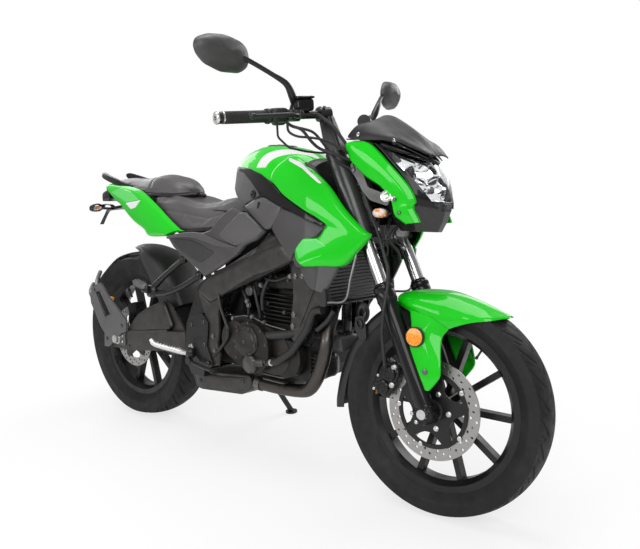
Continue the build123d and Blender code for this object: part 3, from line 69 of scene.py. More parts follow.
def added(name, data):
    """A new object in the scene."""
    thing = bpy.data.objects.new(name, data)
    bpy.context.scene.collection.objects.link(thing)
    return thing


axle_at_rest = unit(joints["rear_wheel_spin"]["axis"])
steering_at_rest = unit(joints["steering"]["axis"])
square_at_rest = np.cross(axle_at_rest, steering_at_rest)
lean = np.column_stack([math.cos(rake) * square_at_rest - math.sin(rake) * steering_at_rest, axle_at_rest,
        math.sin(rake) * square_at_rest + math.cos(rake) * steering_at_rest])
rear_axle = np.array([0, 0, rear_tyre_radius])
rear_axle_at_rest = np.array(joints["rear_wheel_spin"]["pos_m"])
steer_foot = np.array([wheelbase + trail, 0, 0])
steer_axis = np.array([-math.sin(rake), 0, math.cos(rake)])
steer_forward = np.array([math.cos(rake), 0, math.sin(rake)])
front_axle = np.array([wheelbase, 0, front_tyre_radius])
turned_axle = lean.T @ unit(joints["front_wheel_spin"]["axis"])
steer_angle = math.atan2(np.cross([0, 1, 0], turned_axle) @ steer_axis, turned_axle[1])
turning_bodies = ("steering", "front_wheel")


def turn(points, axis, angle):
    """Points turned about a unit axis through the origin: Rodrigues' formula."""
    points = np.asarray(points, float)
    along = (points @ axis)[..., None] * axis
    return along + (points - along) * math.cos(angle) + np.cross(axis, points) * math.sin(angle)


def place(points, body="frame"):
    """Points of the upright bike carried to where they lie on the parked one."""
    points = np.asarray(points, float)
    if body in turning_bodies:
        points = steer_foot + turn(points - steer_foot, steer_axis, steer_angle)
    return (points - rear_axle) @ lean.T + rear_axle_at_rest


# ---- camera
camera_place = np.array([2.385, -1.668, 0.871])
camera_yaw = math.radians(131.79)
camera_pitch = math.radians(-6.63)
camera_roll = math.radians(0.36)
camera_lens = 41.61375
camera_sensor = 36.0


def make_camera():
    """A camera at the front right, level with the tank, held by the upright bike's frame."""
    forward = np.array([math.cos(camera_pitch) * math.cos(camera_yaw),
            math.cos(camera_pitch) * math.sin(camera_yaw), math.sin(camera_pitch)])
    right = unit(np.cross(forward, [0, 0, 1]))
    up = np.cross(right, forward)
    across = math.cos(camera_roll) * right + math.sin(camera_roll) * up
    upwards = math.cos(camera_roll) * up - math.sin(camera_roll) * right
    camera = added("camera", bpy.data.cameras.new("camera"))
    matrix = np.eye(4)
    matrix[:3, 0] = lean @ across
    matrix[:3, 1] = lean @ upwards
    matrix[:3, 2] = lean @ -forward
    matrix[:3, 3] = place(camera_place)
    camera.matrix_world = Matrix(matrix.tolist())
    camera.data.sensor_width, camera.data.lens = camera_sensor, camera_lens
    camera.data.clip_end = 60
    bpy.context.scene.camera = camera


make_camera()


# ---- shapes: (points, faces) pairs
def mm(*points):
    """Points given in millimetres, as a list in metres."""
    return [tuple(value / 1000 for value in point) for point in points]


def strips(rows, columns, rows_close=False, columns_close=False):
    """Quads between neighbouring rows and columns of a grid of points counted row by row."""
    row, column = np.meshgrid(np.arange(rows if rows_close else rows - 1),
        np.arange(columns if columns_close else columns - 1), indexing="ij")
    row_after, column_after = (row + 1) % rows, (column + 1) % columns
    corners = (row * columns + column, row * columns + column_after, row_after * columns + column_after,
        row_after * columns + column)
    return np.stack(corners, -1).reshape(-1, 4).tolist()


def loft(loops, capped=True, closed=False):
    """Closed loops of equal length joined one after the next, flat lids on both ends."""
    loops = np.asarray(loops, float)
    rows, columns = loops.shape[:2]
    faces = strips(rows, columns, closed, True)
    if capped and not closed:
        first = list(range(columns))
        faces += [first[::-1], [point + (rows - 1) * columns for point in first]]
    return loops.reshape(-1, 3), faces


def shell(outer, inner):
    """Two grids of the same size, one behind the other, closed by a strip round their edges."""
    rows, columns = outer.shape[:2]
    count = rows * columns
    front = strips(rows, columns)
    back = [[point + count for point in face[::-1]] for face in front]
    index = np.arange(count).reshape(rows, columns)
    edge = np.concatenate([index[0, :-1], index[:-1, -1], index[-1, :0:-1], index[:0:-1, 0]])
    after = np.roll(edge, -1)
    rim = np.stack([edge, edge + count, after + count, after], -1).tolist()
    return np.concatenate([outer.reshape(-1, 3), inner.reshape(-1, 3)]), front + back + rim


def joined(*shapes):
    """Several shapes as one."""
    points, faces, start = [], [], 0
    for shape_points, shape_faces in shapes:
        points.append(np.asarray(shape_points, float).reshape(-1, 3))
        faces += [[index + start for index in face] for face in shape_faces]
        start += len(points[-1])
    return np.concatenate(points), faces


def mirrored(shape):
    """The shape on the other side of the bike."""
    points, faces = shape
    return points * [1, -1, 1], [face[::-1] for face in faces]


def both_sides(*shapes):
    """The shapes and their mirror images."""
    whole = joined(*shapes)
    return joined(whole, mirrored(whole))


def moved(shape, offset):
    """The shape carried by an offset."""
    return shape[0] + np.asarray(offset, float), shape[1]


def even_steps(line, count, closed=False):
    """Points at even steps along a line of straight runs."""
    line = np.asarray(line, float)
    length = np.concatenate([[0], np.cumsum(np.linalg.norm(np.diff(line, axis=0), axis=1))])
    steps = np.linspace(0, length[-1], count + 1 if closed else count)
    steps = steps[:-1] if closed else steps
    return np.stack([np.interp(steps, length, column) for column in line.T], -1)


def through(padded, share):
    """Catmull-Rom curve: from each knot to the next a cubic whose slope at a knot is half the
    way between its two neighbours; the first and last knots only give slopes."""
    before, start, end, after = (padded[k:len(padded) - 3 + k, None] for k in range(4))
    return 0.5 * (2 * start + (end - before) * share + (2 * before - 5 * start + 4 * end - after)
        * share ** 2 + (3 * start - before - 3 * end + after) * share ** 3)


def prolonged(knots):
    """Knots with one more at each end, in line with the last two."""
    return np.concatenate([2 * knots[:1] - knots[1:2], knots, 2 * knots[-1:] - knots[-2:-1]])


def curve(knots, count, closed=False):
    """Points at even steps along the Catmull-Rom curve through the knots."""
    knots = np.asarray(knots, float)
    padded = np.concatenate([knots[-1:], knots, knots[:2]]) if closed else prolonged(knots)
    fine = through(padded, np.linspace(0, 1, 24, endpoint=False)[None, :, None])
    return even_steps(np.concatenate([fine.reshape(-1, knots.shape[1]), padded[-2:-1]]), count, closed)


def polyline(corners, count, closed=False):
    """Points at even steps along straight runs, back to the first corner if closed."""
    corners = np.asarray(corners, float)
    return even_steps(np.concatenate([corners, corners[:1]]) if closed else corners, count, closed)


def rounded(corners, radius, steps=5):
    """A closed outline whose corners are eased by curves that start a radius away."""
    corners = np.asarray(corners, float)
    before, after = np.roll(corners, 1, 0) - corners, np.roll(corners, -1, 0) - corners
    reach_before = np.minimum(radius, 0.45 * np.linalg.norm(before, axis=1))
    reach_after = np.minimum(radius, 0.45 * np.linalg.norm(after, axis=1))
    start = corners + before / np.linalg.norm(before, axis=1)[:, None] * reach_before[:, None]
    end = corners + after / np.linalg.norm(after, axis=1)[:, None] * reach_after[:, None]
    share = np.linspace(0, 1, steps)[None, :, None]
    eased = ((1 - share) ** 2 * start[:, None] + 2 * share * (1 - share) * corners[:, None]
        + share ** 2 * end[:, None])
    return eased.reshape(-1, corners.shape[1])


def spoke(angle):
    """Unit vector from an axle: forward at no angle, up after a quarter turn."""
    return np.array([math.cos(angle), 0, math.sin(angle)])


def directions(path):
    """Unit tangents of a path."""
    ahead = np.gradient(path, axis=0)
    return ahead / np.linalg.norm(ahead, axis=1)[:, None]


def frames_along(path):
    """Two directions square to a path at each point, carried on without twist."""
    ahead = directions(path)
    across = np.empty_like(path)
    guess = np.cross(ahead[0], [0.31, 0.17, 0.94])
    for step, way in enumerate(ahead):
        guess = guess - way * (guess @ way)
        guess = guess / np.linalg.norm(guess)
        across[step] = guess
    return across, np.cross(ahead, across)


def tube(knots, radius, count=40, around=14, straight=False):
    """A round bar on a smooth path; the radius is one number or one for each step."""
    path = polyline(knots, count) if straight else curve(knots, count)
    across, over = frames_along(path)
    angle = np.linspace(0, 2 * np.pi, around, endpoint=False)
    radii = np.broadcast_to(np.asarray(radius, float), (count,))[:, None, None]
    ring = np.cos(angle)[None, :, None] * across[:, None] + np.sin(angle)[None, :, None] * over[:, None]
    return loft(path[:, None] + radii * ring)


def tubes(paths, count, around=12):
    """Round bars as one shape, each given as (knots, radius)."""
    return joined(*[tube(knots, radius, count, around) for knots, radius in paths])


def basis(axis):
    """Two directions square to an axis."""
    axis = unit(axis)
    side = unit(np.cross(axis, [0.0, 0.0, 1.0] if abs(axis[2]) < 0.9 else [1.0, 0.0, 0.0]))
    return side, np.cross(axis, side)


def around_axis(axis, count, start=0.0):
    """Unit directions square to an axis, evenly spaced round it."""
    side, over = basis(axis)
    angle = np.linspace(0, 2 * np.pi, count, endpoint=False) + start
    return np.cos(angle)[:, None] * side + np.sin(angle)[:, None] * over


def revolved(profile, centre, axis, around=48, closed=False, start=0.0):
    """A profile of (along the axis, radius) turned once about the axis."""
    profile = np.asarray(profile, float)
    points = (np.asarray(centre, float) + profile[:, :1, None] * unit(axis) + profile[:, 1:, None]
        * around_axis(axis, around, start)[None])
    return loft(points, closed=closed)


def lathe_ring(profile, centre, axis, around=64):
    """A closed profile of (along the axis, radius) turned into a ring."""
    return revolved(profile, centre, axis, around, True)


def bolts(places, radius, height, head="round", axis=to_right):
    """Bolt heads standing on their places along an axis: low domes with a socket, or hexagons."""
    profile, corners = bolt_heads[head]
    one = revolved(np.array(profile) * [height, radius], (0, 0, 0), axis, corners, start=0.2)
    return joined(*(moved(one, spot) for spot in np.atleast_2d(places)))


# share of the height, share of the radius; then the number of corners
bolt_heads = {"round": ([(-0.2, 1.0), (0.5, 1.0), (0.85, 0.85), (1.0, 0.6), (1.0, 0.45), (0.45, 0.42)], 14),
    "hex": ([(-0.2, 1.25), (0.0, 1.25), (0.12, 1.25), (0.14, 1.0), (0.9, 1.0), (1.0, 0.88)], 6)}


def side_view(outline, y):
    """Points of (x, z) set at one y, or at a y for each."""
    outline = np.asarray(outline, float)
    return np.column_stack([outline[:, 0], np.broadcast_to(y, len(outline)), outline[:, 1]])


def plate(outline, y_near, y_far):
    """A side-view outline of (x, z) carried from one y to another; each y is one number or
    one for each corner."""
    return loft([side_view(outline, y) for y in (y_near, y_far)])


def slab_between(outline, centre, normal, up, thickness):
    """A flat outline of (across, up) on a tilted plane, thickened along the normal."""
    outline = np.asarray(outline, float)
    normal, up = unit(normal), unit(up)
    across = np.cross(up, normal)
    flat = np.asarray(centre, float) + outline[:, :1] * across + outline[:, 1:] * up
    return loft([flat, flat + thickness * normal])


def rounded_box(centre, size, power=4.0, rows=13, columns=24, axes=np.eye(3)):
    """A block with eased edges: the superellipsoid |x|^p + |y|^p + |z|^p = 1, stretched."""
    tilt = np.linspace(-np.pi / 2, np.pi / 2, rows)[:, None]
    turn_angle = np.linspace(0, 2 * np.pi, columns, endpoint=False)[None]
    ball = np.stack([np.cos(tilt) * np.cos(turn_angle), np.cos(tilt) * np.sin(turn_angle),
            np.sin(tilt) * np.ones_like(turn_angle)], -1)
    ball /= (np.abs(ball) ** power).sum(-1, keepdims=True) ** (1 / power)
    return loft(np.asarray(centre, float) + (ball * np.asarray(size) / 2) @ np.asarray(axes))


def fitted(stations, order=3):
    """Half width as a polynomial in x and z, the nearest one to (y, z) corners given at each x."""
    samples = np.array([(x, y, z) for x, corners in stations.items() for y, z in corners])
    powers = [(i, j) for i in range(order + 1) for j in range(order + 1 - i)]
    terms = np.stack([(samples[:, 0] - 0.6) ** i * (samples[:, 2] - 0.75) ** j for i, j in powers], -1)
    weights = np.linalg.lstsq(terms, samples[:, 1], rcond=None)[0]

    def half_width(x, z):
        return sum(w * (x - 0.6) ** i * (z - 0.75) ** j for w, (i, j) in zip(weights, powers))
    return half_width


def edge_roll(distance, radius):
    """How far an edge falls away: a quarter circle of that radius, flat beyond it."""
    near = np.clip(1 - distance / radius, 0, 1)
    return radius * (1 - np.sqrt(1 - near ** 2))


def rail(knots, steps, smooth=True):
    """A Catmull-Rom curve, or straight runs, with the same number of steps between any two knots."""
    knots = np.asarray(knots, float)
    share = np.linspace(0, 1, steps, endpoint=False)[None, :, None]
    if smooth:
        line = through(prolonged(knots), share)
    else:
        line = knots[:-1, None] + (knots[1:, None] - knots[:-1, None]) * share
    return np.concatenate([line.reshape(-1, knots.shape[1]), knots[-1:]])


def band(upper, lower, skin, thickness=0.004, roll=0.008, crown=0.0, steps=8, across=18, smooth=True,
        groove=0.0):
    """A side panel between two rails of (x, z) whose knots face each other; y from the skin,
    crowned or grooved along the middle, its edges rolled inwards by a quarter circle."""
    top, bottom = rail(upper, steps, smooth), rail(lower, steps, smooth)
    share = 0.5 - 0.5 * np.cos(np.linspace(0, np.pi, across))
    flat = top[:, None] * (1 - share)[None, :, None] + bottom[:, None] * share[None, :, None]
    x, z = flat[..., 0], flat[..., 1]
    width = np.linalg.norm(top - bottom, axis=1)[:, None]
    middle = np.linalg.norm(np.diff(flat[:, across // 2], axis=0), axis=1)
    length = np.concatenate([[0], np.cumsum(middle)])
    to_end = np.minimum(length, length[-1] - length)[:, None]
    to_edge = np.minimum(share, 1 - share)[None] * width
    hump = np.sin(np.pi * share)[None] * np.clip(width / 0.06, 0, 1)
    y = skin(x, z) + crown * hump - groove * hump ** 6
    y = y - edge_roll(to_edge, roll) - edge_roll(to_end, roll)
    outer = np.stack([x, y, z], -1)
    return shell(outer, outer - [0, thickness, 0])


def smooth_loft(sections, rows, columns, closed_smooth=True):
    """Closed cross-sections of (x, y, z) knots, each made a smooth loop, then carried smoothly
    from one to the next."""
    sample = curve if closed_smooth else polyline
    loops = np.stack([sample(section, columns, closed=True) for section in sections])
    lengthwise = curve(loops.reshape(len(loops), -1), rows)
    return loft(lengthwise.reshape(rows, columns, 3))


def sheet(rails, steps=8, fine=5, thickness=0.003, out=(0, 0, 1), smooth=True, across_smooth=True):
    """A curved sheet through 3-D rails with equally many knots: each rail a Catmull-Rom curve,
    then the same across them; thickened away from the outward side."""
    lengthwise = np.stack([rail(knots, steps, smooth) for knots in rails])
    grid = rail(lengthwise.reshape(len(rails), -1), fine, across_smooth).reshape(-1, lengthwise.shape[1], 3)
    normal = np.cross(np.gradient(grid, axis=0), np.gradient(grid, axis=1))
    normal /= np.maximum(np.linalg.norm(normal, axis=-1), 1e-9)[..., None]
    if (normal.reshape(-1, 3) @ np.asarray(out, float)).sum() < 0:
        normal = -normal
    return shell(grid, grid - thickness * normal)


def full_width(rails):
    """Rails of the right side from the edge to the centre line, carried over to the left."""
    rails = [np.asarray(knots, float) for knots in rails]
    return rails + [knots * [1, -1, 1] for knots in rails[-2::-1]]


def patch(outline, centre, skin, thickness=0.004, roll=0.008, crown=0.0, rings=12, count=96, corner=0.006):
    """A side panel inside a closed outline of (x, z): rings drawn in towards the centre, y from
    the skin, crowned at the centre and rolled inwards at the edge."""
    edge = polyline(rounded(outline, corner), count, closed=True)
    centre = np.asarray(centre, float)
    away = np.linalg.norm(edge - centre, axis=1)[None]
    share = 1 - np.linspace(0, 1, rings)[:, None] ** 1.6
    flat = centre + share[..., None] * (edge - centre)[None]
    x, z = flat[..., 0], flat[..., 1]
    distance = (1 - share) * away * 0.8
    y = skin(x, z) + crown * (1 - share ** 2) - edge_roll(distance, roll)
    outer = np.stack([x, y, z], -1)[:-1]
    inner = outer - [0, thickness, 0]
    return loft(np.concatenate([inner[::-1], outer]))


# ---- pieces
def mesh_points(mesh):
    """A mesh's points as an array."""
    points = np.empty(len(mesh.vertices) * 3)
    mesh.vertices.foreach_get("co", points)
    return points.reshape(-1, 3)


def piece(name, shape, finish, body="frame", replaces=(), slot=None, bevel=0.0, sharp=32, soften=0,
        at_rest=False):
    """A mesh object from a shape: put in its place, its doubles merged, its faces turned
    outwards, shaded smooth but for edges sharper than the angle, and given to its body."""
    points, faces = shape
    mesh = bpy.data.meshes.new(name)
    mesh.from_pydata((points if at_rest else place(points, body)).tolist(), [], faces)
    work = bmesh.new()
    work.from_mesh(mesh)
    bmesh.ops.remove_doubles(work, verts=work.verts, dist=0.00002)
    bmesh.ops.dissolve_degenerate(work, dist=0.00001, edges=work.edges)
    bmesh.ops.recalc_face_normals(work, faces=work.faces)
    work.to_mesh(mesh)
    work.free()
    mesh.polygons.foreach_set("use_smooth", np.ones(len(mesh.polygons), bool))
    mesh.set_sharp_from_angle(angle=math.radians(sharp))
    mesh.materials.append(finish.material)
    thing = added(name, mesh)
    if bevel:
        edge = thing.modifiers.new("eased edges", "BEVEL")
        edge.width, edge.segments, edge.limit_method = bevel, 2, "ANGLE"
        edge.angle_limit = math.radians(35)
        edge.harden_normals = True
    if soften:
        rounder = thing.modifiers.new("softened", "SUBSURF")
        rounder.levels = rounder.render_levels = soften
    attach(thing, body)
    if replaces:
        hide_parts(*replaces)
    return thing


def pair(name, shape, *rest, **more):
    """A shape and its mirror image as one piece."""
    return piece(name, both_sides(shape), *rest, **more)


# ---- finishes
class Finish:
    """A new material with its principled shader and short ways to add and join nodes."""

    def __init__(self, name, colour, roughness=0.5, metallic=0.0, coat=0.0, coat_roughness=0.04,
            specular=0.5):
        self.material = bpy.data.materials.new(name)
        self.material.use_nodes = True
        self.tree = self.material.node_tree
        self.shader = self.tree.nodes["Principled BSDF"]
        self.set("Base Color", (*colour, 1.0))
        self.set("Roughness", roughness)
        self.set("Metallic", metallic)
        self.set("Coat Weight", coat)
        self.set("Coat Roughness", coat_roughness)
        self.set("Specular IOR Level", specular)
        self.colour, self.roughness, self.normal = colour, roughness, None
        self.place = self.node("ShaderNodeTexCoord").outputs["Object"]

    def set(self, socket, value):
        """Give a socket of the shader a constant."""
        self.shader.inputs[socket].default_value = value

    def node(self, kind, **values):
        """A new node; a named value goes to its setting, or to the socket of that name."""
        made = self.tree.nodes.new(kind)
        for name, value in values.items():
            label = name.replace("_", " ").title() if not hasattr(made, name) else name
            if hasattr(made, name):
                setattr(made, name, value)
            elif isinstance(value, bpy.types.NodeSocket):
                self.tree.links.new(value, made.inputs[label])
            else:
                made.inputs[label].default_value = value
        return made

    def join(self, start, end):
        """Link two sockets."""
        self.tree.links.new(start, end)

    def maths(self, operation, *values):
        """A sum on sockets and numbers."""
        made = self.node("ShaderNodeMath", operation=operation)
        for value, socket in zip(values, made.inputs):
            if isinstance(value, bpy.types.NodeSocket):
                self.join(value, socket)
            else:
                socket.default_value = value
        return made.outputs[0]

    def mapped(self, scale=(1, 1, 1), place=None):
        """Object coordinates stretched along the axes."""
        mapping = self.node("ShaderNodeMapping", vector_type="POINT")
        mapping.inputs["Scale"].default_value = scale
        self.join(place or self.place, mapping.inputs["Vector"])
        return mapping.outputs["Vector"]

    def noise(self, scale, detail=4.0, rough=0.6, place=None):
        """Cloudy noise between 0 and 1."""
        made = self.node("ShaderNodeTexNoise", Scale=scale, Detail=detail, Roughness=rough)
        self.join(place or self.place, made.inputs["Vector"])
        return made.outputs["Fac"]

    def cells(self, scale, feature="F1", place=None, output="Distance"):
        """Distance to scattered cell centres or edges."""
        made = self.node("ShaderNodeTexVoronoi", feature=feature, Scale=scale)
        self.join(place or self.place, made.inputs["Vector"])
        return made.outputs[output]

    def ramp(self, factor, stops):
        """A colour or value that runs through the stops."""
        made = self.node("ShaderNodeValToRGB")
        bar = made.color_ramp
        while len(bar.elements) < len(stops):
            bar.elements.new(0.5)
        for element, (position, colour) in zip(bar.elements, stops):
            element.position = position
            element.color = (*colour, 1.0) if len(colour) == 3 else colour
        self.join(factor, made.inputs["Fac"])
        return made.outputs["Color"]

    def shade(self, factor, low, high, start=0.3, end=0.7):
        """Base colour between two shades by a factor."""
        self.join(self.ramp(factor, [(start, low), (end, high)]), self.shader.inputs["Base Color"])
        return self

    def wear(self, factor, low, high, start=0.3, end=0.7):
        """Roughness between two values by a factor."""
        grey = self.ramp(factor, [(start, (low,) * 3), (end, (high,) * 3)])
        self.join(grey, self.shader.inputs["Roughness"])
        return self

    def bump(self, height, strength, distance):
        """Surface relief from a height, laid over what is there."""
        made = self.node("ShaderNodeBump", Strength=strength, Distance=distance, Height=height)
        if self.normal:
            self.join(self.normal, made.inputs["Normal"])
        self.normal = made.outputs["Normal"]
        self.join(self.normal, self.shader.inputs["Normal"])
        return self


def grey(level, warm=0.0):
    """A grey, a little warmer or cooler."""
    return (level * (1 + warm), level, level * (1 - 0.6 * warm))


def clear_coated(name, colour, deep, coat=0.6):
    """Paint under lacquer: slow drift of shade, faint orange peel."""
    finish = Finish(name, colour, 0.4, coat=coat, coat_roughness=0.03, specular=0.15)
    finish.shade(finish.noise(2.2, 2.0), deep, colour)
    return finish.bump(finish.noise(420.0, 1.0), 0.05, 0.0006)


def grained(name, level, warm, roughness, grain=900.0, depth=0.25):
    """Moulded plastic with a fine leathered grain and slightly polished patches."""
    tint = np.array([1 + warm, 1.0, 1 + 0.6 * warm])
    finish = Finish(name, tuple(level * tint), roughness)
    finish.shade(finish.noise(9.0, 3.0), tuple(0.88 * level * tint), tuple(1.1 * level * tint))
    finish.wear(finish.noise(30.0, 3.0), roughness - 0.06, roughness + 0.08)
    return finish.bump(finish.cells(grain), depth, 0.0004)


def cast(name, level, warm, roughness, metallic, scale=260.0, depth=0.35):
    """Painted sand casting: pebbled skin, oily and dusty patches."""
    finish = Finish(name, grey(level, warm), roughness, metallic)
    finish.shade(finish.noise(26.0, 6.0), grey(level * 0.6, warm), grey(level * 1.35, warm))
    finish.wear(finish.noise(18.0, 5.0), roughness - 0.1, roughness + 0.15)
    return finish.bump(finish.noise(scale, 5.0, 0.7), depth, 0.0006)


def metal(name, level, roughness, warm=0.0, streak=(1, 1, 1), scale=160.0, depth=0.1):
    """Bare or plated metal with fine streaks along one way."""
    finish = Finish(name, grey(level, warm), roughness, 1.0)
    place_along = finish.mapped(streak)
    finish.wear(finish.noise(scale, 5.0, 0.6, place_along), roughness * 0.7, roughness * 1.4)
    return finish.bump(finish.noise(scale * 2, 3.0, 0.6, place_along), depth, 0.0003)


green_paint = clear_coated("green clear coat", (0.004, 0.6, 0.006), (0.003, 0.53, 0.005))
# paler green: painted highlight on green facets that face the lights
green_painted_highlight = clear_coated("light green clear coat", (0.13, 0.7, 0.16), (0.1, 0.64, 0.12))
gloss_black = clear_coated("gloss black", (0.004, 0.004, 0.004), (0.003, 0.003, 0.003), 0.4)
charcoal_plastic = grained("charcoal plastic", 0.05, 0.06, 0.42)
# grey: the knee faces' and frame covers' own grey; on the side cover and lower shroud the same grey is a
# painted highlight on lit facets
grey_plastic = grained("grey plastic", 0.072, 0.05, 0.4)
black_plastic = grained("black plastic", 0.012, 0.02, 0.45, 700.0)
mesh_plastic = grained("side cover mesh", 0.028, 0.03, 0.6, 260.0, 0.9)
frame_paint = cast("frame paint", 0.034, 0.08, 0.36, 0.2, 700.0, 0.12)
wheel_paint = cast("wheel paint", 0.007, 0.0, 0.33, 0.2, 900.0, 0.1)
black_paint = cast("black paint", 0.012, 0.0, 0.28, 0.0, 900.0, 0.06)
engine_paint = cast("engine casting", 0.018, 0.08, 0.42, 0.55)
cover_paint = cast("engine cover", 0.03, 0.16, 0.38, 0.6, 420.0, 0.2)
caliper_paint = cast("caliper paint", 0.012, 0.0, 0.3, 0.3, 500.0, 0.2)
steel = metal("bright steel", 0.62, 0.26)
dark_steel = metal("dark steel", 0.16, 0.38)
silver = metal("silver alloy", 0.75, 0.3, 0.02)
header_steel = metal("header steel", 0.075, 0.36, 0.1, (1, 1, 1), 60.0, 0.1)
reflector_chrome = metal("lamp reflector", 0.9, 0.08, 0.0, (1, 1, 1), 60.0, 0.05)
charcoal_gloss = grained("polished charcoal", 0.022, 0.04, 0.24, 700.0, 0.06)
smoked_amber = Finish("smoked amber lens", (0.72, 0.52, 0.42), 0.12, coat=1.0)
smoked_amber.shade(smoked_amber.noise(55.0, 2.0), (0.8, 0.24, 0.05), (0.7, 0.66, 0.62), 0.42, 0.56)
smoked_amber.bump(smoked_amber.cells(300.0), 0.4, 0.001)
stanchion_chrome = metal("stanchion chrome", 0.5, 0.22, 0.0, (1, 1, 0.06), 90.0, 0.03)
reflector_amber = Finish("amber reflector", (0.95, 0.3, 0.0), 0.25, coat=0.6)
reflector_amber.shade(reflector_amber.cells(380.0), (0.98, 0.42, 0.01), (0.8, 0.18, 0.0))
reflector_amber.bump(reflector_amber.cells(380.0), 0.5, 0.001)
disc_steel = metal("brake disc steel", 0.36, 0.36, 0.03, (1, 1, 1), 220.0, 0.12)
satin_black = grained("satin black", 0.006, 0.0, 0.3, 1200.0, 0.02)
visor_plastic = grained("visor plastic", 0.008, 0.05, 0.5, 1200.0, 0.02)
chain_steel = metal("chain steel", 0.16, 0.34, 0.12)
muffler_paint = cast("muffler paint", 0.03, 0.08, 0.44, 0.1, 320.0, 0.12)
bolt_steel = metal("dark bolts", 0.1, 0.42)
fitting_steel = metal("dull fittings", 0.26, 0.4)
hugger_plastic = grained("hugger plastic", 0.022, 0.03, 0.46, 900.0)
arm_grey = grained("bracket grey", 0.1, 0.03, 0.5, 900.0)
# radiator core grey: partly the fins' own metal, partly painted light seen through the gaps between the
# slats
core_metal_and_gap_light = metal("radiator core", 0.34, 0.55)
rib_alloy = cast("ribbed alloy", 0.085, 0.06, 0.4, 0.6, 500.0, 0.2)
silver_grey = cast("peg alloy", 0.16, 0.02, 0.45, 0.3, 700.0, 0.15)
slat_paint = metal("radiator slats", 0.1, 0.45)
cable_rubber = grained("cable rubber", 0.012, 0.0, 0.5, 500.0, 0.1)
grip_rubber = grained("grip rubber", 0.016, 0.0, 0.6, 600.0, 0.6)
seat_cover = grained("seat vinyl", 0.08, 0.07, 0.4, 420.0, 0.35)
mirror_glass = Finish("mirror glass", (0.86, 0.88, 0.89), 0.02, 1.0)
red_lens = Finish("red lens", (0.42, 0.01, 0.012), 0.12, coat=1.0)
orange_tag = Finish("orange tag", (0.85, 0.28, 0.02), 0.5)
# white: the rim tag's own print, and painted highlights on the shroud rim and the tail
white_print_and_highlight = Finish("white patch", (0.78, 0.78, 0.78), 0.45)
red_patch = Finish("red patch", (0.55, 0.01, 0.03), 0.45)
dial_face = Finish("instrument glass", (0.012, 0.012, 0.014), 0.05, coat=1.0)
orange_tag.wear(orange_tag.noise(60.0), 0.4, 0.6)
white_print_and_highlight.wear(white_print_and_highlight.noise(60.0), 0.35, 0.55)
red_patch.wear(red_patch.noise(60.0), 0.35, 0.55)
dial_face.bump(dial_face.noise(80.0), 0.03, 0.0005)
mirror_glass.wear(mirror_glass.noise(4.0), 0.01, 0.03)
red_lens.bump(red_lens.cells(300.0), 0.4, 0.0012)


def clear_glass():
    """Clear lamp lens: light passes, with a thin gloss."""
    finish = Finish("clear lens", (0.97, 0.98, 0.99), 0.02)
    finish.set("Transmission Weight", 1.0)
    finish.set("IOR", 1.25)
    finish.bump(finish.noise(30.0, 2.0), 0.02, 0.0005)
    return finish


def tyre_rubber():
    """Tyre rubber: fine pores, a dusty bloom on high spots."""
    finish = Finish("tyre rubber", (0.012, 0.012, 0.013), 0.6, specular=0.28)
    finish.shade(finish.noise(14.0, 5.0), (0.008, 0.008, 0.009), (0.019, 0.018, 0.019))
    finish.wear(finish.noise(40.0, 4.0), 0.5, 0.75)
    return finish.bump(finish.noise(1400.0, 3.0, 0.8), 0.25, 0.0004)


clear_lens = clear_glass()
rubber = tyre_rubber()
# the slot that each finish fills in the exported model
slot_finishes = {
    "green_paint": [green_paint, green_painted_highlight, white_print_and_highlight],
    "grey_plastic": [black_plastic, grey_plastic, charcoal_plastic, mesh_plastic, hugger_plastic, arm_grey,
        core_metal_and_gap_light],
    "gloss_black": [gloss_black, charcoal_gloss, visor_plastic, dial_face, black_paint, wheel_paint,
        satin_black, muffler_paint, slat_paint],
    "clear_lens": [clear_lens],
    "chrome": [reflector_chrome, stanchion_chrome],
    "bright_steel": [dark_steel, silver, steel, fitting_steel, bolt_steel, chain_steel, header_steel],
    "amber_lens": [smoked_amber, reflector_amber],
    "grip_rubber": [grip_rubber, cable_rubber],
    "red_lens": [red_patch, red_lens],
    "mirror_glass": [mirror_glass],
    "tyre_rubber": [rubber],
    "caliper_black": [caliper_paint],
    "frame_paint": [frame_paint],
    "engine_alloy": [silver_grey, cover_paint, engine_paint, rib_alloy],
}
slot_of = {finish: slot for slot, finishes in slot_finishes.items() for finish in finishes}


# ---- light and floor
surround_light = 0.26
mirrored_light = 0.36
floor_whiteness = 0.72


def make_world():
    """A white surround to look at, dimmer in reflections and where it lights the bike."""
    world = bpy.data.worlds.new("studio")
    bpy.context.scene.world = world
    world.use_nodes = True
    tree = world.node_tree
    path = tree.nodes.new("ShaderNodeLightPath")
    strength = None
    for ray, amount in (("Is Camera Ray", 1.0), ("Is Transmission Ray", 0.9),
            ("Is Glossy Ray", mirrored_light), ("Is Diffuse Ray", surround_light)):
        part = tree.nodes.new("ShaderNodeMath")
        part.operation = "MULTIPLY"
        tree.links.new(path.outputs[ray], part.inputs[0])
        part.inputs[1].default_value = amount
        if strength:
            larger = tree.nodes.new("ShaderNodeMath")
            larger.operation = "MAXIMUM"
            tree.links.new(strength, larger.inputs[0])
            tree.links.new(part.outputs[0], larger.inputs[1])
            part = larger
        strength = part.outputs[0]
    background = tree.nodes["Background"]
    background.inputs["Color"].default_value = (1, 1, 1, 1)
    tree.links.new(strength, background.inputs["Strength"])


def soft_lamp(name, spot, aim, size, power):
    """A square lamp at a spot, turned to its aim; both on the parked bike."""
    lamp = bpy.data.lights.new(name, "AREA")
    lamp.shape, lamp.size, lamp.size_y, lamp.energy = "RECTANGLE", size[0], size[1], power
    thing = added(name, lamp)
    away = unit(np.asarray(spot, float) - np.asarray(aim, float))
    side, over = basis(away)
    matrix = np.eye(4)
    matrix[:3, 0], matrix[:3, 1], matrix[:3, 2] = side, np.cross(away, side), away
    matrix[:3, 3] = spot
    thing.matrix_world = Matrix(matrix.tolist())


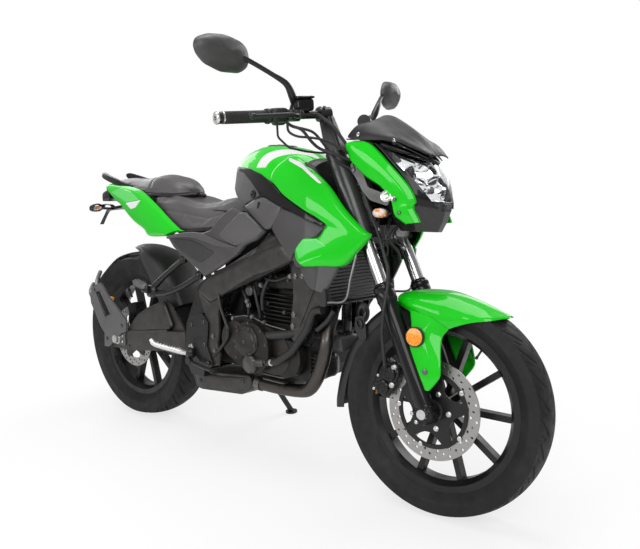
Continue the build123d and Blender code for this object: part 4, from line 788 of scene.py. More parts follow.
def make_floor():
    """A pale round floor that keeps the shadow and fades to plain white far out."""
    angle = np.linspace(0, 2 * np.pi, 96, endpoint=False)
    rings = np.array([0.5, 1.0, 2.0, 4.0, 8.0, 16.0])[:, None, None]
    points = (rings * np.stack([np.cos(angle), np.sin(angle), 0 * angle], -1)[None]).reshape(-1, 3)
    faces = strips(len(rings), 96, False, True) + [list(range(96))]
    mesh = bpy.data.meshes.new("floor")
    mesh.from_pydata((points - [0, 0, 0.0005]).tolist(), [], faces)
    floor = added("floor", mesh)
    finish = Finish("floor", (0.92, 0.92, 0.92), 0.9, specular=0.1)
    length = finish.node("ShaderNodeVectorMath", operation="LENGTH")
    finish.join(finish.place, length.inputs[0])
    fade = finish.node("ShaderNodeMapRange", interpolation_type="SMOOTHERSTEP")
    fade.inputs["From Min"].default_value = 1.0
    fade.inputs["From Max"].default_value = 2.6
    fade.inputs["To Min"].default_value = floor_whiteness
    finish.join(length.outputs["Value"], fade.inputs["Value"])
    path = finish.node("ShaderNodeLightPath")
    share = finish.maths("MULTIPLY", path.outputs["Is Camera Ray"], fade.outputs["Result"])
    glow = finish.node("ShaderNodeEmission")
    glow.inputs["Strength"].default_value = 1.0
    mixer = finish.node("ShaderNodeMixShader")
    finish.join(share, mixer.inputs["Fac"])
    finish.join(finish.shader.outputs["BSDF"], mixer.inputs[1])
    finish.join(glow.outputs["Emission"], mixer.inputs[2])
    finish.join(mixer.outputs["Shader"], finish.tree.nodes["Material Output"].inputs["Surface"])
    mesh.materials.append(finish.material)


make_world()
make_floor()
soft_lamp("front right box", (2.6, -2.6, 2.6), (0.2, 0, 0.5), (2.2, 2.2), 66)
soft_lamp("right strip", (-0.6, -3.0, 1.5), (-0.2, 0, 0.5), (2.6, 0.8), 30)
soft_lamp("overhead box", (0.0, 0.2, 3.2), (0.0, 0, 0.4), (3.0, 1.6), 58)
soft_lamp("left fill", (0.4, 3.0, 1.8), (0, 0, 0.5), (2.4, 1.6), 32)
soft_lamp("rear fill", (-3.0, 0.6, 1.8), (-0.2, 0, 0.6), (1.6, 1.6), 26)


# ---- CAD pieces that stay
# the main frame's own paint is on its skins; its leftover tubes and inner webs are satin black, a painted
# shade for the dark between them
for finish, names in ((satin_black, ("main_frame", "rear_subframe")), (frame_paint, ("swingarm",)),
        (engine_paint, ("crankcase", "cylinder_and_head")), (cover_paint, ("engine_covers",)),
        (black_plastic, ("air_box",)),
        (black_paint, ("fork_yokes", "handlebars", "headlight_bracket", "side_stand")),
        (wheel_paint, ("front_wheel_casting", "rear_wheel_casting")),
        (disc_steel, ("front_brake_disc", "rear_brake_disc")),
        (steel, ("front_axle", "rear_axle", "frame_bolts")),
        (dark_steel, ("rear_sprocket", "front_sprocket")), (caliper_paint, ("rear_caliper",)),
        (cable_rubber, ("control_cables", "coolant_hose"))):
    for name in names:
        node_mesh = frame["nodes"][name].data
        node_mesh.materials.clear()
        node_mesh.materials.append(finish.material)


# ---- bodywork skins
flank_skin = fitted({0.6: mm((82, 950), (88, 900), (95, 840), (112, 780), (150, 700)),
        0.72: mm((120, 965), (134, 900), (142, 850), (150, 780), (156, 700)),
        0.84: mm((140, 960), (150, 900), (160, 840), (164, 760), (164, 690)),
        0.93: mm((148, 945), (158, 890), (172, 820), (178, 740), (176, 640)),
        1.03: mm((156, 900), (172, 830), (190, 765), (194, 700), (188, 620), (176, 500)),
        1.14: mm((180, 850), (196, 800), (205, 750), (205, 690), (200, 620)),
        1.25: mm((200, 842), (210, 790), (214, 750), (212, 700), (206, 640))})
rear_skin = fitted({-0.165: mm((60, 900), (72, 880), (76, 850), (74, 800), (70, 740)),
        0.0: mm((84, 895), (96, 870), (102, 830), (100, 780), (96, 720)),
        0.12: mm((98, 880), (110, 850), (118, 810), (122, 760), (118, 710)),
        0.24: mm((114, 860), (132, 820), (142, 780), (146, 730), (142, 690)),
        0.4: mm((130, 850), (146, 800), (158, 750), (163, 700), (159, 650)),
        0.56: mm((134, 830), (150, 790), (164, 750), (172, 710), (168, 650), (156, 560)),
        0.72: mm((140, 810), (156, 780), (166, 750), (169, 710), (165, 660)),
        0.85: mm((150, 810), (158, 780), (160, 750), (159, 710), (158, 660))})


def front_skin(x, z):
    """The front flank, drawn in towards the fork ahead of the radiator."""
    return flank_skin(x, z) - 0.074 * np.clip((x - 1.0) / 0.177, 0, None) ** 1.3


def outside(skin, extra):
    """A skin moved outwards."""
    return lambda x, z: skin(x, z) + extra


# ---- tank and its panels
def make_tank():
    """Fuel tank: cross-sections along x, each a loop from the keel over shoulder and crest; the
    crest falls to the seat at the back and to the steering head at the front."""
    spine = mm((602, 862, 54, 900, 66, 936, 50, 953, 953), (622, 850, 64, 900, 80, 946, 62, 967, 970),
        (662, 836, 82, 895, 98, 957, 74, 985, 988), (720, 832, 108, 890, 124, 962, 86, 996, 1001),
        (780, 832, 122, 885, 138, 955, 96, 991, 998), (840, 832, 128, 880, 144, 938, 100, 976, 986),
        (880, 832, 126, 875, 141, 925, 96, 962, 974), (904, 834, 122, 870, 134, 912, 88, 948, 960))
    sections = []
    for x, keel, low, waist_z, waist, shoulder_z, shoulder, brow_z, top in spine:
        half = [(low, keel), (waist, waist_z), (shoulder * 1.22, shoulder_z), (shoulder * 0.72, brow_z)]
        loop = [(0.0, keel)] + half + [(0.0, top)] + [(-y, z) for y, z in half[::-1]]
        sections.append([(x, y, z) for y, z in loop])
    tank = piece("fuel_tank_shell", smooth_loft(sections, 44, 64), tank_paint, replaces=["fuel_tank"])
    paint_attribute(tank, "frame", "stripe", tank_decal_and_reflection)
    end = sections[-1]
    nose = [[(x, y * share, 0.9 + (z - 0.9) * share) for _, y, z in end] for x, share in ((0.9, 0.97),
            (0.9048, 1.004), (0.912, 1.0), (0.926, 0.95), (0.936, 0.86))]
    piece("tank_nose", smooth_loft(nose, 14, 64), black_plastic)
    cap = revolved(mm((-4, 46), (2, 47), (5, 44), (6, 36), (4, 34), (5, 20), (8, 18), (8, 2)),
        (0.735, 0, 0.998), (0.04, 0, 1), 48)
    piece("fuel_cap", cap, gloss_black)
    piece("fuel_cap_bolts", bolts(ring_places((0.735, 0, 1.003), (0.04, 0, 1), 0.04, 6), 0.0026, 0.002,
            axis=(0.04, 0, 1)), steel)


def ring_places(centre, axis, radius, count, start=0.0):
    """Evenly spaced places on a circle about an axis."""
    side, over = basis(axis)
    angle = start + np.arange(count) * 2 * np.pi / count
    return np.asarray(centre, float) + radius * (np.cos(angle)[:, None] * side + np.sin(angle)[:, None]
        * over)


def tank_decal_and_reflection(x, y, z):
    """How far each point lies from the middle line of the white band, a decal with a painted reflection
    over it, above its foot and off the crest."""
    return np.column_stack([x - 0.838 + 1.1 * (np.abs(y) - 0.062), z - 0.93, np.abs(y) - 0.012])


def paint_attribute(thing, body, name, measure):
    """Keep with each point its measures on the upright bike."""
    upright = unplace(mesh_points(thing.data), body)
    layer = thing.data.attributes.new(name, "FLOAT_VECTOR", "POINT")
    layer.data.foreach_set("vector", np.ascontiguousarray(measure(*upright.T), np.float32).ravel())


def unplace(points, body="frame"):
    """Points of the parked bike back on the upright one."""
    upright = (np.asarray(points, float) - rear_axle_at_rest) @ lean + rear_axle
    if body in turning_bodies:
        upright = steer_foot + turn(upright - steer_foot, steer_axis, -steer_angle)
    return upright


def striped_paint(name, base, second, attribute, half):
    """Lacquered paint with a second colour inside the band, which is partly a decal and partly a painted
    reflection: the least of half its width less the distance from its middle line, the height over its foot
    and the way off the crest."""
    finish = clear_coated(name, base, base)
    pale_area = finish.node("ShaderNodeAttribute", attribute_name=attribute)
    measures = finish.node("ShaderNodeSeparateXYZ", Vector=pale_area.outputs["Vector"])
    away = finish.maths("ABSOLUTE", measures.outputs["X"])
    amount = finish.maths("SUBTRACT", half, away)
    for side in ("Y", "Z"):
        amount = finish.maths("MINIMUM", amount, measures.outputs[side])
    edge = finish.ramp(amount, [(0.0, base), (0.0008, second)])
    finish.join(edge, finish.shader.inputs["Base Color"])
    return finish


# white band on the tank top: partly decal, partly painted reflection
tank_paint = striped_paint("tank paint", (0.004, 0.6, 0.006), (0.8, 0.8, 0.8), "stripe", 0.028)
slot_of[tank_paint] = "green_paint"
make_tank()

# green shroud: from the tank's flank down over the wedge's tip and back along the lower edge
shroud_outer = mm((838, 922), (872, 948), (912, 962), (957, 946), (1016, 910), (1062, 872), (1114, 811),
    (1166, 761), (1182, 747), (1151, 705), (1113, 665), (1054, 660), (987, 654))
shroud_inner = mm((830, 892), (862, 874), (893, 853), (934, 834), (975, 817), (1024, 797), (1053, 781),
    (1065, 773), (1059, 763), (1041, 739), (996, 737), (962, 704), (966, 676))
pair("shroud_shells", band(shroud_outer, shroud_inner, outside(front_skin, 0.003), roll=0.01, crown=0.004,
        steps=7, across=20), green_paint, replaces=["tank_shrouds"])
# paler green facet low on the shroud's front: painted highlight
lit_facet = mm((990, 662), (972, 703), (1000, 733), (1044, 736), (1083, 713), (1058, 688))
pair("shroud_light_facets", patch(lit_facet, (1.03, 0.698), outside(front_skin, 0.0068), 0.002, 0.002,
        corner=0.003), green_painted_highlight)

# dark lining behind the shroud, and a painted highlight in white along its upper edge
shroud_inside = mm((925, 940), (957, 934), (1010, 898), (1055, 858), (1105, 800), (1152, 757), (1165, 746),
    (1140, 712), (1102, 676), (1054, 671), (978, 668), (930, 800))
pair("shroud_liners", patch(shroud_inside, (1.04, 0.78), outside(front_skin, -0.0055), 0.0015, 0.002,
        corner=0.006), black_plastic)
# white along the upper rim: painted highlight where the rim faces the lights
shroud_rim_highlight = mm((908, 957), (957, 943), (1016, 907), (1042, 886), (1036, 884), (1010, 902), (952, 935),
    (906, 949))
pair("shroud_white_flashes", patch(shroud_rim_highlight, (0.98, 0.922), outside(front_skin, 0.0062), 0.0015, 0.001,
        0.0005, corner=0.003), white_print_and_highlight)

# black gloss wedge over the knee, its tip under the green shroud
wedge = mm((622, 938), (704, 931), (776, 914), (842, 885), (893, 852), (975, 816), (1024, 797), (1065, 774),
    (1056, 767), (1022, 783), (960, 801), (898, 817), (804, 846), (707, 818), (640, 846))
pair("wedge_panels", patch(wedge, (0.8, 0.868), front_skin, 0.004, 0.008, 0.002, corner=0.004), gloss_black,
    replaces=["knee_panels"])
knee_face = mm((634, 926), (684, 917), (728, 894), (776, 860), (788, 848), (757, 838), (706, 820),
    (648, 848), (630, 870))
pair("knee_faces", patch(knee_face, (0.695, 0.868), outside(front_skin, 0.0035), 0.002, 0.003, 0.001,
        corner=0.005), grey_plastic)
knee_round = revolved(mm((-4, 13), (1, 13), (3, 11), (1, 9), (-1, 1)),
    (0.757, front_skin(0.757, 0.853) + 0.005, 0.854), (-0.2, 1, 0.25), 32)
pair("knee_rounds", knee_round, gloss_black)

# charcoal panel below the wedge
charcoal_top = mm((886, 818), (930, 807), (975, 796), (1022, 783), (1056, 766), (1051, 756))
charcoal_low = mm((852, 755), (880, 727), (912, 700), (940, 672), (960, 700), (1040, 737))
pair("charcoal_panels", band(charcoal_top, charcoal_low, outside(front_skin, -0.001), roll=0.006,
        crown=0.004), charcoal_plastic)
lower_front = mm((972, 700), (996, 728), (1040, 729), (1051, 698), (1047, 666))
lower_back = mm((912, 700), (930, 690), (948, 668), (958, 655), (975, 650))
pair("charcoal_lower_panels", band(lower_front, lower_back, outside(front_skin, -0.006), roll=0.004),
    charcoal_plastic)

# frame cover between seat, wedge and charcoal panel, with its slot
frame_cover = mm((706, 816), (757, 838), (804, 846), (898, 816), (884, 788), (852, 755), (830, 750),
    (769, 780), (721, 807))
pair("frame_covers", patch(frame_cover, (0.81, 0.8), outside(front_skin, 0.004), 0.004, 0.006, 0.006,
        corner=0.008), grey_plastic)
slot = tube([(0.792, front_skin(0.79, 0.82) + 0.0085, 0.812), (0.797, front_skin(0.79, 0.82) + 0.0085,
        0.83)], 0.0045, 10, 10)
pair("frame_cover_slots", slot, gloss_black)

# lower shroud: dark cheek, and beside the radiator a facet in paler grey, a painted highlight
cheek_front = mm((1096, 663), (1084, 639), (1069, 614), (1052, 589), (1042, 586), (1032, 588))
cheek_back = mm((1035, 667), (1032, 647), (1029, 625), (1025, 605), (1022, 597), (1020, 593))
pair("lower_shroud_shells", band(cheek_front, cheek_back, outside(front_skin, -0.008), roll=0.006,
        crown=0.003), grey_plastic, replaces=["lower_shrouds"])
hanger_front = mm((1037, 667), (1034, 647), (1032, 625), (1028, 605), (1024, 595), (1015, 589))
hanger_back = mm((965, 660), (968, 648), (974, 636), (984, 620), (996, 606), (1005, 596))
pair("lower_shroud_cheeks", band(hanger_front, hanger_back, outside(front_skin, -0.014), roll=0.006,
        crown=0.002), charcoal_plastic)

# dark filler between the tank's front and the fork
filler_top = mm((905, 945), (940, 947), (975, 940), (1005, 920), (1026, 894))
filler_low = mm((905, 850), (935, 850), (970, 852), (1000, 852), (1026, 850))
pair("tank_front_fillers", band(filler_top, filler_low, lambda x, z: np.minimum(0.12 + 0.5 * (x - 0.905),
        0.15), roll=0.01, crown=0.008), black_plastic)

# ---- side covers
side_cover = mm((338, 706), (400, 716), (483, 727), (548, 730), (590, 742), (626, 780), (668, 812),
    (716, 799), (769, 780), (830, 747), (797, 719), (745, 700), (700, 667), (610, 620), (536, 586),
    (507, 606), (443, 638), (375, 672))


def side_cover_skin(x, z):
    """The rear skin with two facets: a raised ridge from the seat's corner down to the front,
    and a flat fall-off below it."""
    line = 0.727 - 0.16 * np.clip(x - 0.5, 0, 1)
    above = np.clip((z - line) / 0.02, -1, 1)
    return rear_skin(x, z) + 0.004 + 0.006 * np.clip(above, 0, 1) - 0.004 * np.clip(-above, 0, 1)


pair("side_cover_shells", patch(side_cover, (0.585, 0.69), side_cover_skin, 0.004, 0.008, 0.002, rings=22,
        count=160, corner=0.008), charcoal_plastic, replaces=["side_covers"])
inset = mm((377, 695), (414, 703), (483, 704), (527, 695), (606, 671), (576, 654), (532, 632), (479, 644),
    (423, 667))
pair("side_cover_meshes", patch(inset, (0.5, 0.675), outside(rear_skin, 0.004), 0.003, 0.003, corner=0.012),
    mesh_plastic)
arch_top = mm((345, 707), (420, 722), (500, 730), (570, 724), (640, 708), (715, 694))
arch_low = mm((352, 700), (420, 708), (492, 712), (550, 705), (620, 692), (700, 690))
pair("side_cover_arches", band(arch_top, arch_low, outside(rear_skin, 0.012), 0.006, 0.004), grey_plastic)
# paler grey on the upper front facet of the side cover: painted highlight where it faces the lights above
side_lit_facet = mm((712, 797), (735, 800), (769, 781), (826, 748), (795, 722), (708, 697), (672, 708),
    (632, 727), (672, 762))
pair("side_cover_pale_panels", patch(side_lit_facet, (0.72, 0.75), outside(rear_skin, 0.013), 0.005, 0.005,
        0.001, corner=0.008), grey_plastic)

# ---- tail cowl
cowl_top = mm((-158, 880), (-110, 886), (-15, 878), (70, 868), (137, 852), (251, 806), (338, 764),
    (414, 729))
cowl_low = mm((-125, 858), (-90, 836), (-11, 804), (60, 766), (115, 742), (178, 722), (214, 702),
    (330, 707))
pair("tail_cowl_shells", band(cowl_top, cowl_low, outside(rear_skin, 0.002), roll=0.01, crown=0.007,
        steps=9), green_paint, replaces=["tail_cowl"])
# paler green and white patches on the cowl: painted highlights where it faces the lights
pale_area = mm((-88, 852), (-20, 868), (60, 858), (140, 826), (48, 816))
pair("tail_flashes", patch(pale_area, (0.03, 0.85), outside(rear_skin, 0.0098), 0.002, 0.002, corner=0.004),
    green_painted_highlight)
tail_white_highlight = mm((46, 814), (152, 826), (126, 799), (90, 793))
pair("tail_white_flashes", patch(tail_white_highlight, (0.1, 0.806), outside(rear_skin, 0.0098), 0.002, 0.001,
        corner=0.004), white_print_and_highlight)
bridge = [[(x, y, z + 0.012 * (1 - (y / 0.075) ** 2)) for y in np.linspace(-0.07, 0.07, 9)]
    + [(x, y, z - 0.012) for y in np.linspace(0.07, -0.07, 9)] for x, z in mm((-155, 868), (-120, 872),
        (-85, 872))]
piece("tail_bridge", smooth_loft(bridge, 10, 40, False), black_plastic)


# ---- headlight
lens_edge = mm((1173, -100, 980), (1198, -98, 957), (1230, -94, 924), (1266, -86, 893), (1294, -73, 860),
    (1309, -58, 836), (1318, -42, 817))
lens_nose = mm((1290, 0, 936), (1306, 0, 914), (1318, 0, 890), (1324, 0, 868), (1327, 0, 848),
    (1328, 0, 830), (1327, 0, 812))


def lens_grid(rows, columns, inward=0.0):
    """Lamp face: from each edge point over the nose point to the mirrored edge point, x along
    1 - |a|^2.6 and z along 1 - |a|^1.7 for a from -1 to 1."""
    edge, nose = curve(lens_edge, rows)[:, None], curve(lens_nose, rows)[:, None]
    a = np.linspace(-1, 1, columns)[None]
    x = edge[..., 0] + (nose[..., 0] - edge[..., 0]) * (1 - np.abs(a) ** 2.6)
    z = edge[..., 2] + (nose[..., 2] - edge[..., 2]) * (1 - np.abs(a) ** 1.7)
    y = -edge[..., 1] * a
    return np.stack([x - inward * (1.0 - 0.3 * np.abs(a)), y * (1 - inward * 2.2), z], -1)


def reflector_grid(rows, columns):
    """The lamp face moved in, with parabolic bowls pressed into it."""
    grid = lens_grid(rows, columns, 0.02)
    for y, z, radius, depth in mm((0, 868, 42, 50), (52, 905, 30, 34), (-52, 905, 30, 34), (0, 925, 20, 20),
            (46, 850, 20, 22), (-46, 850, 20, 22)):
        away = ((grid[..., 1] - y) ** 2 + (grid[..., 2] - z) ** 2) / radius ** 2
        grid[..., 0] -= depth * np.clip(1 - away, 0, 1)
    return grid


outer_lens = lens_grid(28, 48)
piece("headlight_glass", shell(outer_lens, outer_lens - [0.0022, 0, 0]), clear_lens, "steering",
    ["headlight_lens"])
bowl = reflector_grid(26, 46)
piece("headlight_reflectors", shell(bowl, bowl - [0.004, 0, 0]), reflector_chrome, "steering", sharp=9)
small_bulb = mm((0, 1), (0, 6), (12, 6), (14, 2))
bulbs = [revolved(mm((0, 1), (0, 11), (18, 10), (22, 7), (24, 2)), (1.262, 0, 0.868), (1, 0, 0), 24)]
bulbs += [revolved(small_bulb, (1.245, y, 0.905), (1, 0, 0), 16) for y in (0.052, -0.052)]
piece("headlight_bulb", joined(*bulbs), dark_steel, "steering", slot="chrome")
rim_out = mm((1158, -106, 988), (1182, -105, 968), (1212, -102, 936), (1246, -98, 902), (1268, -95, 872),
    (1280, -91, 848), (1280, -80, 826))
rim_low = mm((1150, -96, 978), (1172, -95, 952), (1200, -92, 920), (1232, -88, 886), (1252, -84, 858),
    (1262, -80, 836), (1264, -70, 818))
rim_high = [(x + 0.004, y - 0.003, z + 0.002) for x, y, z in lens_edge]
pair("headlight_rims", sheet([rim_high, rim_out, rim_low], 6, 6, 0.004, (0.3, -1, 0)), gloss_black,
    "steering")
brow_low = full_width([[knot] for knot in mm((1173, -100, 981), (1210, -88, 967), (1242, -70, 956),
        (1274, -36, 943), (1293, 0, 934))])
brow_low = np.concatenate(brow_low)
brow = [brow_low, brow_low + [0.002, 0, 0.009], brow_low + [-0.016, 0, 0.02], brow_low + [-0.05, 0, 0.022]]
piece("headlight_brow", sheet(brow, 6, 4, 0.004, (0.5, 0, 1)), gloss_black, "steering")
shell_sections = []
for x, half_top, top, half_low, low in mm((1150, 70, 975, 45, 835), (1175, 90, 978, 52, 812),
        (1215, 86, 958, 52, 786), (1250, 60, 935, 42, 775)):
    half = [(half_top * 0.8, top), (half_top, top - 0.02),
        ((half_top + half_low) / 2 + 0.006, (top + low) / 2), (half_low, low + 0.012),
        (half_low * 0.7, low)]
    shell_sections.append([(x, y, z) for y, z in half] + [(x, -y, z) for y, z in half[::-1]])
piece("headlight_shell", smooth_loft(shell_sections, 14, 48), black_plastic, "steering",
    ["headlight_housing"])
chin_levels = []
for z, front in ((0.838, [(1190, 80), (1262, 93), (1294, 74), (1319, 42), (1324, 24)]),
        (0.812, [(1190, 66), (1266, 84), (1300, 52), (1325, 26), (1329, 16)]),
        (0.784, [(1200, 50), (1266, 66), (1296, 36), (1316, 20), (1321, 14)]),
        (0.757, [(1206, 34), (1262, 48), (1284, 24), (1302, 16), (1308, 12)])):
    half = [(x / 1000, -y / 1000, z) for x, y in front]
    chin_levels.append(half + [(x, -y, z) for x, y, z in half[::-1]])
piece("headlight_chin", loft(chin_levels), charcoal_gloss, "steering", bevel=0.0015, sharp=14)
chin_face = mm((-13, 0), (13, 0), (16, 34), (10, 44), (-10, 44), (-16, 34))
piece("headlight_chin_face", slab_between(chin_face, (1.3065, 0, 0.764), (1, 0, -0.35), (0.35, 0, 1),
        0.004), gloss_black, "steering", bevel=0.001)

# green blades beside the lamp, folded along the middle
blade_top = mm((1077, -119, 990), (1105, -120, 993), (1150, -120, 986), (1208, -115, 934),
    (1264, -105, 876), (1284, -99, 838), (1278, -98, 820), (1296, -92, 783))
blade_fold = mm((1079, -123, 976), (1104, -126, 966), (1150, -127, 934), (1198, -122, 900),
    (1234, -115, 864), (1252, -109, 836), (1258, -107, 812), (1278, -97, 780))
blade_low = mm((1081, -118, 962), (1095, -119, 942), (1142, -118, 903), (1188, -115, 876),
    (1216, -111, 846), (1224, -109, 826), (1232, -107, 800), (1262, -99, 778))
blade_edge = [(x - 0.006, y + 0.01, z - 0.003) for x, y, z in blade_low]
rounded_top = [(x + 0.001, y + 0.008, z + 0.001) for x, y, z in blade_top]
blade_mid = [tuple(0.5 * (np.array(a) + np.array(b)) + [0, -0.0035, 0]) for a, b in zip(blade_top,
        blade_fold)]
pair("lamp_side_blades", sheet([rounded_top, blade_top, blade_mid, blade_fold, blade_low, blade_edge], 6, 4,
        0.0035, to_right, True, False), green_paint, "steering", ["headlight_side_panels"], sharp=24)
pair("lamp_blade_bolts", joined(bolts(mm((1244, -108, 806), (1232, -113, 840)), 0.0055, 0.003),
        bolts(mm((1092, -104, 918)), 0.007, 0.004)), dark_steel, "steering")
lamp_disc = joined(revolved(mm((-14, 2), (-14, 13), (0, 16.5), (3, 15.5), (4, 12), (1, 10), (1, 8), (5, 6),
        (6, 1)), (1.206, -0.112, 0.848), (0.25, -1, 0.1), 32),
    rounded_box((1.228, -0.109, 0.842), (0.015, 0.01, 0.013), 5))
pair("side_lamps", lamp_disc, silver, "steering")
stay = mm((1082, 938), (1104, 942), (1120, 918), (1142, 872), (1188, 858), (1212, 836), (1206, 822),
    (1150, 836), (1124, 860), (1098, 900), (1080, 918))
pair("lamp_stays", plate(rounded(stay, 0.008), -0.098, -0.104), charcoal_gloss, "steering", bevel=0.001)
pair("indicator_cases", joined(tube(mm((1186, -60, 808), (1186, -94, 804)), 0.007, 8, 12),
        rounded_box((1.186, -0.1, 0.804), (0.044, 0.016, 0.028), 2.6)), black_plastic, "steering",
    ["front_indicators"])
pair("indicator_lenses", rounded_box((1.186, -0.11, 0.804), (0.041, 0.028, 0.026), 2.3, 17, 32),
    smoked_amber, "steering")

# ---- visor
visor_rails = full_width([mm((1082, -121, 1004), (1110, -122, 997), (1154, -120, 995), (1223, -111, 992),
        (1256, -95, 980), (1300, -46, 957)), mm((1084, -120, 1012), (1112, -121, 1010), (1154, -118, 1012),
        (1220, -106, 1003), (1252, -88, 988), (1298, -42, 960)), mm((1098, -112, 1032), (1118, -110, 1034),
        (1146, -104, 1034), (1200, -88, 1018), (1240, -68, 999), (1294, -32, 963)),
        mm((1106, -96, 1042), (1124, -90, 1046), (1144, -80, 1049), (1192, -66, 1030), (1236, -50, 1006),
        (1291, -24, 963)), mm((1108, -66, 1044), (1124, -60, 1052), (1142, -54, 1059), (1194, -46, 1034),
        (1236, -36, 1009), (1289, -16, 962)), mm((1110, -30, 1050), (1126, -28, 1062), (1142, -27, 1070),
        (1196, -22, 1041), (1238, -16, 1012), (1288, -8, 961)), mm((1112, 0, 1052), (1126, 0, 1065),
        (1143, 0, 1073), (1197, 0, 1044), (1239, 0, 1014), (1287, 0, 960))])
piece("visor_screen", sheet(visor_rails, 8, 5, 0.0035, (0, 0, 1)), visor_plastic, "steering", ["visor"],
    bevel=0.0008)
under = [[(x - 0.012, y * 0.94, z - 0.01) for x, y, z in knots] for knots in (visor_rails[1],
        visor_rails[3])]
under_ends = [np.array(under[0]), np.array(under[0]) * [1, 0.45, 1] + [0, 0, 0.008]]
centre = [(x, 0, z + 0.012) for x, y, z in under[0]]
piece("visor_lining", sheet(full_width([under_ends[0], under_ends[1], centre]), 6, 5, 0.003, (0, 0, 1)),
    black_plastic, "steering")
pair("visor_bolts", joined(bolts(mm((1117, -123, 1010)), 0.006, 0.003, axis=(0, -1, 0.25)),
        bolts(mm((1222, -108, 992)), 0.005, 0.006, axis=(0, -1, 0.3))), steel, "steering")

# ---- instruments
dash = []
for x, wide, narrow, low, middle, top in mm((1070, 60, 46, 1006, 1018, 1024),
        (1100, 68, 52, 1004, 1024, 1033), (1136, 56, 42, 1006, 1028, 1036)):
    half = [(wide, low), (wide, middle), (narrow, top)]
    dash.append([(x, -y, z) for y, z in half] + [(x, y, z) for y, z in half[::-1]])
piece("instrument_case", smooth_loft(dash, 12, 40, False), black_plastic, "steering",
    ["instrument_cluster"])
piece("instrument_window", slab_between(mm((-45, -18), (45, -18), (48, 0), (40, 20), (-40, 20), (-48, 0)),
        (1.098, 0, 1.03), (-0.12, 0, 1), (1, 0, 0.12), 0.003), dial_face, "steering", bevel=0.001)

# ---- bars, grips and controls
bar_inner, bar_end = np.array([0.986, -0.099, 1.073]), np.array([0.864, -0.401, 1.035])
bar_way = unit(bar_inner - bar_end)
bar_forward = unit(np.array([1.0, 0, 0]) - bar_way * bar_way[0])
bar_up = np.cross(bar_way, bar_forward)
if bar_up[2] < 0:
    bar_up = -bar_up


def on_bar(along, forward=0.0, up=0.0):
    """A place by the right bar: distance inwards from its end, forward and up from its middle."""
    return bar_end + bar_way * along + bar_forward * forward + bar_up * up


ribs = [(0.0, 0.016)]
for ring in range(26):
    start = 0.002 + ring * 0.0045
    ribs += [(start, 0.0165), (start + 0.0028, 0.0165), (start + 0.0031, 0.0154), (start + 0.0042, 0.0154)]
ribs += mm((119, 20), (122, 20.6), (127, 20.6), (128, 12), (0, 12))
pair("grips", lathe_ring(ribs, on_bar(0.0245), bar_way, 40), grip_rubber, "steering", ["hand_grips"],
    sharp=40)
pair("bar_ends", joined(lathe_ring(mm((-2, 6), (-2, 15), (1, 16.6), (5, 16.6), (6, 6)), on_bar(0), bar_way,
        40), lathe_ring(mm((17, 12), (17, 16.8), (21, 16.8), (21, 12)), on_bar(0), bar_way, 40)), silver,
    "steering")
box_axes = np.column_stack([bar_way, bar_forward, bar_up]).T


def bar_box(place_on_bar, size, power, rows=13, columns=24):
    """A block by the right bar, along it."""
    return rounded_box(on_bar(*place_on_bar), size, power, rows, columns, axes=box_axes)


switch = joined(bar_box((0.178, 0.004, 0.001), (0.05, 0.046, 0.04), 5, 17, 32),
    bar_box((0.186, -0.01, -0.012), (0.034, 0.03, 0.026), 5),
    bar_box((0.206, 0.016, 0.0), (0.022, 0.05, 0.03), 4))
perch = joined(lathe_ring(mm((-17, 11.5), (-17, 16.5), (17, 16.5), (17, 11.5)), on_bar(0.226), bar_way, 32),
    bar_box((0.222, 0.03, 0.002), (0.032, 0.04, 0.024), 4),
    revolved(mm((-11, 1), (-11, 10), (11, 10), (11, 1)), on_bar(0.214, 0.046, 0.002), bar_up, 24))
pair("switch_boxes", joined(switch, perch), black_plastic, "steering", ["hand_controls"])
lever_path = [on_bar(0.216, 0.046), on_bar(0.196, 0.06), on_bar(0.168, 0.068), on_bar(0.12, 0.066),
    on_bar(0.08, 0.062), on_bar(0.066, 0.061)]
lever_radius = np.interp(np.linspace(0, 1, 44), [0, 0.1, 0.4, 0.86, 0.93, 0.97, 1],
    [0.008, 0.0075, 0.0062, 0.0052, 0.008, 0.0082, 0.003])
pair("levers", tube(lever_path, lever_radius, 44, 16), black_paint, "steering")
piece("switch_buttons", joined(bar_box((0.172, -0.016, 0.01), (0.012, 0.01, 0.01), 4),
        bar_box((0.188, -0.014, 0.014), (0.01, 0.01, 0.008), 4)), red_patch, "steering")
reservoir = joined(bar_box((0.252, 0.014, 0.026), (0.052, 0.04, 0.034), 6, 17, 32),
    bar_box((0.252, 0.014, 0.046), (0.056, 0.044, 0.008), 7, 9, 32))
piece("brake_reservoir", reservoir, gloss_black, "steering")
piece("reservoir_screws", bolts([on_bar(0.236, 0.014, 0.05), on_bar(0.268, 0.014, 0.05)], 0.0035, 0.0015,
        axis=bar_up), steel, "steering")
bridge_bolts = [on_bar(0.32, f, 0.019) for f in (-0.012, 0.012)]
pair("bar_clamp_bolts", bolts(bridge_bolts, 0.0045, 0.004, axis=bar_up), dark_steel, "steering")

# ---- mirrors
mirror_middle = np.array([0.886, -0.397, 1.197])


def mirror_outline(count):
    """Outline of a mirror head, (outwards, up), its point outwards."""
    corners = mm((96, 6), (88, 24), (50, 40), (0, 47), (-52, 40), (-80, 26), (-94, 0), (-88, -22),
        (-62, -40), (0, -46), (60, -34), (88, -14))
    return polyline(rounded(corners, 0.012), count, closed=True)


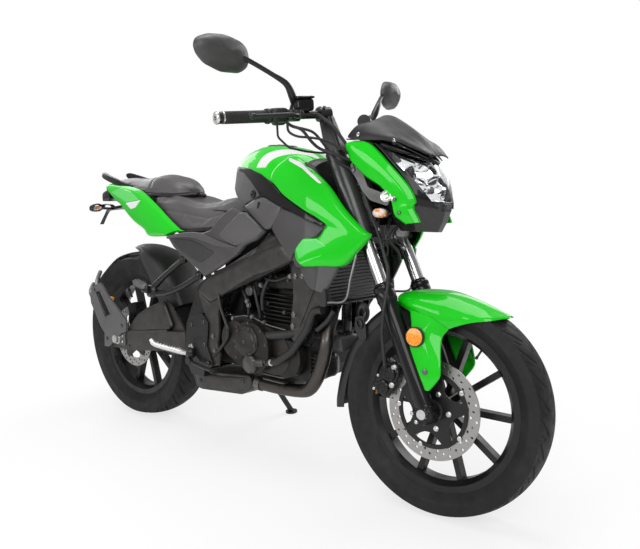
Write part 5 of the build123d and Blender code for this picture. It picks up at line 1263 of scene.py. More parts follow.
def mirror_back():
    """Convex back: rings of the outline drawn in as they go forward."""
    outline = mirror_outline(96)
    rings = []
    for depth, share in ((-0.012, 0.97), (-0.013, 1.0), (-0.008, 1.015), (0.0, 0.99), (0.01, 0.88),
            (0.0165, 0.68), (0.02, 0.42), (0.022, 0.12)):
        tilt = 0.0045 * np.clip(outline[:, 1] / 0.04, -1, 1) * (share < 0.95)
        rings.append(np.column_stack([np.full(96, depth) + tilt, -outline[:, 0] * share,
                outline[:, 1] * share]))
    return loft(rings)


def mirror_face():
    """Glass set into the back of the head: the outline at 0.93, slightly domed."""
    outline = mirror_outline(96)
    rings = [np.column_stack([np.full(96, depth), -outline[:, 0] * share, outline[:, 1] * share])
        for depth, share in ((-0.008, 0.94), (-0.0135, 0.94), (-0.014, 0.9), (-0.015, 0.5), (-0.0152, 0.1))]
    return loft(rings)


stem_path = mm((950, -190, 1090), (952, -205, 1116), (948, -226, 1142), (930, -262, 1162),
    (912, -300, 1180), (900, -330, 1192), (896, -352, 1197))
stem_radii = np.interp(np.linspace(0, 1, 50), [0, 0.12, 0.3, 0.5, 1],
    [0.009, 0.011, 0.0085, 0.0065, 0.0065])
stems = both_sides(tube(stem_path, stem_radii, 50, 16),
    revolved(mm((-22, 4), (-22, 13), (-12, 14), (0, 12), (6, 8)), (0.948, -0.188, 1.088), (0, 0, 1), 24))
piece("mirror_stems", stems, black_paint, "steering")


def mirror_pair(shape):
    """The right head as it is, the left one turned further outwards."""
    points, faces = mirrored(shape)
    left = turn(points, np.array([0, 0, 1.0]), math.radians(18)), faces
    return joined(moved(shape, mirror_middle), moved(left, mirror_middle * [1, -1, 1]))


piece("mirror_heads", mirror_pair(mirror_back()), charcoal_plastic, "steering", ["mirrors"], sharp=38)
piece("mirror_glasses", mirror_pair(mirror_face()), mirror_glass, "steering")


# ---- tyres
bead_radius = 0.2285
tread_pitches = 30
tread_steps = 1050
groove_depth = 0.004
slit_depth = 0.0022


def tyre_profile(radius, width, rim_width):
    """Outline over a tyre from one bead to the other as (y, radius): sidewall with raised rings,
    then a crown that is one arc."""
    half = width / 2
    lip = bead_radius
    shoulder_drop = radius - 0.42 * (half ** 2 / 0.17 + 0.004)
    low = [(rim_width / 2, lip), (rim_width / 2 + 0.004, lip + 0.006), (half - 0.006, lip + 0.018),
        (half - 0.0015, lip + 0.026), (half - 0.0005, lip + 0.028), (half - 0.0012, lip + 0.03),
        (half - 0.0002, (lip + shoulder_drop) / 2 + 0.01), (half * 0.975, shoulder_drop - 0.003)]
    angle = np.linspace(-1, 1, 49)
    crown = [(half * 0.97 * a, radius - (radius - shoulder_drop) * abs(a) ** 2.15) for a in angle]
    return np.array([(-y, r) for y, r in low] + crown + low[::-1])


def tread_depth(along, across, pitch, half):
    """Depth of the grooves: long slanted cuts that bend outwards, with slits between them, the
    right side half a pitch behind the left."""
    side = np.sign(across)
    out = np.abs(across)
    shifted = along + np.where(side > 0, 0.0, 0.5 * pitch)
    bend = 0.95 * out + 7.0 * out ** 2
    main = np.abs((shifted - bend + 0.5 * pitch) % pitch - 0.5 * pitch)
    slit = np.abs((shifted - 0.7 * bend - 0.2 * pitch) % pitch - 0.5 * pitch)
    main_cut = np.clip((0.003 - main) / 0.0012, 0, 1) * np.clip((out - 0.007) / 0.004, 0, 1)
    main_cut = main_cut * np.clip((0.9 * half - out) / 0.004, 0, 1)
    slit_cut = np.clip((0.0018 - slit) / 0.0009, 0, 1) * np.clip((out - 0.45 * half) / 0.004, 0, 1)
    slit_cut = slit_cut * np.clip((0.88 * half - out) / 0.004, 0, 1)
    return np.maximum(groove_depth * main_cut, slit_depth * slit_cut)


def tread_tyre(centre, radius, width, rim_width, pitches, steps):
    """The outline turned about the axle, grooves cut into the crown; closed over the beads."""
    profile = tyre_profile(radius, width, rim_width)
    y, reach = profile[:, 0], profile[:, 1]
    angle = np.arange(steps) * 2 * np.pi / steps
    pitch = 2 * np.pi * radius / pitches
    crown = np.clip((reach - (radius - 0.034)) / 0.004, 0, 1)
    cut = tread_depth(angle[:, None] * radius, y[None], pitch, width / 2) * crown
    r = reach[None] - cut
    outer = np.stack([np.cos(angle)[:, None] * r, np.broadcast_to(y, r.shape), np.sin(angle)[:, None] * r],
        -1)
    inner_profile = np.array([(rim_width / 2 - 0.001, bead_radius), (rim_width / 2 - 0.002, 0.222),
            (0.0, 0.2225), (-rim_width / 2 + 0.002, 0.222), (-rim_width / 2 + 0.001, bead_radius)])
    inner = np.stack([np.cos(angle)[:, None] * inner_profile[:, 1], np.broadcast_to(inner_profile[:, 0],
            (steps, 5)), np.sin(angle)[:, None] * inner_profile[:, 1]], -1)
    points = np.concatenate([outer, inner], 1)
    return loft(points + np.asarray(centre), closed=True)


for end, axle, radius, width, rim_width in (("front", front_axle, front_tyre_radius, 0.104, 0.066),
        ("rear", rear_axle, rear_tyre_radius, 0.132, 0.088)):
    tread = tread_tyre(axle, radius, width, rim_width, tread_pitches, tread_steps)
    piece(end + "_tyre_tread", tread, rubber, end + "_wheel", [end + "_tyre"], sharp=50)


def valve(centre, angle):
    """Valve stem that points to the axle from the rim's well."""
    way = spoke(angle)
    stem = mm((0, 1), (0, 4.5), (6, 4.5), (8, 3), (26, 3), (28, 4.2), (34, 4.2), (34, 1))
    return revolved(stem, np.asarray(centre) + way * 0.199 + [0, -0.004, 0], -way, 16)


for end, axle, angle in (("front", front_axle, 1.02), ("rear", rear_axle, 2.2)):
    piece(end + "_valve", valve(axle, angle), black_plastic, end + "_wheel", slot="grip_rubber")


def rim_tag(low, high, finish, name):
    """A band stuck to the inside of the rim."""
    angle = np.linspace(low, high, 10)[:, None]
    across = np.linspace(-0.033, -0.022, 4)[None]
    grid = [np.stack([front_axle[0] + np.cos(angle) * r + 0 * across, 0 * angle + across,
            front_axle[2] + np.sin(angle) * r + 0 * across], -1) for r in (0.2004, 0.1994)]
    piece(name, shell(*grid), finish, "front_wheel", slot="amber_lens")


# ---- brake discs
disc_face = 0.0655


def spider(centre, arms, hub, reach, thickness, wide, narrow, start=0.2):
    """Disc carrier: a ring with tapered arms, its outline walked round once."""
    corners = []
    for arm in range(arms):
        middle = start + arm * 2 * np.pi / arms
        step = 2 * np.pi / arms
        for angle, r in ((-0.5 * step, hub), (-0.5 * wide / hub, hub + 0.003),
                (-0.5 * narrow / reach, reach - 0.003), (-0.3 * narrow / reach, reach),
                (0.3 * narrow / reach, reach), (0.5 * narrow / reach, reach - 0.003),
                (0.5 * wide / hub, hub + 0.003)):
            corners.append((r * math.cos(middle + angle), r * math.sin(middle + angle)))
    outer = polyline(rounded(corners, 0.006, 3), 40 * arms, closed=True)
    inner_angle = np.arctan2(outer[:, 1], outer[:, 0])
    inner = 0.03 * np.column_stack([np.cos(inner_angle), np.sin(inner_angle)])
    middle = [centre[0], centre[2]]
    near, far = -disc_face, -disc_face - thickness
    return loft([side_view(flat + middle, y) for flat, y in ((inner, near), (outer, near), (outer, far),
            (inner, far))], closed=True)


carrier_ring = lathe_ring(mm((0, 90), (0, 103), (3, 102.5), (3, 91)), front_axle - [0, disc_face, 0],
    to_right, 96)
piece("front_disc_carrier", joined(spider(front_axle, 5, 0.06, 0.104, 0.0035, 0.05, 0.022), carrier_ring),
    wheel_paint, "front_wheel", bevel=0.0006)

# rivets and bolts of the discs
disc_front = front_axle - [0, 0.069, 0]
rivets = ring_places(disc_front, to_right, 0.101, 5)
hub_bolts = ring_places(disc_front, to_right, 0.048, 5, 0.6)
piece("front_disc_bolts", joined(bolts(rivets, 0.0065, 0.0012), bolts(hub_bolts, 0.0065, 0.005, "hex")),
    steel, "front_wheel")
piece("rear_disc_carrier", spider(rear_axle, 5, 0.055, 0.09, 0.003, 0.046, 0.02, 0.5), wheel_paint,
    "rear_wheel", bevel=0.0006)
piece("rear_disc_bolts", bolts(ring_places(rear_axle - [0, 0.0685, 0], to_right, 0.046, 5), 0.006, 0.005,
        "hex"), steel, "rear_wheel")


# ---- fork
def fork(height, forward=0.0, left=0.0):
    """A place on the steering: up its axis, forward of it and to the left."""
    return steer_foot + steer_axis * height + steer_forward * forward + np.array([0, left, 0])


axle_height = (front_axle - steer_foot) @ steer_axis
fork_offset = (front_axle - steer_foot) @ steer_forward
fork_half = 0.0955


def on_leg(up, forward=0.0, left=0.0):
    """A place by the right fork leg, up from the axle."""
    return fork(axle_height + up, fork_offset + forward, -fork_half + left)


leg_profile = mm((-30, 4), (-30, 17), (-26, 22.5), (20, 24.5), (60, 25), (240, 24.5), (270, 24), (280, 25),
    (300, 25.2), (306, 27), (330, 27.5), (334, 26.2), (337, 27.6), (346, 27.6), (351, 24), (352, 19.4))
leg = revolved(leg_profile, on_leg(0), steer_axis, 56)
dropout = joined(revolved(mm((-22, 10), (-22, 23), (-18, 26), (18, 26), (22, 23), (22, 10)), on_leg(0),
        (0, 1, 0), 40), rounded_box(on_leg(0.002, -0.022), (0.03, 0.042, 0.034), 4,
        axes=np.column_stack([steer_forward, [0, 1, 0], steer_axis]).T))
pair("fork_leg_sleeves", joined(leg, dropout), gloss_black, "steering", ["fork_lower_legs"])
seal_rings = joined(lathe_ring(mm((352.5, 18.7), (352.5, 22.5), (356, 21.5), (358, 18.7)), on_leg(0),
        steer_axis, 48), lathe_ring(mm((309, 27.2), (309, 28.2), (313, 28.2), (313, 27.2)), on_leg(0),
        steer_axis, 48))
pair("fork_seals", seal_rings, rubber, "steering", slot="grip_rubber")
pair("fork_stanchion_tubes", revolved(mm((272, 17.6), (272, 18.5), (735, 18.5), (735, 17.6)), on_leg(0),
        steer_axis, 64), stanchion_chrome, "steering", ["fork_stanchions"])
pinch = [on_leg(0.01, -0.03, -0.021), on_leg(-0.014, -0.026, -0.021)]
pair("fork_pinch_bolts", bolts(pinch, 0.006, 0.006), steel, "steering")
pair("front_axle_nuts", joined(bolts([on_leg(0, 0, -0.022)], 0.0115, 0.007, "hex"),
        revolved(mm((0, 1), (0, 20), (3.5, 19.5), (4, 1)), on_leg(0, 0, 0.0263), to_right, 6)), steel,
    "steering")
cover = revolved(mm((505, 18.8), (505, 29), (512, 31), (640, 31.5), (694, 30), (698, 18.8)), on_leg(0),
    steer_axis, 48)
pair("fork_cover_tubes", cover, charcoal_gloss, "steering", ["fork_covers"])

# ---- front caliper
caliper_tilt = math.radians(64)
caliper_axes = np.array([[math.cos(caliper_tilt), 0, math.sin(caliper_tilt)], [0, 1, 0],
        [-math.sin(caliper_tilt), 0, math.cos(caliper_tilt)]])


def on_caliper(along, y, out):
    """A place by the caliper: along its length, across the bike, away from the axle."""
    return np.array([1.212, y, 0.356]) + caliper_axes[0] * along + caliper_axes[2] * out


caliper = joined(*[rounded_box(on_caliper(*middle), size, power, *grid, axes=caliper_axes)
        for middle, size, power, *grid in (((0, -0.0815, 0), (0.092, 0.022, 0.06), 4.5, 17, 36),
        ((0, -0.052, 0), (0.088, 0.014, 0.056), 4.5, 13, 32), ((0, -0.067, 0.026), (0.07, 0.04, 0.016), 4),
        ((-0.03, -0.088, 0.01), (0.026, 0.016, 0.036), 3), ((0.046, -0.082, -0.006), (0.022, 0.018, 0.024),
        3))])
for along in (-0.021, 0.021):
    caliper = joined(caliper, revolved(mm((-4, 1), (-4, 20.5), (6, 19.5), (8.5, 17), (8.5, 11), (6, 9),
            (6, 1)), on_caliper(along, -0.0925, -0.003), to_right, 36))
piece("front_caliper_body", caliper, caliper_paint, "steering", ["front_caliper"])
piece("front_caliper_bolts",
    joined(bolts([on_caliper(-0.04, -0.0935, 0.018), on_caliper(0.04, -0.0935, 0.018),
        on_caliper(0.0, -0.0935, 0.024)], 0.0045, 0.004),
        bolts([on_caliper(0.046, -0.092, -0.006), on_caliper(0.0, -0.0935, -0.024)], 0.0065, 0.006, "hex")),
    steel, "steering")
piece("front_caliper_bleeder", tube([on_caliper(0.046, -0.08, 0.012), on_caliper(0.052, -0.084, 0.026)],
        0.0035, 6, 12), black_plastic, "steering", slot="grip_rubber")

# ---- front mudguard
guard_rails = full_width([mm((1231, -66, 560), (1262, -70, 548), (1300, -72, 532), (1346, -74, 507),
        (1380, -72, 512), (1404, -70, 522), (1445, -66, 536), (1488, -52, 544), (1521, -12, 552)),
        mm((1228, -70, 574), (1258, -78, 565), (1300, -85, 556), (1346, -84, 543), (1380, -78, 536),
        (1413, -71, 544), (1450, -63, 549), (1489, -48, 551), (1520, -10, 553)),
        mm((1226, -62, 584), (1256, -70, 583), (1300, -76, 582), (1346, -76, 574), (1380, -71, 567),
        (1413, -64, 563), (1450, -54, 559), (1488, -38, 556), (1519, -8, 554)),
        mm((1227, -38, 591), (1258, -44, 597), (1300, -46, 598), (1346, -46, 596), (1380, -42, 590),
        (1413, -38, 581), (1450, -31, 572), (1487, -20, 562), (1519, -5, 555)),
        mm((1228, 0, 594), (1262, 0, 600), (1304, 0, 604), (1348, 0, 604), (1380, 0, 599), (1413, 0, 591),
        (1450, 0, 580), (1487, 0, 567), (1520, 0, 555))])
piece("front_mudguard_shell", sheet(guard_rails, 7, 6, 0.0035, (0, 0, 1)), green_paint, "steering",
    ["front_mudguard"], bevel=0.0008)
apron_front = mm((1380, -74, 514), (1368, -82, 492), (1370, -92, 458), (1377, -101, 414), (1376, -103, 388),
    (1352, -104, 353))
apron_mid = mm((1340, -86, 540), (1328, -98, 500), (1336, -104, 458), (1346, -107, 412), (1348, -107, 384),
    (1346, -106, 352))
apron_back = mm((1276, -80, 552), (1290, -96, 506), (1288, -105, 458), (1308, -106, 408), (1322, -106, 380),
    (1338, -105, 354))
apron_rear_edge = [(x - 0.001, y + 0.008, z) for x, y, z in apron_back]
apron_front_edge = [(x + 0.001, y + 0.007, z) for x, y, z in apron_front]
pair("front_mudguard_aprons", sheet([apron_front_edge, apron_front, apron_mid, apron_back, apron_rear_edge],
        7, 7, 0.0035, to_right, True, True), green_paint, "steering")
reflector_way = (0.05, -1, 0.05)
pair("fork_reflector_rims", lathe_ring(mm((0, 14), (0, 26.5), (6, 26.5), (8, 24.5), (6, 14)),
        (1.306, -0.1045, 0.487), reflector_way, 48), black_plastic, "steering")
pair("fork_reflectors", revolved(mm((2, 1), (2, 24), (7.5, 24), (9, 18), (9.5, 1)), (1.306, -0.1045, 0.487),
        reflector_way, 48), reflector_amber, "steering")
pair("mudguard_bolts", bolts([(1.34, -0.1065, 0.401)], 0.0085, 0.004, "hex"), dark_steel, "steering")
flap_rails = []
for angle, width, radius in ((114, 0.058, 0.297), (124, 0.056, 0.3), (138, 0.053, 0.303),
        (154, 0.05, 0.308), (170, 0.048, 0.316), (184, 0.046, 0.328), (190, 0.044, 0.334)):
    half = [(-width, radius - 0.028), (-width - 0.001, radius - 0.01), (-width * 0.8, radius + 0.004),
        (-width * 0.3, radius + 0.009)]
    way = spoke(math.radians(angle))
    flap_rails.append([front_axle + way * r + [0, y, 0] for y, r in half
            + [(-y, r) for y, r in half[::-1]]])
piece("front_flap_shell", sheet(flap_rails, 6, 8, 0.003, (-1, 0, 0.3)), black_plastic, "steering",
    ["front_mudguard_flap"], bevel=0.0006)
flap_ear = rounded(mm((1086, 512), (1112, 516), (1122, 486), (1126, 452), (1104, 446), (1088, 470),
        (1084, 486)), 0.008)
slot_path = mm((1090, -65.5, 500), (1104, -65.5, 504), (1112, -65.5, 488), (1100, -65.5, 482),
    (1090, -65.5, 500))
pair("front_flap_ears", joined(plate(flap_ear, -0.058, -0.062), tube(slot_path, 0.003, 24, 8)),
    black_plastic, "steering")
rim_tag(2.9, 3.02, orange_tag, "rim_tag_upper")
rim_tag(3.025, 3.09, white_print_and_highlight, "rim_tag_middle")
rim_tag(3.095, 3.13, orange_tag, "rim_tag_lower")

# ---- cables and wiring at the steering head
head_cables = [(mm((989, -270, 1034), (993, -250, 1025), (1011, -230, 1016), (1022, -200, 987),
        (1031, -175, 971), (1059, -150, 958), (1088, -115, 944)), 0.0042),
    (mm((984, -258, 1036), (981, -248, 1012), (996, -230, 1000), (1022, -200, 998), (1046, -170, 992),
        (1071, -140, 975), (1090, -110, 955)), 0.0034),
    (mm((996, -220, 1023), (1020, -190, 1012), (1039, -160, 977), (1059, -130, 939), (1085, -100, 919)),
        0.0036)]
piece("head_cables", tubes(head_cables, 48), cable_rubber, "steering")
yoke_wires = [(mm((1155, -60, 807), (1162, -78, 780), (1166, -80, 753), (1176, -80, 721), (1176, -60, 672)),
        0.004), (mm((1204, -20, 781), (1192, -40, 754), (1203, -50, 727), (1223, -40, 712), (1212, 0, 688)),
        0.0034), (mm((1181, -50, 791), (1192, -75, 754), (1200, -70, 725), (1210, -50, 701),
        (1200, -20, 672)), 0.0046),
    (mm((1157, -80, 768), (1178, -86, 743), (1198, -84, 733), (1201, -70, 754), (1207, -50, 771)), 0.003),
    (mm((1185, -76, 772), (1185, -82, 738), (1197, -80, 706), (1180, -70, 672)), 0.0026)]
piece("yoke_wires", tubes(yoke_wires, 48), cable_rubber, "steering")
sleeve = mm((-8, 1.5), (-8, 5.2), (-5, 6), (5, 6), (8, 5), (8, 1.5))
piece("wire_sleeves",
    joined(*[revolved(sleeve, centre, axis, 24)
        for centre, axis in (((1.166, -0.08, 0.755), (0.1, 0.1, -1)),
        ((1.196, -0.046, 0.742), (0.5, -0.3, -1)), ((1.221, -0.041, 0.713), (1, 0.4, -0.7)),
        ((1.176, -0.079, 0.715), (0.1, 0.3, -1)))]), fitting_steel, "steering")


# ---- seats
def seat_sections(stations):
    """Loops of a cushion: (x, top in the middle, top at the shoulder, bottom, half width at the
    shoulder, half width at the foot)."""
    sections = []
    for x, crest, shoulder, foot, half_top, half_foot in stations:
        middle = 0.55 * shoulder + 0.45 * foot
        half = [(half_foot * 0.86, foot), (half_foot, foot + 0.006), ((half_top + half_foot) / 2 + 0.002,
                middle), (half_top, shoulder - 0.008), (half_top * 0.84, shoulder),
            (half_top * 0.42, (shoulder + crest) / 2)]
        loop = [(0.0, foot)] + half + [(0.0, crest)] + [(-y, z) for y, z in half[::-1]]
        sections.append([(x, y, z) for y, z in loop])
    return sections


cover_reach = 0.006
cover_voxel = 0.0055


def stuffed(name, shape, cap, seams, finish, replaced):
    """A foam cushion under a stretched cover: the shape is remeshed, blown up as cloth with its
    foot held, no point moving further than the cap; then the seams are pressed in."""
    points, faces = shape
    mesh = bpy.data.meshes.new(name)
    mesh.from_pydata(place(points).tolist(), [], faces)
    cushion = added(name, mesh)
    remesh = cushion.modifiers.new("even cover", "REMESH")
    remesh.mode, remesh.voxel_size = "VOXEL", cover_voxel
    take_result(cushion)
    start = mesh_points(cushion.data)
    upright = unplace(start)
    foot = cushion.vertex_groups.new(name="foot")
    lowest = np.array([upright[np.abs(upright[:, 0] - x) < 0.02, 2].min() for x in upright[:, 0]])
    for index in np.nonzero(upright[:, 2] < lowest + 0.01)[0]:
        foot.add([int(index)], 1.0, "REPLACE")
    cloth = cushion.modifiers.new("cover", "CLOTH")
    cloth.settings.use_pressure = True
    cloth.settings.uniform_pressure_force = 4.0
    cloth.settings.effector_weights.gravity = 0.0
    cloth.settings.vertex_group_mass = "foot"
    cloth.settings.quality = 6
    cloth.point_cache.frame_start, cloth.point_cache.frame_end = 1, 20
    for step in range(1, 21):
        bpy.context.scene.frame_set(step)
    take_result(cushion)
    bpy.context.scene.frame_set(1)
    cushion.vertex_groups.clear()
    moved_by = mesh_points(cushion.data) - start
    reach = np.linalg.norm(moved_by, axis=1)[:, None]
    start = start + moved_by * np.minimum(1, cap / np.maximum(reach, 1e-9))
    upright = unplace(start)
    normals = np.empty(len(start) * 3)
    cushion.data.vertices.foreach_set("co", start.ravel())
    cushion.data.update()
    cushion.data.vertices.foreach_get("normal", normals)
    start = start - seams(*upright.T)[:, None] * normals.reshape(-1, 3)
    cushion.data.vertices.foreach_set("co", start.ravel())
    cushion.data.update()
    cushion.data.polygons.foreach_set("use_smooth", np.ones(len(cushion.data.polygons), bool))
    layer = cushion.data.attributes.new("seam", "FLOAT", "POINT")
    layer.data.foreach_set("value", np.ascontiguousarray(np.clip(seams(*upright.T) / 0.0025, 0, 1),
            np.float32))
    cushion.data.materials.append(finish.material)
    finer = cushion.modifiers.new("finer", "SUBSURF")
    finer.levels = finer.render_levels = 1
    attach(cushion, "frame")
    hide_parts(*replaced)
    return cushion


def take_result(thing):
    """Replace a piece's mesh by what its modifiers make of it."""
    graph = bpy.context.evaluated_depsgraph_get()
    result = bpy.data.meshes.new_from_object(thing.evaluated_get(graph))
    thing.modifiers.clear()
    thing.data = result


def pressed(distance, width, depth):
    """Depth of a seam at a distance from its line."""
    return depth * np.exp(-(distance / width) ** 2)


def rider_seams(x, y, z):
    """Seam that parts the seating face from the sides, and two across the hips."""
    edge = np.interp(x, [0.19, 0.3, 0.42, 0.52, 0.6, 0.66], [0.066, 0.084, 0.088, 0.08, 0.062, 0.03])
    top = np.interp(x, [0.19, 0.3, 0.38, 0.44, 0.5, 0.55, 0.6, 0.66],
        [0.84, 0.836, 0.826, 0.822, 0.828, 0.836, 0.842, 0.83])
    upper = z > top - 0.035
    side_seam = pressed(np.abs(y) - edge, 0.0035, 0.0022) * upper
    side_line = 0.792 - 0.1 * np.clip(x - 0.3, 0, 0.2) + 0.25 * np.clip(x - 0.5, 0, 1)
    low_seam = pressed(z - side_line, 0.0035, 0.0018) * (np.abs(y) > edge + 0.008) * (x > 0.27)
    return side_seam + low_seam


def pillion_seams(x, y, z):
    """Channel across the cushion before its nose, and a seam round its side."""
    across = pressed(x - 0.118 - 0.25 * np.abs(y), 0.0065, 0.005)
    foot_line = pressed(z - np.interp(x, [-0.15, 0.02, 0.12, 0.32], [0.893, 0.874, 0.862, 0.86]), 0.0032,
        0.0018)
    return across + foot_line * (np.abs(y) > 0.012)


rider_shape = smooth_loft(seat_sections(mm((184, 842, 842, 820, 78, 86), (198, 845, 846, 808, 86, 98),
        (250, 838, 842, 788, 90, 108), (310, 826, 834, 752, 98, 122), (370, 814, 823, 728, 100, 128),
        (430, 810, 816, 731, 98, 130), (490, 819, 820, 736, 92, 126), (540, 831, 829, 741, 84, 116),
        (590, 840, 836, 752, 72, 102), (630, 841, 834, 776, 54, 78), (656, 834, 826, 796, 30, 46),
        (664, 826, 820, 806, 12, 20))), 46, 64)
stuffed("rider_cushion", rider_shape, cover_reach, rider_seams, seat_cover, ["rider_seat"])
pillion_shape = smooth_loft(seat_sections(mm((-152, 894, 893, 886, 12, 14), (-140, 900, 898, 883, 22, 28),
        (-100, 903, 901, 878, 34, 42), (-40, 901, 899, 869, 46, 56), (30, 899, 896, 860, 56, 67),
        (90, 901, 897, 852, 64, 78), (130, 908, 902, 848, 68, 84), (165, 915, 908, 847, 68, 86),
        (205, 914, 906, 847, 64, 84), (246, 904, 898, 847, 56, 78), (280, 890, 885, 848, 44, 62),
        (300, 872, 868, 850, 24, 36))), 46, 56)
stuffed("pillion_cushion", pillion_shape, cover_reach, pillion_seams, seat_cover, ["pillion_seat"])

# seat pans: dark edges that show under the covers
pan_path = mm((205, -94, 808), (250, -108, 784), (310, -122, 748), (370, -128, 725), (450, -129, 729),
    (540, -116, 738), (590, -102, 749), (635, -74, 776), (660, -30, 800))
pair("rider_seat_pan", tube(pan_path, 0.005, 60, 10), black_plastic)
pillion_pan = mm((-140, -26, 880), (-40, -54, 866), (60, -72, 853), (130, -83, 845), (205, -83, 844),
    (270, -66, 844), (304, -38, 846), (315, -6, 848))
pair("pillion_seat_pan", tube(pillion_pan, 0.005, 60, 10), black_plastic)
under_seat = rounded(mm((150, 845), (220, 800), (330, 740), (420, 718), (560, 716), (640, 770), (640, 800),
        (300, 800)), 0.01)
piece("seat_underside", plate(under_seat, -0.094, 0.094), black_plastic)

# ---- tail
rail_knots = mm((20, -74, 868), (-30, -77, 878), (-80, -76, 892), (-136, -69, 905), (-176, -61, 914),
    (-202, -54, 920))
rail_path = curve(rail_knots, 40)
rail_ahead = directions(rail_path)
rail_side = np.cross(rail_ahead, [0, 0, 1.0])
rail_side /= np.linalg.norm(rail_side, axis=1)[:, None]
rail_over = np.cross(rail_side, rail_ahead)
rail_turn = np.linspace(0, 2 * np.pi, 20, endpoint=False)[None, :, None]
rail_size = np.interp(np.linspace(0, 1, 40), [0, 0.1, 0.9, 0.96, 1], [0.8, 1, 1, 0.9, 0.45])[:, None, None]
rail_ring = (np.sign(np.cos(rail_turn)) * np.abs(np.cos(rail_turn)) ** 0.7 * 0.0085 * rail_side[:, None]
    + np.sign(np.sin(rail_turn)) * np.abs(np.sin(rail_turn)) ** 0.7 * 0.0125 * rail_over[:, None])
pair("grab_handles", loft(rail_path[:, None] + rail_ring * rail_size), satin_black, replaces=["grab_rails"])
lamp_case = [[(x, y * half, z) for y, z in ((-1, low), (-1, high - 0.004), (-0.8, high), (0.8, high),
        (1, high - 0.004), (1, low), (0.8, low - 0.004), (-0.8, low - 0.004))]
    for x, half, low, high in mm((-150, 60, 832, 862), (-185, 56, 826, 856), (-214, 50, 820, 850),
        (-226, 44, 820, 846))]
piece("tail_lamp_case", smooth_loft(lamp_case, 14, 48), satin_black, replaces=["tail_lamp"])
lamp_rear = [[(x, y * half, z) for y, z in ((-1, low), (-1, high), (-0.8, high + 0.002),
        (0.8, high + 0.002), (1, high), (1, low), (0.8, low - 0.002), (-0.8, low - 0.002))]
    for x, half, low, high in mm((-222, 40, 824, 842), (-231, 38, 825, 841), (-235, 32, 828, 838))]
piece("tail_lamp_lens", smooth_loft(lamp_rear, 10, 40), red_lens)


def closed_tube(knots, radius_across, radius_up, count=64):
    """A flattened bar round a closed path."""
    path = curve(knots, count, closed=True)
    ahead = np.roll(path, -1, 0) - np.roll(path, 1, 0)
    ahead /= np.linalg.norm(ahead, axis=1)[:, None]
    centre = path.mean(0)
    up = unit(np.cross(path[0] - centre, path[count // 4] - centre))
    across = np.cross(up, ahead)
    angle = np.linspace(0, 2 * np.pi, 12, endpoint=False)[None, :, None]
    return loft(path[:, None] + np.cos(angle) * radius_across * across[:, None] + np.sin(angle) * radius_up
        * up, closed=True)


loop_shape = mm((-40, 0), (-34, 13), (-10, 17), (22, 14), (40, 4), (38, -10), (10, -15), (-26, -12))
signal_centre = np.array([-0.19, -0.096, 0.791])
signal_loop = [signal_centre + [u * 0.28, -u * 0.68, 0.8 * v] for u, v in loop_shape]
signals = joined(closed_tube(signal_loop, 0.0036, 0.009), tube(mm((-206, -14, 786), (-196, -68, 789)),
        0.005, 10, 12))
pair("rear_signal_rings", signals, satin_black)
pair("rear_signal_lenses", rounded_box(signal_centre, (0.008, 0.048, 0.014), 3), smoked_amber)
arm = mm((-70, 0, 806), (-150, 0, 794), (-215, 0, 786), (-252, 0, 780), (-270, 0, 764), (-306, 0, 722))
arm_sections = []
for (x, _, z), half, thick in zip(arm, (0.022, 0.022, 0.018, 0.01, 0.008, 0.009),
        (0.004, 0.006, 0.006, 0.005, 0.004, 0.003)):
    slope = np.array([0.55, 0, 0.83]) if x < -0.23 else np.array([0.12, 0, 0.99])
    arm_sections.append([np.array([x, 0, z]) + [0, y, 0] + slope * t for y, t in ((-half, -thick),
            (-half, thick), (half, thick), (half, -thick))])
arm_cover = smooth_loft(arm_sections, 24, 24, False)
holder_ring = closed_tube([(-0.258 + 0.036 * u / 0.04, 0, 0.792 + 0.6 * v) for u, v in loop_shape], 0.0032,
    0.01)
piece("plate_arm_cover", joined(arm_cover, holder_ring), satin_black, replaces=["plate_holder"])


# ---- rear mudguards
def wheel_arc(stations):
    """Cross-sections over the rear wheel: (angle in degrees, half width, radius over the tyre,
    drop at the edge, degrees by which the edge runs ahead of the crown)."""
    rails = []
    for angle, half, radius, drop, ahead in stations:
        row = []
        for y, r, share in ((half, radius - drop, 1.0), (half + 0.002, radius - 0.5 * drop, 0.6),
                (half * 0.92, radius - 0.1 * drop, 0.45), (half * 0.45, radius + 0.002, 0.1)):
            turned = math.radians(angle - ahead * share)
            row.append(rear_axle + [r * math.cos(turned), -y, r * math.sin(turned)])
        rails.append(row + [point * [1, -1, 1] for point in row[::-1]])
    return rails


piece("hugger_shell",
    sheet(wheel_arc([(98, 0.07, 0.336, 0.074, 36), (91, 0.077, 0.346, 0.092, 34),
        (80, 0.08, 0.348, 0.1, 28), (66, 0.08, 0.346, 0.104, 20), (52, 0.08, 0.346, 0.102, 12),
        (40, 0.079, 0.346, 0.09, 6), (27, 0.074, 0.342, 0.058, 0)]), 7, 10, 0.004, (0.5, 0, 1)),
    hugger_plastic, replaces=["inner_mudguard"])
piece("rear_mudguard_shell",
    sheet(wheel_arc([(96, 0.04, 0.318, 0.004, 0), (104, 0.042, 0.318, 0.006, 0),
        (118, 0.042, 0.32, 0.008, 0), (140, 0.04, 0.33, 0.01, 0), (152, 0.038, 0.344, 0.01, 0),
        (164, 0.034, 0.366, 0.008, 0)]), 7, 8, 0.0035, (-0.7, 0, 0.7)), black_plastic,
    replaces=["rear_mudguard"])


def slotted_plate(outer, inner, y_near, y_far, steps=3):
    """A plate with a slot: outer and inner outlines with facing corners, carried from y to y."""
    loops = [polyline_by_corner(outline, steps) for outline in (outer, inner)]
    order = ((loops[0], y_near), (loops[1], y_near), (loops[1], y_far), (loops[0], y_far))
    return loft([side_view(flat, y) for flat, y in order], closed=True)


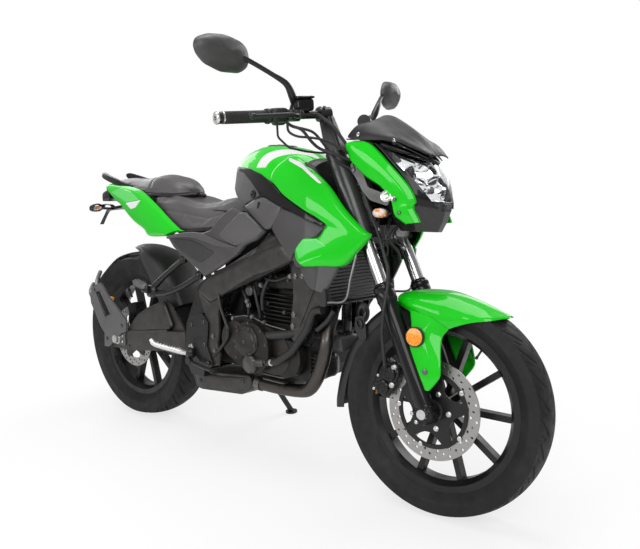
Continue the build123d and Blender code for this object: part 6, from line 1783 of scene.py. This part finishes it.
def polyline_by_corner(outline, steps):
    """A closed outline with the same number of steps from each corner to the next."""
    corners = np.asarray(outline, float)
    return rail(np.concatenate([corners, corners[:1]]), steps, False)[:-1]


guard_arm = mm((-153, 488), (-117, 503), (-97, 509), (-50, 465), (6, 427), (51, 395), (67, 386), (67, 344),
    (39, 334), (29, 328), (-50, 270), (-79, 268), (-77, 319), (-105, 343), (-143, 394), (-167, 425),
    (-172, 458))
guard_slot = mm((-134, 472), (-115, 478), (-100, 481), (-63, 438), (-42, 412), (-31, 402), (-29, 398),
    (-33, 394), (-45, 389), (-54, 385), (-66, 379), (-71, 378), (-79, 388), (-90, 405), (-104, 426),
    (-119, 449), (-129, 463))
arm_face = slotted_plate(guard_arm, guard_slot, -0.1445, -0.136)
slot_lip = tube([(x, -0.145, z) for x, z in guard_slot + guard_slot[:2]], 0.0026, 90, 8, straight=True)
arm_bars = joined(tube(mm((-128, -140, 492), (-190, -100, 508), (-235, -58, 534)), 0.008, 16, 12),
    tube(mm((-158, -140, 444), (-240, -100, 458), (-292, -56, 480)), 0.008, 16, 12))
pair("guard_arms", joined(arm_face, slot_lip, arm_bars), arm_grey, bevel=0.0014)
pair("guard_arm_bolts", bolts(mm((-140, -144.5, 478), (-60, -144.5, 300), (40, -144.5, 362)), 0.007, 0.004,
        "hex"), dark_steel)
pair("guard_reflectors", rounded_box((-0.088, -0.104, 0.446), (0.03, 0.012, 0.016), 4), reflector_amber)
pair("guard_reflector_stems", tube(mm((-85, -104, 440), (-60, -118, 420), (-50, -136, 410)), 0.004, 10, 10),
    black_plastic)

# ---- swingarm
arm_beam = mm((-10, 328), (21, 331), (303, 375), (420, 386), (430, 316), (345, 298), (200, 300), (16, 279),
    (-10, 282))
pair("swingarm_skins", patch(arm_beam, (0.21, 0.332), lambda x, z: 0.1312 + 0 * x, 0.004, 0.007, 0.001,
        rings=10, count=120), frame_paint)
gusset = mm((49, 340), (60, 358), (116, 412), (179, 445), (262, 474), (278, 470), (322, 396), (306, 378))
pair("swingarm_gussets", patch(gusset, (0.21, 0.4), lambda x, z: 0.1295 + 0 * x, 0.004, 0.006, 0.001,
        rings=8, count=90), frame_paint)
ledge = tube(mm((30, -130, 334.5), (170, -130, 356), (300, -130, 376.5)), 0.0048, 24, 10)
pair("swingarm_ledges", ledge, frame_paint)
adjuster = rounded(mm((-40, 284), (-40, 330), (52, 338), (52, 288)), 0.004)
pair("chain_adjusters", plate(adjuster, -0.1345, -0.1385), dark_steel, bevel=0.0008)
pair("rear_axle_nuts", joined(bolts([(0.0, -0.1385, 0.307)], 0.0165, 0.011, "hex"),
        revolved(mm((0, 1), (0, 20), (2, 20), (2, 1)), (0.0, -0.1385, 0.307), to_right, 28),
        bolts(mm((34, -138.5, 322), (34, -138.5, 300)), 0.0045, 0.003)), steel)
pair("adjuster_screws", joined(tube(mm((-40, -128, 307), (-66, -128, 304)), 0.0036, 8, 12),
        bolts([(-0.052, -0.128, 0.3056)], 0.0075, 0.006, "hex", axis=(-1, 0, -0.11))), steel)
pair("pivot_bolts", joined(bolts([(0.465, -0.1525, 0.345)], 0.0145, 0.008, "hex"),
        revolved(mm((0, 1), (0, 18), (1.5, 18), (1.5, 1)), (0.465, -0.152, 0.345), to_right, 28)), steel)

# ---- pillion pegs and levers
arm_high = mm((400, -128, 634), (372, -140, 612), (330, -150, 580), (289, -156, 548), (262, -160, 524))
arm_low = mm((492, -136, 588), (452, -146, 563), (400, -152, 538), (340, -157, 517), (266, -160, 505))
arm_radii = np.interp(np.linspace(0, 1, 30), [0, 0.1, 0.5, 1], [0.013, 0.01, 0.0095, 0.012])
boss = mm((-6, 1), (-6, 15), (6, 15), (8, 12), (8, 1))
knuckle = joined(rounded_box((0.262, -0.163, 0.514), (0.052, 0.026, 0.044), 3.4),
    rounded_box((0.25, -0.18, 0.522), (0.034, 0.024, 0.026), 4), revolved(boss, (0.402, -0.134, 0.635),
        to_right, 28), revolved(boss, (0.494, -0.142, 0.589), to_right, 28))
pair("pillion_peg_arms", joined(tube(arm_high, arm_radii, 30, 16), tube(arm_low, arm_radii, 30, 16),
        knuckle), satin_black)
pair("pillion_arm_bolts", bolts(mm((402, -142, 635), (494, -150, 589), (262, -176, 505)), 0.006, 0.003),
    bolt_steel)
peg_middle = np.array([0.226, -0.188, 0.538])
peg_axes = np.array([unit([-0.92, -0.06, 0.18]), unit([0.0, 0.95, 0.3]),
        unit(np.cross([-0.92, -0.06, 0.18], [0.0, 0.95, 0.3]))])
peg_body = rounded_box(peg_middle, (0.066, 0.024, 0.02), 3.6, 15, 32, axes=peg_axes)
peg_pads = [rounded_box(peg_middle + peg_axes[0] * (k * 0.01), (0.004, 0.027, 0.023), 5, 9, 20,
        axes=peg_axes) for k in (-2, -1, 0, 1, 2)]
pair("pillion_pegs", joined(peg_body, *peg_pads), silver_grey)
toe_lever = tube(mm((482, -182, 308), (540, -183, 300), (600, -186, 296), (632, -192, 300)), 0.006, 30, 14)
toe_pad = rounded_box((0.634, -0.202, 0.302), (0.024, 0.032, 0.018), 2.8)
shift_lever = tube(mm((482, 182, 308), (540, 183, 312), (610, 184, 322), (650, 188, 331)), 0.0055, 30, 14)
shift_pad = rounded_box((0.65, 0.202, 0.331), (0.018, 0.034, 0.018), 2.4)
lever_eye = revolved(mm((-7, 1), (-7, 12.5), (7, 12.5), (7, 1)), (0.484, -0.182, 0.308), to_right, 28)
piece("foot_lever_arms", joined(toe_lever, shift_lever, both_sides(lever_eye)), satin_black,
    replaces=["foot_levers"])
piece("foot_lever_pads", joined(toe_pad, shift_pad), rubber, slot="grip_rubber")
pair("brake_stay_tubes", tube(mm((602, -154, 536), (618, -160, 502), (648, -166, 458), (662, -167, 432),
        (652, -165, 402), (612, -160, 362), (578, -156, 336)), 0.0055, 44, 12), satin_black)
hanger_plate = rounded(mm((452, 432), (520, 470), (556, 440), (548, 360), (580, 300), (540, 286),
        (492, 322), (440, 330)), 0.012)
pair("peg_hanger_plates", plate(hanger_plate, -0.1535, -0.16), satin_black, bevel=0.0012)
pair("peg_hanger_bolts", bolts(mm((532, -160, 440), (536, -160, 366), (552, -160, 306), (470, -160, 424)),
        0.0075, 0.004), bolt_steel)
peg_root, peg_end = np.array([0.462, -0.17, 0.328]), np.array([0.394, -0.258, 0.364])
peg_way = unit(peg_end - peg_root)
peg_frame = np.array([peg_way, unit(np.cross([0, 0, 1], peg_way)),
        unit(np.cross(peg_way, np.cross([0, 0, 1], peg_way)))])
peg_bar = tube([peg_root, peg_root + 0.3 * (peg_end - peg_root), peg_end - 0.01 * peg_way,
        peg_end + [-0.008, -0.004, 0.014]], np.interp(np.linspace(0, 1, 30), [0, 0.2, 0.9, 1],
        [0.0085, 0.0105, 0.009, 0.0055]), 30, 16)
peg_teeth = [rounded_box(peg_root + (0.2 + 0.082 * k) * (peg_end - peg_root) + [0, 0, 0.007],
        (0.004, 0.021, 0.008), 5, 7, 16, axes=peg_frame) for k in range(9)]
pair("rider_pegs", joined(peg_bar, *peg_teeth), silver, replaces=["footpegs"])
pair("rider_peg_pivots", joined(rounded_box((0.474, -0.168, 0.33), (0.034, 0.026, 0.034), 3.2),
        revolved(mm((-18, 1), (-18, 7), (18, 7), (18, 1)), (0.47, -0.172, 0.33), (0.3, 0, 1), 20)),
    satin_black)


# ---- shock spring
def coil(foot, head, radius, wire, turns, count=220):
    """A helix round the line from foot to head, its ends drawn flat."""
    foot, head = np.asarray(foot, float), np.asarray(head, float)
    side, over = basis(head - foot)
    share = np.linspace(0, 1, count)
    angle = 2 * np.pi * turns * share
    height = np.interp(share, [0, 0.06, 0.94, 1], [0, 0.02, 0.98, 1])
    path = foot + height[:, None] * (head - foot) + radius * (np.cos(angle)[:, None] * side
        + np.sin(angle)[:, None] * over)
    return tube(path, wire, count, 12, straight=True)


shock_foot, shock_head = np.array([0.396, 0, 0.385]), np.array([0.47, 0, 0.545])
piece("shock_spring", coil(shock_foot + 0.1 * (shock_head - shock_foot),
        shock_foot + 0.86 * (shock_head - shock_foot), 0.0225, 0.005, 6.5), satin_black)
piece("shock_body", revolved(mm((-16, 2), (-16, 12), (-4, 13), (0, 26), (12, 27), (16, 16), (70, 14),
        (120, 16), (150, 17), (152, 27), (168, 27), (172, 18), (196, 14), (200, 2)), shock_foot,
        shock_head - shock_foot, 40), charcoal_gloss, replaces=["shock_absorber"], slot="engine_alloy")
piece("shock_mounts", joined(rounded_box((0.388, 0, 0.378), (0.026, 0.03, 0.028), 4),
        rounded_box((0.484, 0, 0.594), (0.036, 0.03, 0.034), 4), tube(mm((466, 0, 538), (486, 0, 590)),
        0.011, 8, 16)), satin_black)
piece("electrics_box", rounded_box((0.43, 0.074, 0.482), (0.14, 0.056, 0.116), 6), black_plastic)


# ---- chain and sprockets
rear_sprocket_centre, front_sprocket_centre = rear_axle, np.array([0.56, 0, 0.352])
rear_pitch_radius, front_pitch_radius = 0.0935, 0.037
chain_line = 0.081


def chain_path(count):
    """Equal steps round the two sprockets: the upper and lower straight runs touch both pitch
    circles, at the angle whose sine is the difference of radii over the distance."""
    back, front = rear_sprocket_centre[[0, 2]], front_sprocket_centre[[0, 2]]
    back_radius, front_radius = rear_pitch_radius, front_pitch_radius
    gap = front - back
    heading, spread = math.atan2(gap[1], gap[0]), math.asin((back_radius - front_radius) / np.hypot(*gap))
    rear = np.linspace(heading + np.pi / 2 - spread, heading + 1.5 * np.pi + spread, 90)
    fore = np.linspace(heading - np.pi / 2 + spread, heading + np.pi / 2 - spread, 60)
    loop = np.concatenate([back + back_radius * np.column_stack([np.cos(rear), np.sin(rear)]),
            front + front_radius * np.column_stack([np.cos(fore), np.sin(fore)])])
    return polyline(side_view(loop, chain_line), count, closed=True)


def chain_link(start, end, wide):
    """Two waisted plates between neighbouring pins, and the roller on the first pin."""
    middle, way = (start + end) / 2, unit(end - start)
    over = np.cross(way, [0, 1, 0])
    angle = np.linspace(0, 2 * np.pi, 14, endpoint=False)[:, None]
    outline = middle + 0.0115 * np.cos(angle) * way + (0.0042
        + 0.003 * np.cos(angle) ** 2) * np.sin(angle) * over
    plates = [loft([outline + [0, side * half, 0] for half in (wide, wide + 0.0016)][::side])
        for side in (1, -1)]
    return joined(*plates, revolved(mm((-7.5, 0.5), (-7.5, 4), (7.5, 4), (7.5, 0.5)), start, (0, 1, 0), 10))


pins = chain_path(104)
piece("chain_links",
    joined(*[chain_link(start, end, 0.0046 + 0.0017 * (index % 2))
        for index, (start, end) in enumerate(zip(pins, np.roll(pins, -1, axis=0)))]), chain_steel,
    replaces=["drive_chain"])


def toothed_ring(centre, inner, outer, teeth, y_near, y_far):
    """A ring whose rim rises and falls as a flattened sine, one wave for each tooth."""
    angle = np.linspace(0, 2 * np.pi, teeth * 8, endpoint=False)
    rim = outer + 0.0034 * np.clip(1.5 * np.sin(teeth * angle), -1, 1)
    flats = [np.column_stack([centre[0] + radius * np.cos(angle), centre[2] + radius * np.sin(angle)])
        for radius in (inner, rim)]
    order = ((flats[0], y_near), (flats[1], y_near), (flats[1], y_far), (flats[0], y_far))
    return loft([side_view(flat, y) for flat, y in order], closed=True)


piece("rear_sprocket_teeth", toothed_ring(rear_sprocket_centre, 0.08, rear_pitch_radius, 42, 0.0835,
        0.0785), dark_steel, "rear_wheel")
piece("front_sprocket_teeth", toothed_ring(front_sprocket_centre, 0.02, 0.0372, 15, 0.0835, 0.0785),
    dark_steel)
sprocket_bolts = ring_places((0.0, 0.0845, 0.307), (0, 1, 0), 0.048, 6, 0.5)
piece("rear_sprocket_bolts", bolts(sprocket_bolts, 0.0075, 0.006, "hex", axis=(0, 1, 0)), bolt_steel,
    "rear_wheel")


# ---- frame skins
def spar_skin(x, z):
    """Flat flank whose upper edge leans in above a line that climbs with the spar."""
    line = 0.566 + 0.4 * (x - 0.53)
    return 0.1525 - 0.42 * np.clip(z - line, 0, 0.03)


spar = mm((494, 534), (531, 578), (600, 614), (681, 658), (771, 700), (818, 742), (872, 722), (926, 668),
    (839, 632), (761, 608), (676, 566), (610, 530), (556, 505))
pair("spar_skins", patch(spar, (0.7, 0.615), spar_skin, 0.003, 0.008, 0.003, rings=16, count=150),
    frame_paint)
pivot_plate = mm((494, 537), (556, 505), (614, 532), (603, 500), (595, 468), (598, 421), (589, 374),
    (600, 345), (594, 303), (561, 296), (532, 312), (527, 340), (537, 372), (534, 430), (520, 505))
pair("pivot_plate_skins", patch(pivot_plate, (0.566, 0.4), lambda x, z: 0.1515 + 0 * x, 0.003, 0.007, 0.002,
        rings=12, count=120), frame_paint)
pair("frame_bolt_heads", bolts(mm((572, -153.5, 398), (580, -153.5, 350), (900, -152, 690)), 0.008, 0.004,
        "hex"), dark_steel)
hanger = rounded(mm((898, 660), (960, 660), (1002, 601), (1032, 590), (1028, 568), (984, 508), (960, 474),
        (945, 440), (919, 412), (893, 438), (898, 508), (905, 558)), 0.01)
pair("engine_hangers", plate(hanger, -0.1225, -0.129), frame_paint, bevel=0.0018)
rib = rounded(mm((925, 640), (958, 636), (990, 586), (958, 520), (932, 470), (920, 520), (928, 580)), 0.008)
pair("engine_hanger_ribs", plate(rib, -0.129, -0.1315), frame_paint, bevel=0.001)
pair("engine_hanger_bolts",
    bolts(mm((915, -129, 618), (944, -131.5, 622), (909, -129, 505), (905, -129, 470), (1014, -129, 582),
        (944, -129, 440)), 0.0085, 0.005, "hex"), dark_steel)

# ---- engine
clutch_centre = np.array([0.735, -0.16, 0.405])
cover_cap = revolved(mm((-20, 2), (-20, 50), (0, 50), (4, 47), (5, 40), (9, 36), (11, 26), (11.5, 10),
        (10.5, 1)), clutch_centre, to_right, 64)
pair("clutch_cover_cap", cover_cap, cover_paint)
cap_bolts = ring_places(clutch_centre - [0, 0.004, 0], to_right, 0.0435, 5, 0.5)
pair("clutch_cover_bolts", joined(bolts(cap_bolts, 0.0048, 0.004, "hex"),
        bolts([(0.735, -0.171, 0.405)], 0.0065, 0.003)), bolt_steel)
outer_case = rounded(mm((690, 330), (676, 380), (684, 440), (716, 466), (772, 466), (812, 440), (830, 400),
        (826, 350), (800, 318), (740, 306)), 0.022, 6)
pair("clutch_cases", plate(outer_case, -0.12, -0.158), engine_paint, bevel=0.004)
rim_bolts = mm((692, 350), (682, 400), (694, 446), (744, 462), (798, 444), (820, 406), (816, 354),
    (772, 316))
pair("clutch_case_bolts", bolts([(x, -0.158, z) for x, z in rim_bolts], 0.0045, 0.004, "hex"), bolt_steel)
front_case = rounded(mm((812, 330), (826, 395), (872, 430), (920, 420), (938, 372), (922, 326), (868, 304)),
    0.02, 6)
pair("stator_cases", plate(front_case, -0.096, -0.132), engine_paint, bevel=0.004)
fins = [rounded_box((0.8 + 0.002 * k, -0.104, 0.352 - 0.0165 * k), (0.12 - 0.006 * k, 0.03, 0.0075), 6, 9,
        28) for k in range(5)]
pair("sump_fins", joined(*fins), rib_alloy)
sump = rounded(mm((640, 330), (760, 318), (850, 330), (880, 300), (856, 262), (780, 246), (690, 252),
        (640, 284)), 0.02)
piece("sump_body", plate(sump, -0.09, 0.09), engine_paint, bevel=0.003)
pump = joined(revolved(mm((-30, 2), (-30, 28), (0, 28), (5, 24), (7, 12), (6, 1)), (0.756, -0.166, 0.338),
        to_right, 40), tube(mm((760, -158, 340), (784, -154, 345), (806, -149, 348)), 0.0135, 10, 20),
    revolved(mm((0, 1), (0, 14), (14, 14), (16, 10), (16, 1)), (0.752, -0.15, 0.364), (-0.2, -0.4, 1), 24))
piece("water_pump", pump, rib_alloy)
pump_bolts = ring_places((0.756, -0.1665, 0.338), to_right, 0.0235, 4, 0.4)
piece("water_pump_bolts", joined(bolts(pump_bolts, 0.004, 0.005, "hex"),
        bolts([(0.7487, -0.157, 0.38)], 0.007, 0.007, "hex", axis=(-0.2, -0.4, 1))), bolt_steel)
barrel_fins = []
for level in range(8):
    share = level / 7
    centre = np.array([0.812 - 0.018 * share, 0, 0.462 + 0.088 * share])
    barrel_fins.append(rounded_box(centre, (0.15, 0.2, 0.005), 7, 7, 32))
piece("cylinder_fins", joined(*barrel_fins), engine_paint)
head_cover = rounded_box((0.8, 0, 0.59), (0.17, 0.19, 0.06), 5, 15, 36)
piece("head_cover", head_cover, engine_paint, sharp=40)
pair("head_cover_bolts",
    bolts(mm((745, -95.2, 600), (800, -95.2, 606), (852, -95.2, 600), (770, -100.2, 520),
        (842, -100.2, 500)), 0.006, 0.005, "hex"), bolt_steel)
throttle_body = joined(revolved(mm((-40, 2), (-40, 26), (-12, 26), (-10, 30), (10, 30), (12, 25), (40, 25),
        (40, 2)), (0.705, -0.06, 0.56), (0.96, 0, -0.26), 36),
    rounded_box((0.706, -0.094, 0.566), (0.04, 0.034, 0.044), 4),
    revolved(mm((0, 2), (0, 16), (20, 16), (24, 10), (24, 2)), (0.712, -0.106, 0.556), to_right, 28))
piece("throttle_body", throttle_body, rib_alloy)
piece("engine_fittings",
    joined(bolts(mm((707, -120, 510), (700, -120, 521), (722, -120, 474), (774, -122, 462)), 0.007, 0.007,
        "hex"), tube(mm((716, -118, 476), (748, -122, 468), (790, -120, 458), (860, -112, 449)), 0.003, 20,
        10), tube(mm((646, -128, 462), (668, -124, 470), (700, -116, 474)), 0.003, 12, 10),
        bolts(mm((645, -130, 462), (753, -112, 576), (807, -106, 627), (870, -104, 612)), 0.007, 0.006,
        "hex"), rounded_box((0.775, -0.118, 0.452), (0.02, 0.012, 0.022), 4)), fitting_steel)
hoses = joined(tube(mm((742, -138, 386), (752, -142, 408), (782, -142, 424), (844, -138, 436),
        (900, -120, 446), (940, -90, 462)), 0.0135, 50, 20),
    tube(mm((700, -100, 600), (726, -116, 566), (742, -118, 520), (748, -112, 480), (740, -112, 450)),
        0.0048, 30, 12), tube(mm((790, -104, 610), (778, -116, 580), (764, -118, 540), (760, -112, 500)),
        0.006, 30, 12), tube(mm((660, -90, 600), (668, -112, 560), (690, -118, 530), (700, -116, 490),
        (690, -114, 450)), 0.0042, 30, 12),
    tube(mm((860, -100, 610), (820, -116, 596), (780, -118, 600), (740, -112, 616)), 0.004, 24, 12),
    tube(mm((998, -128, 470), (1030, -120, 500), (1046, -112, 530)), 0.007, 20, 14))
piece("engine_hoses", hoses, cable_rubber)
piece("hose_clamps", joined(lathe_ring(mm((-5, 13.4), (-5, 15), (5, 15), (5, 13.4)), (0.79, -0.1418, 0.426),
        (0.93, 0.06, 0.2), 32), lathe_ring(mm((-5, 10.8), (-5, 12.6), (5, 12.6), (5, 10.8)),
        (0.836, -0.1465, 0.355), (0.95, 0.05, 0.25), 32)), steel)
regulator = joined(rounded_box((0.952, -0.05, 0.352), (0.09, 0.07, 0.072), 5),
    *[rounded_box((0.952, -0.087, 0.328 + 0.012 * k), (0.08, 0.012, 0.005), 5, 7, 20) for k in range(5)])
piece("oil_filter_housing", regulator, charcoal_gloss, slot="engine_alloy")

# ---- exhaust
header_path = mm((945, -28, 562), (968, -36, 546), (996, -60, 512), (1012, -94, 470), (1018, -110, 430),
    (1008, -113, 378), (984, -112, 322), (952, -108, 286), (910, -103, 272), (830, -100, 264),
    (728, -100, 262))
piece("header_pipe", tube(header_path, 0.02, 90, 28), header_steel, replaces=["exhaust_header"])
piece("header_collars",
    joined(lathe_ring(mm((-10, 18), (-10, 22.5), (12, 22.5), (12, 18)), (0.735, -0.1, 0.262), (1, 0, 0),
        40), lathe_ring(mm((-4, 18), (-4, 29), (5, 29), (5, 18)), (0.96, -0.032, 0.553),
        (0.85, -0.15, -0.45), 40), tube(mm((905, -66, 330), (908, -66, 272)), 0.0042, 8, 10)), dark_steel)
muffler_side = rounded(mm((404, 242), (426, 196), (450, 191), (655, 211), (688, 230), (702, 262),
        (690, 280), (425, 254)), 0.01)
piece("muffler_body", plate(muffler_side, -0.106, 0.03), muffler_paint, replaces=["belly_muffler"],
    bevel=0.004)
muffler_face = mm((412, 240), (430, 200), (452, 197), (650, 217), (680, 234), (691, 260), (682, 272),
    (430, 248))
piece("muffler_skins", mirrored(patch(muffler_face, (0.56, 0.234), lambda x, z: 0.1085 + 0 * x, 0.003,
        0.012, 0.003, rings=10, count=110)), muffler_paint)
piece("muffler_bolts", bolts(mm((450, -111, 222), (664, -111, 256)), 0.0065, 0.003), bolt_steel)

# ---- radiator
radiator_foot, radiator_head = np.array([1.0585, 0, 0.552]), np.array([1.0365, 0, 0.701])
radiator_up = unit(radiator_head - radiator_foot)
radiator_out = unit(np.array([radiator_up[2], 0, -radiator_up[0]]))
radiator_frame = np.array([radiator_out, [0, 1, 0], radiator_up])
radiator_middle = (radiator_foot + radiator_head) / 2
# grey core behind the slats: partly the fins' own metal, partly painted light in the gaps
piece("radiator_core", rounded_box(radiator_middle - radiator_out * 0.016, (0.026, 0.29, 0.146), 9, 9, 28,
        axes=radiator_frame), core_metal_and_gap_light, replaces=["radiator"])
slats = [rounded_box(radiator_foot + radiator_up * (0.008 + level * 0.0095) - radiator_out * 0.001,
        (0.012, 0.288, 0.004), 8, 5, 16, axes=radiator_frame) for level in range(15)]
piece("radiator_slats", joined(*slats), slat_paint)
pair("radiator_tanks", joined(rounded_box(radiator_middle - [0, 0.151, 0] - radiator_out * 0.013,
        (0.036, 0.022, 0.158), 5, 13, 24, axes=radiator_frame), rounded_box((1.004, -0.152, 0.628),
        (0.034, 0.02, 0.04), 5)), black_plastic)
piece("radiator_rails",
    joined(*[rounded_box(end - radiator_out * 0.008, (0.026, 0.3, 0.008), 6, 9, 24, axes=radiator_frame)
        for end in (radiator_foot, radiator_head)]), charcoal_gloss)
pair("radiator_struts", tube(mm((1062, -154, 560), (1121, -152, 573), (1135, -146, 634), (1147, -138, 697)),
        0.0034, 24, 10), fitting_steel)
piece("horn", joined(revolved(mm((-10, 4), (-10, 26), (0, 31), (4, 31), (5, 26), (2, 16), (6, 9), (6, 1)),
        (1.044, 0.02, 0.508), (1, 0, 0.1), 48), rounded_box((1.026, -0.03, 0.496), (0.01, 0.04, 0.092), 6),
        rounded_box((1.022, -0.03, 0.452), (0.034, 0.04, 0.008), 6),
        rounded_box((1.034, 0.02, 0.536), (0.008, 0.024, 0.044), 6)), satin_black)
piece("lower_tray", rounded_box((1.018, -0.03, 0.424), (0.05, 0.086, 0.046), 6,
        axes=np.array([unit([1, 0, 0.15]), [0, 1, 0], unit([-0.15, 0, 1])])), charcoal_plastic)


# ---- view transform and end
bpy.context.scene.view_settings.view_transform = "Standard"
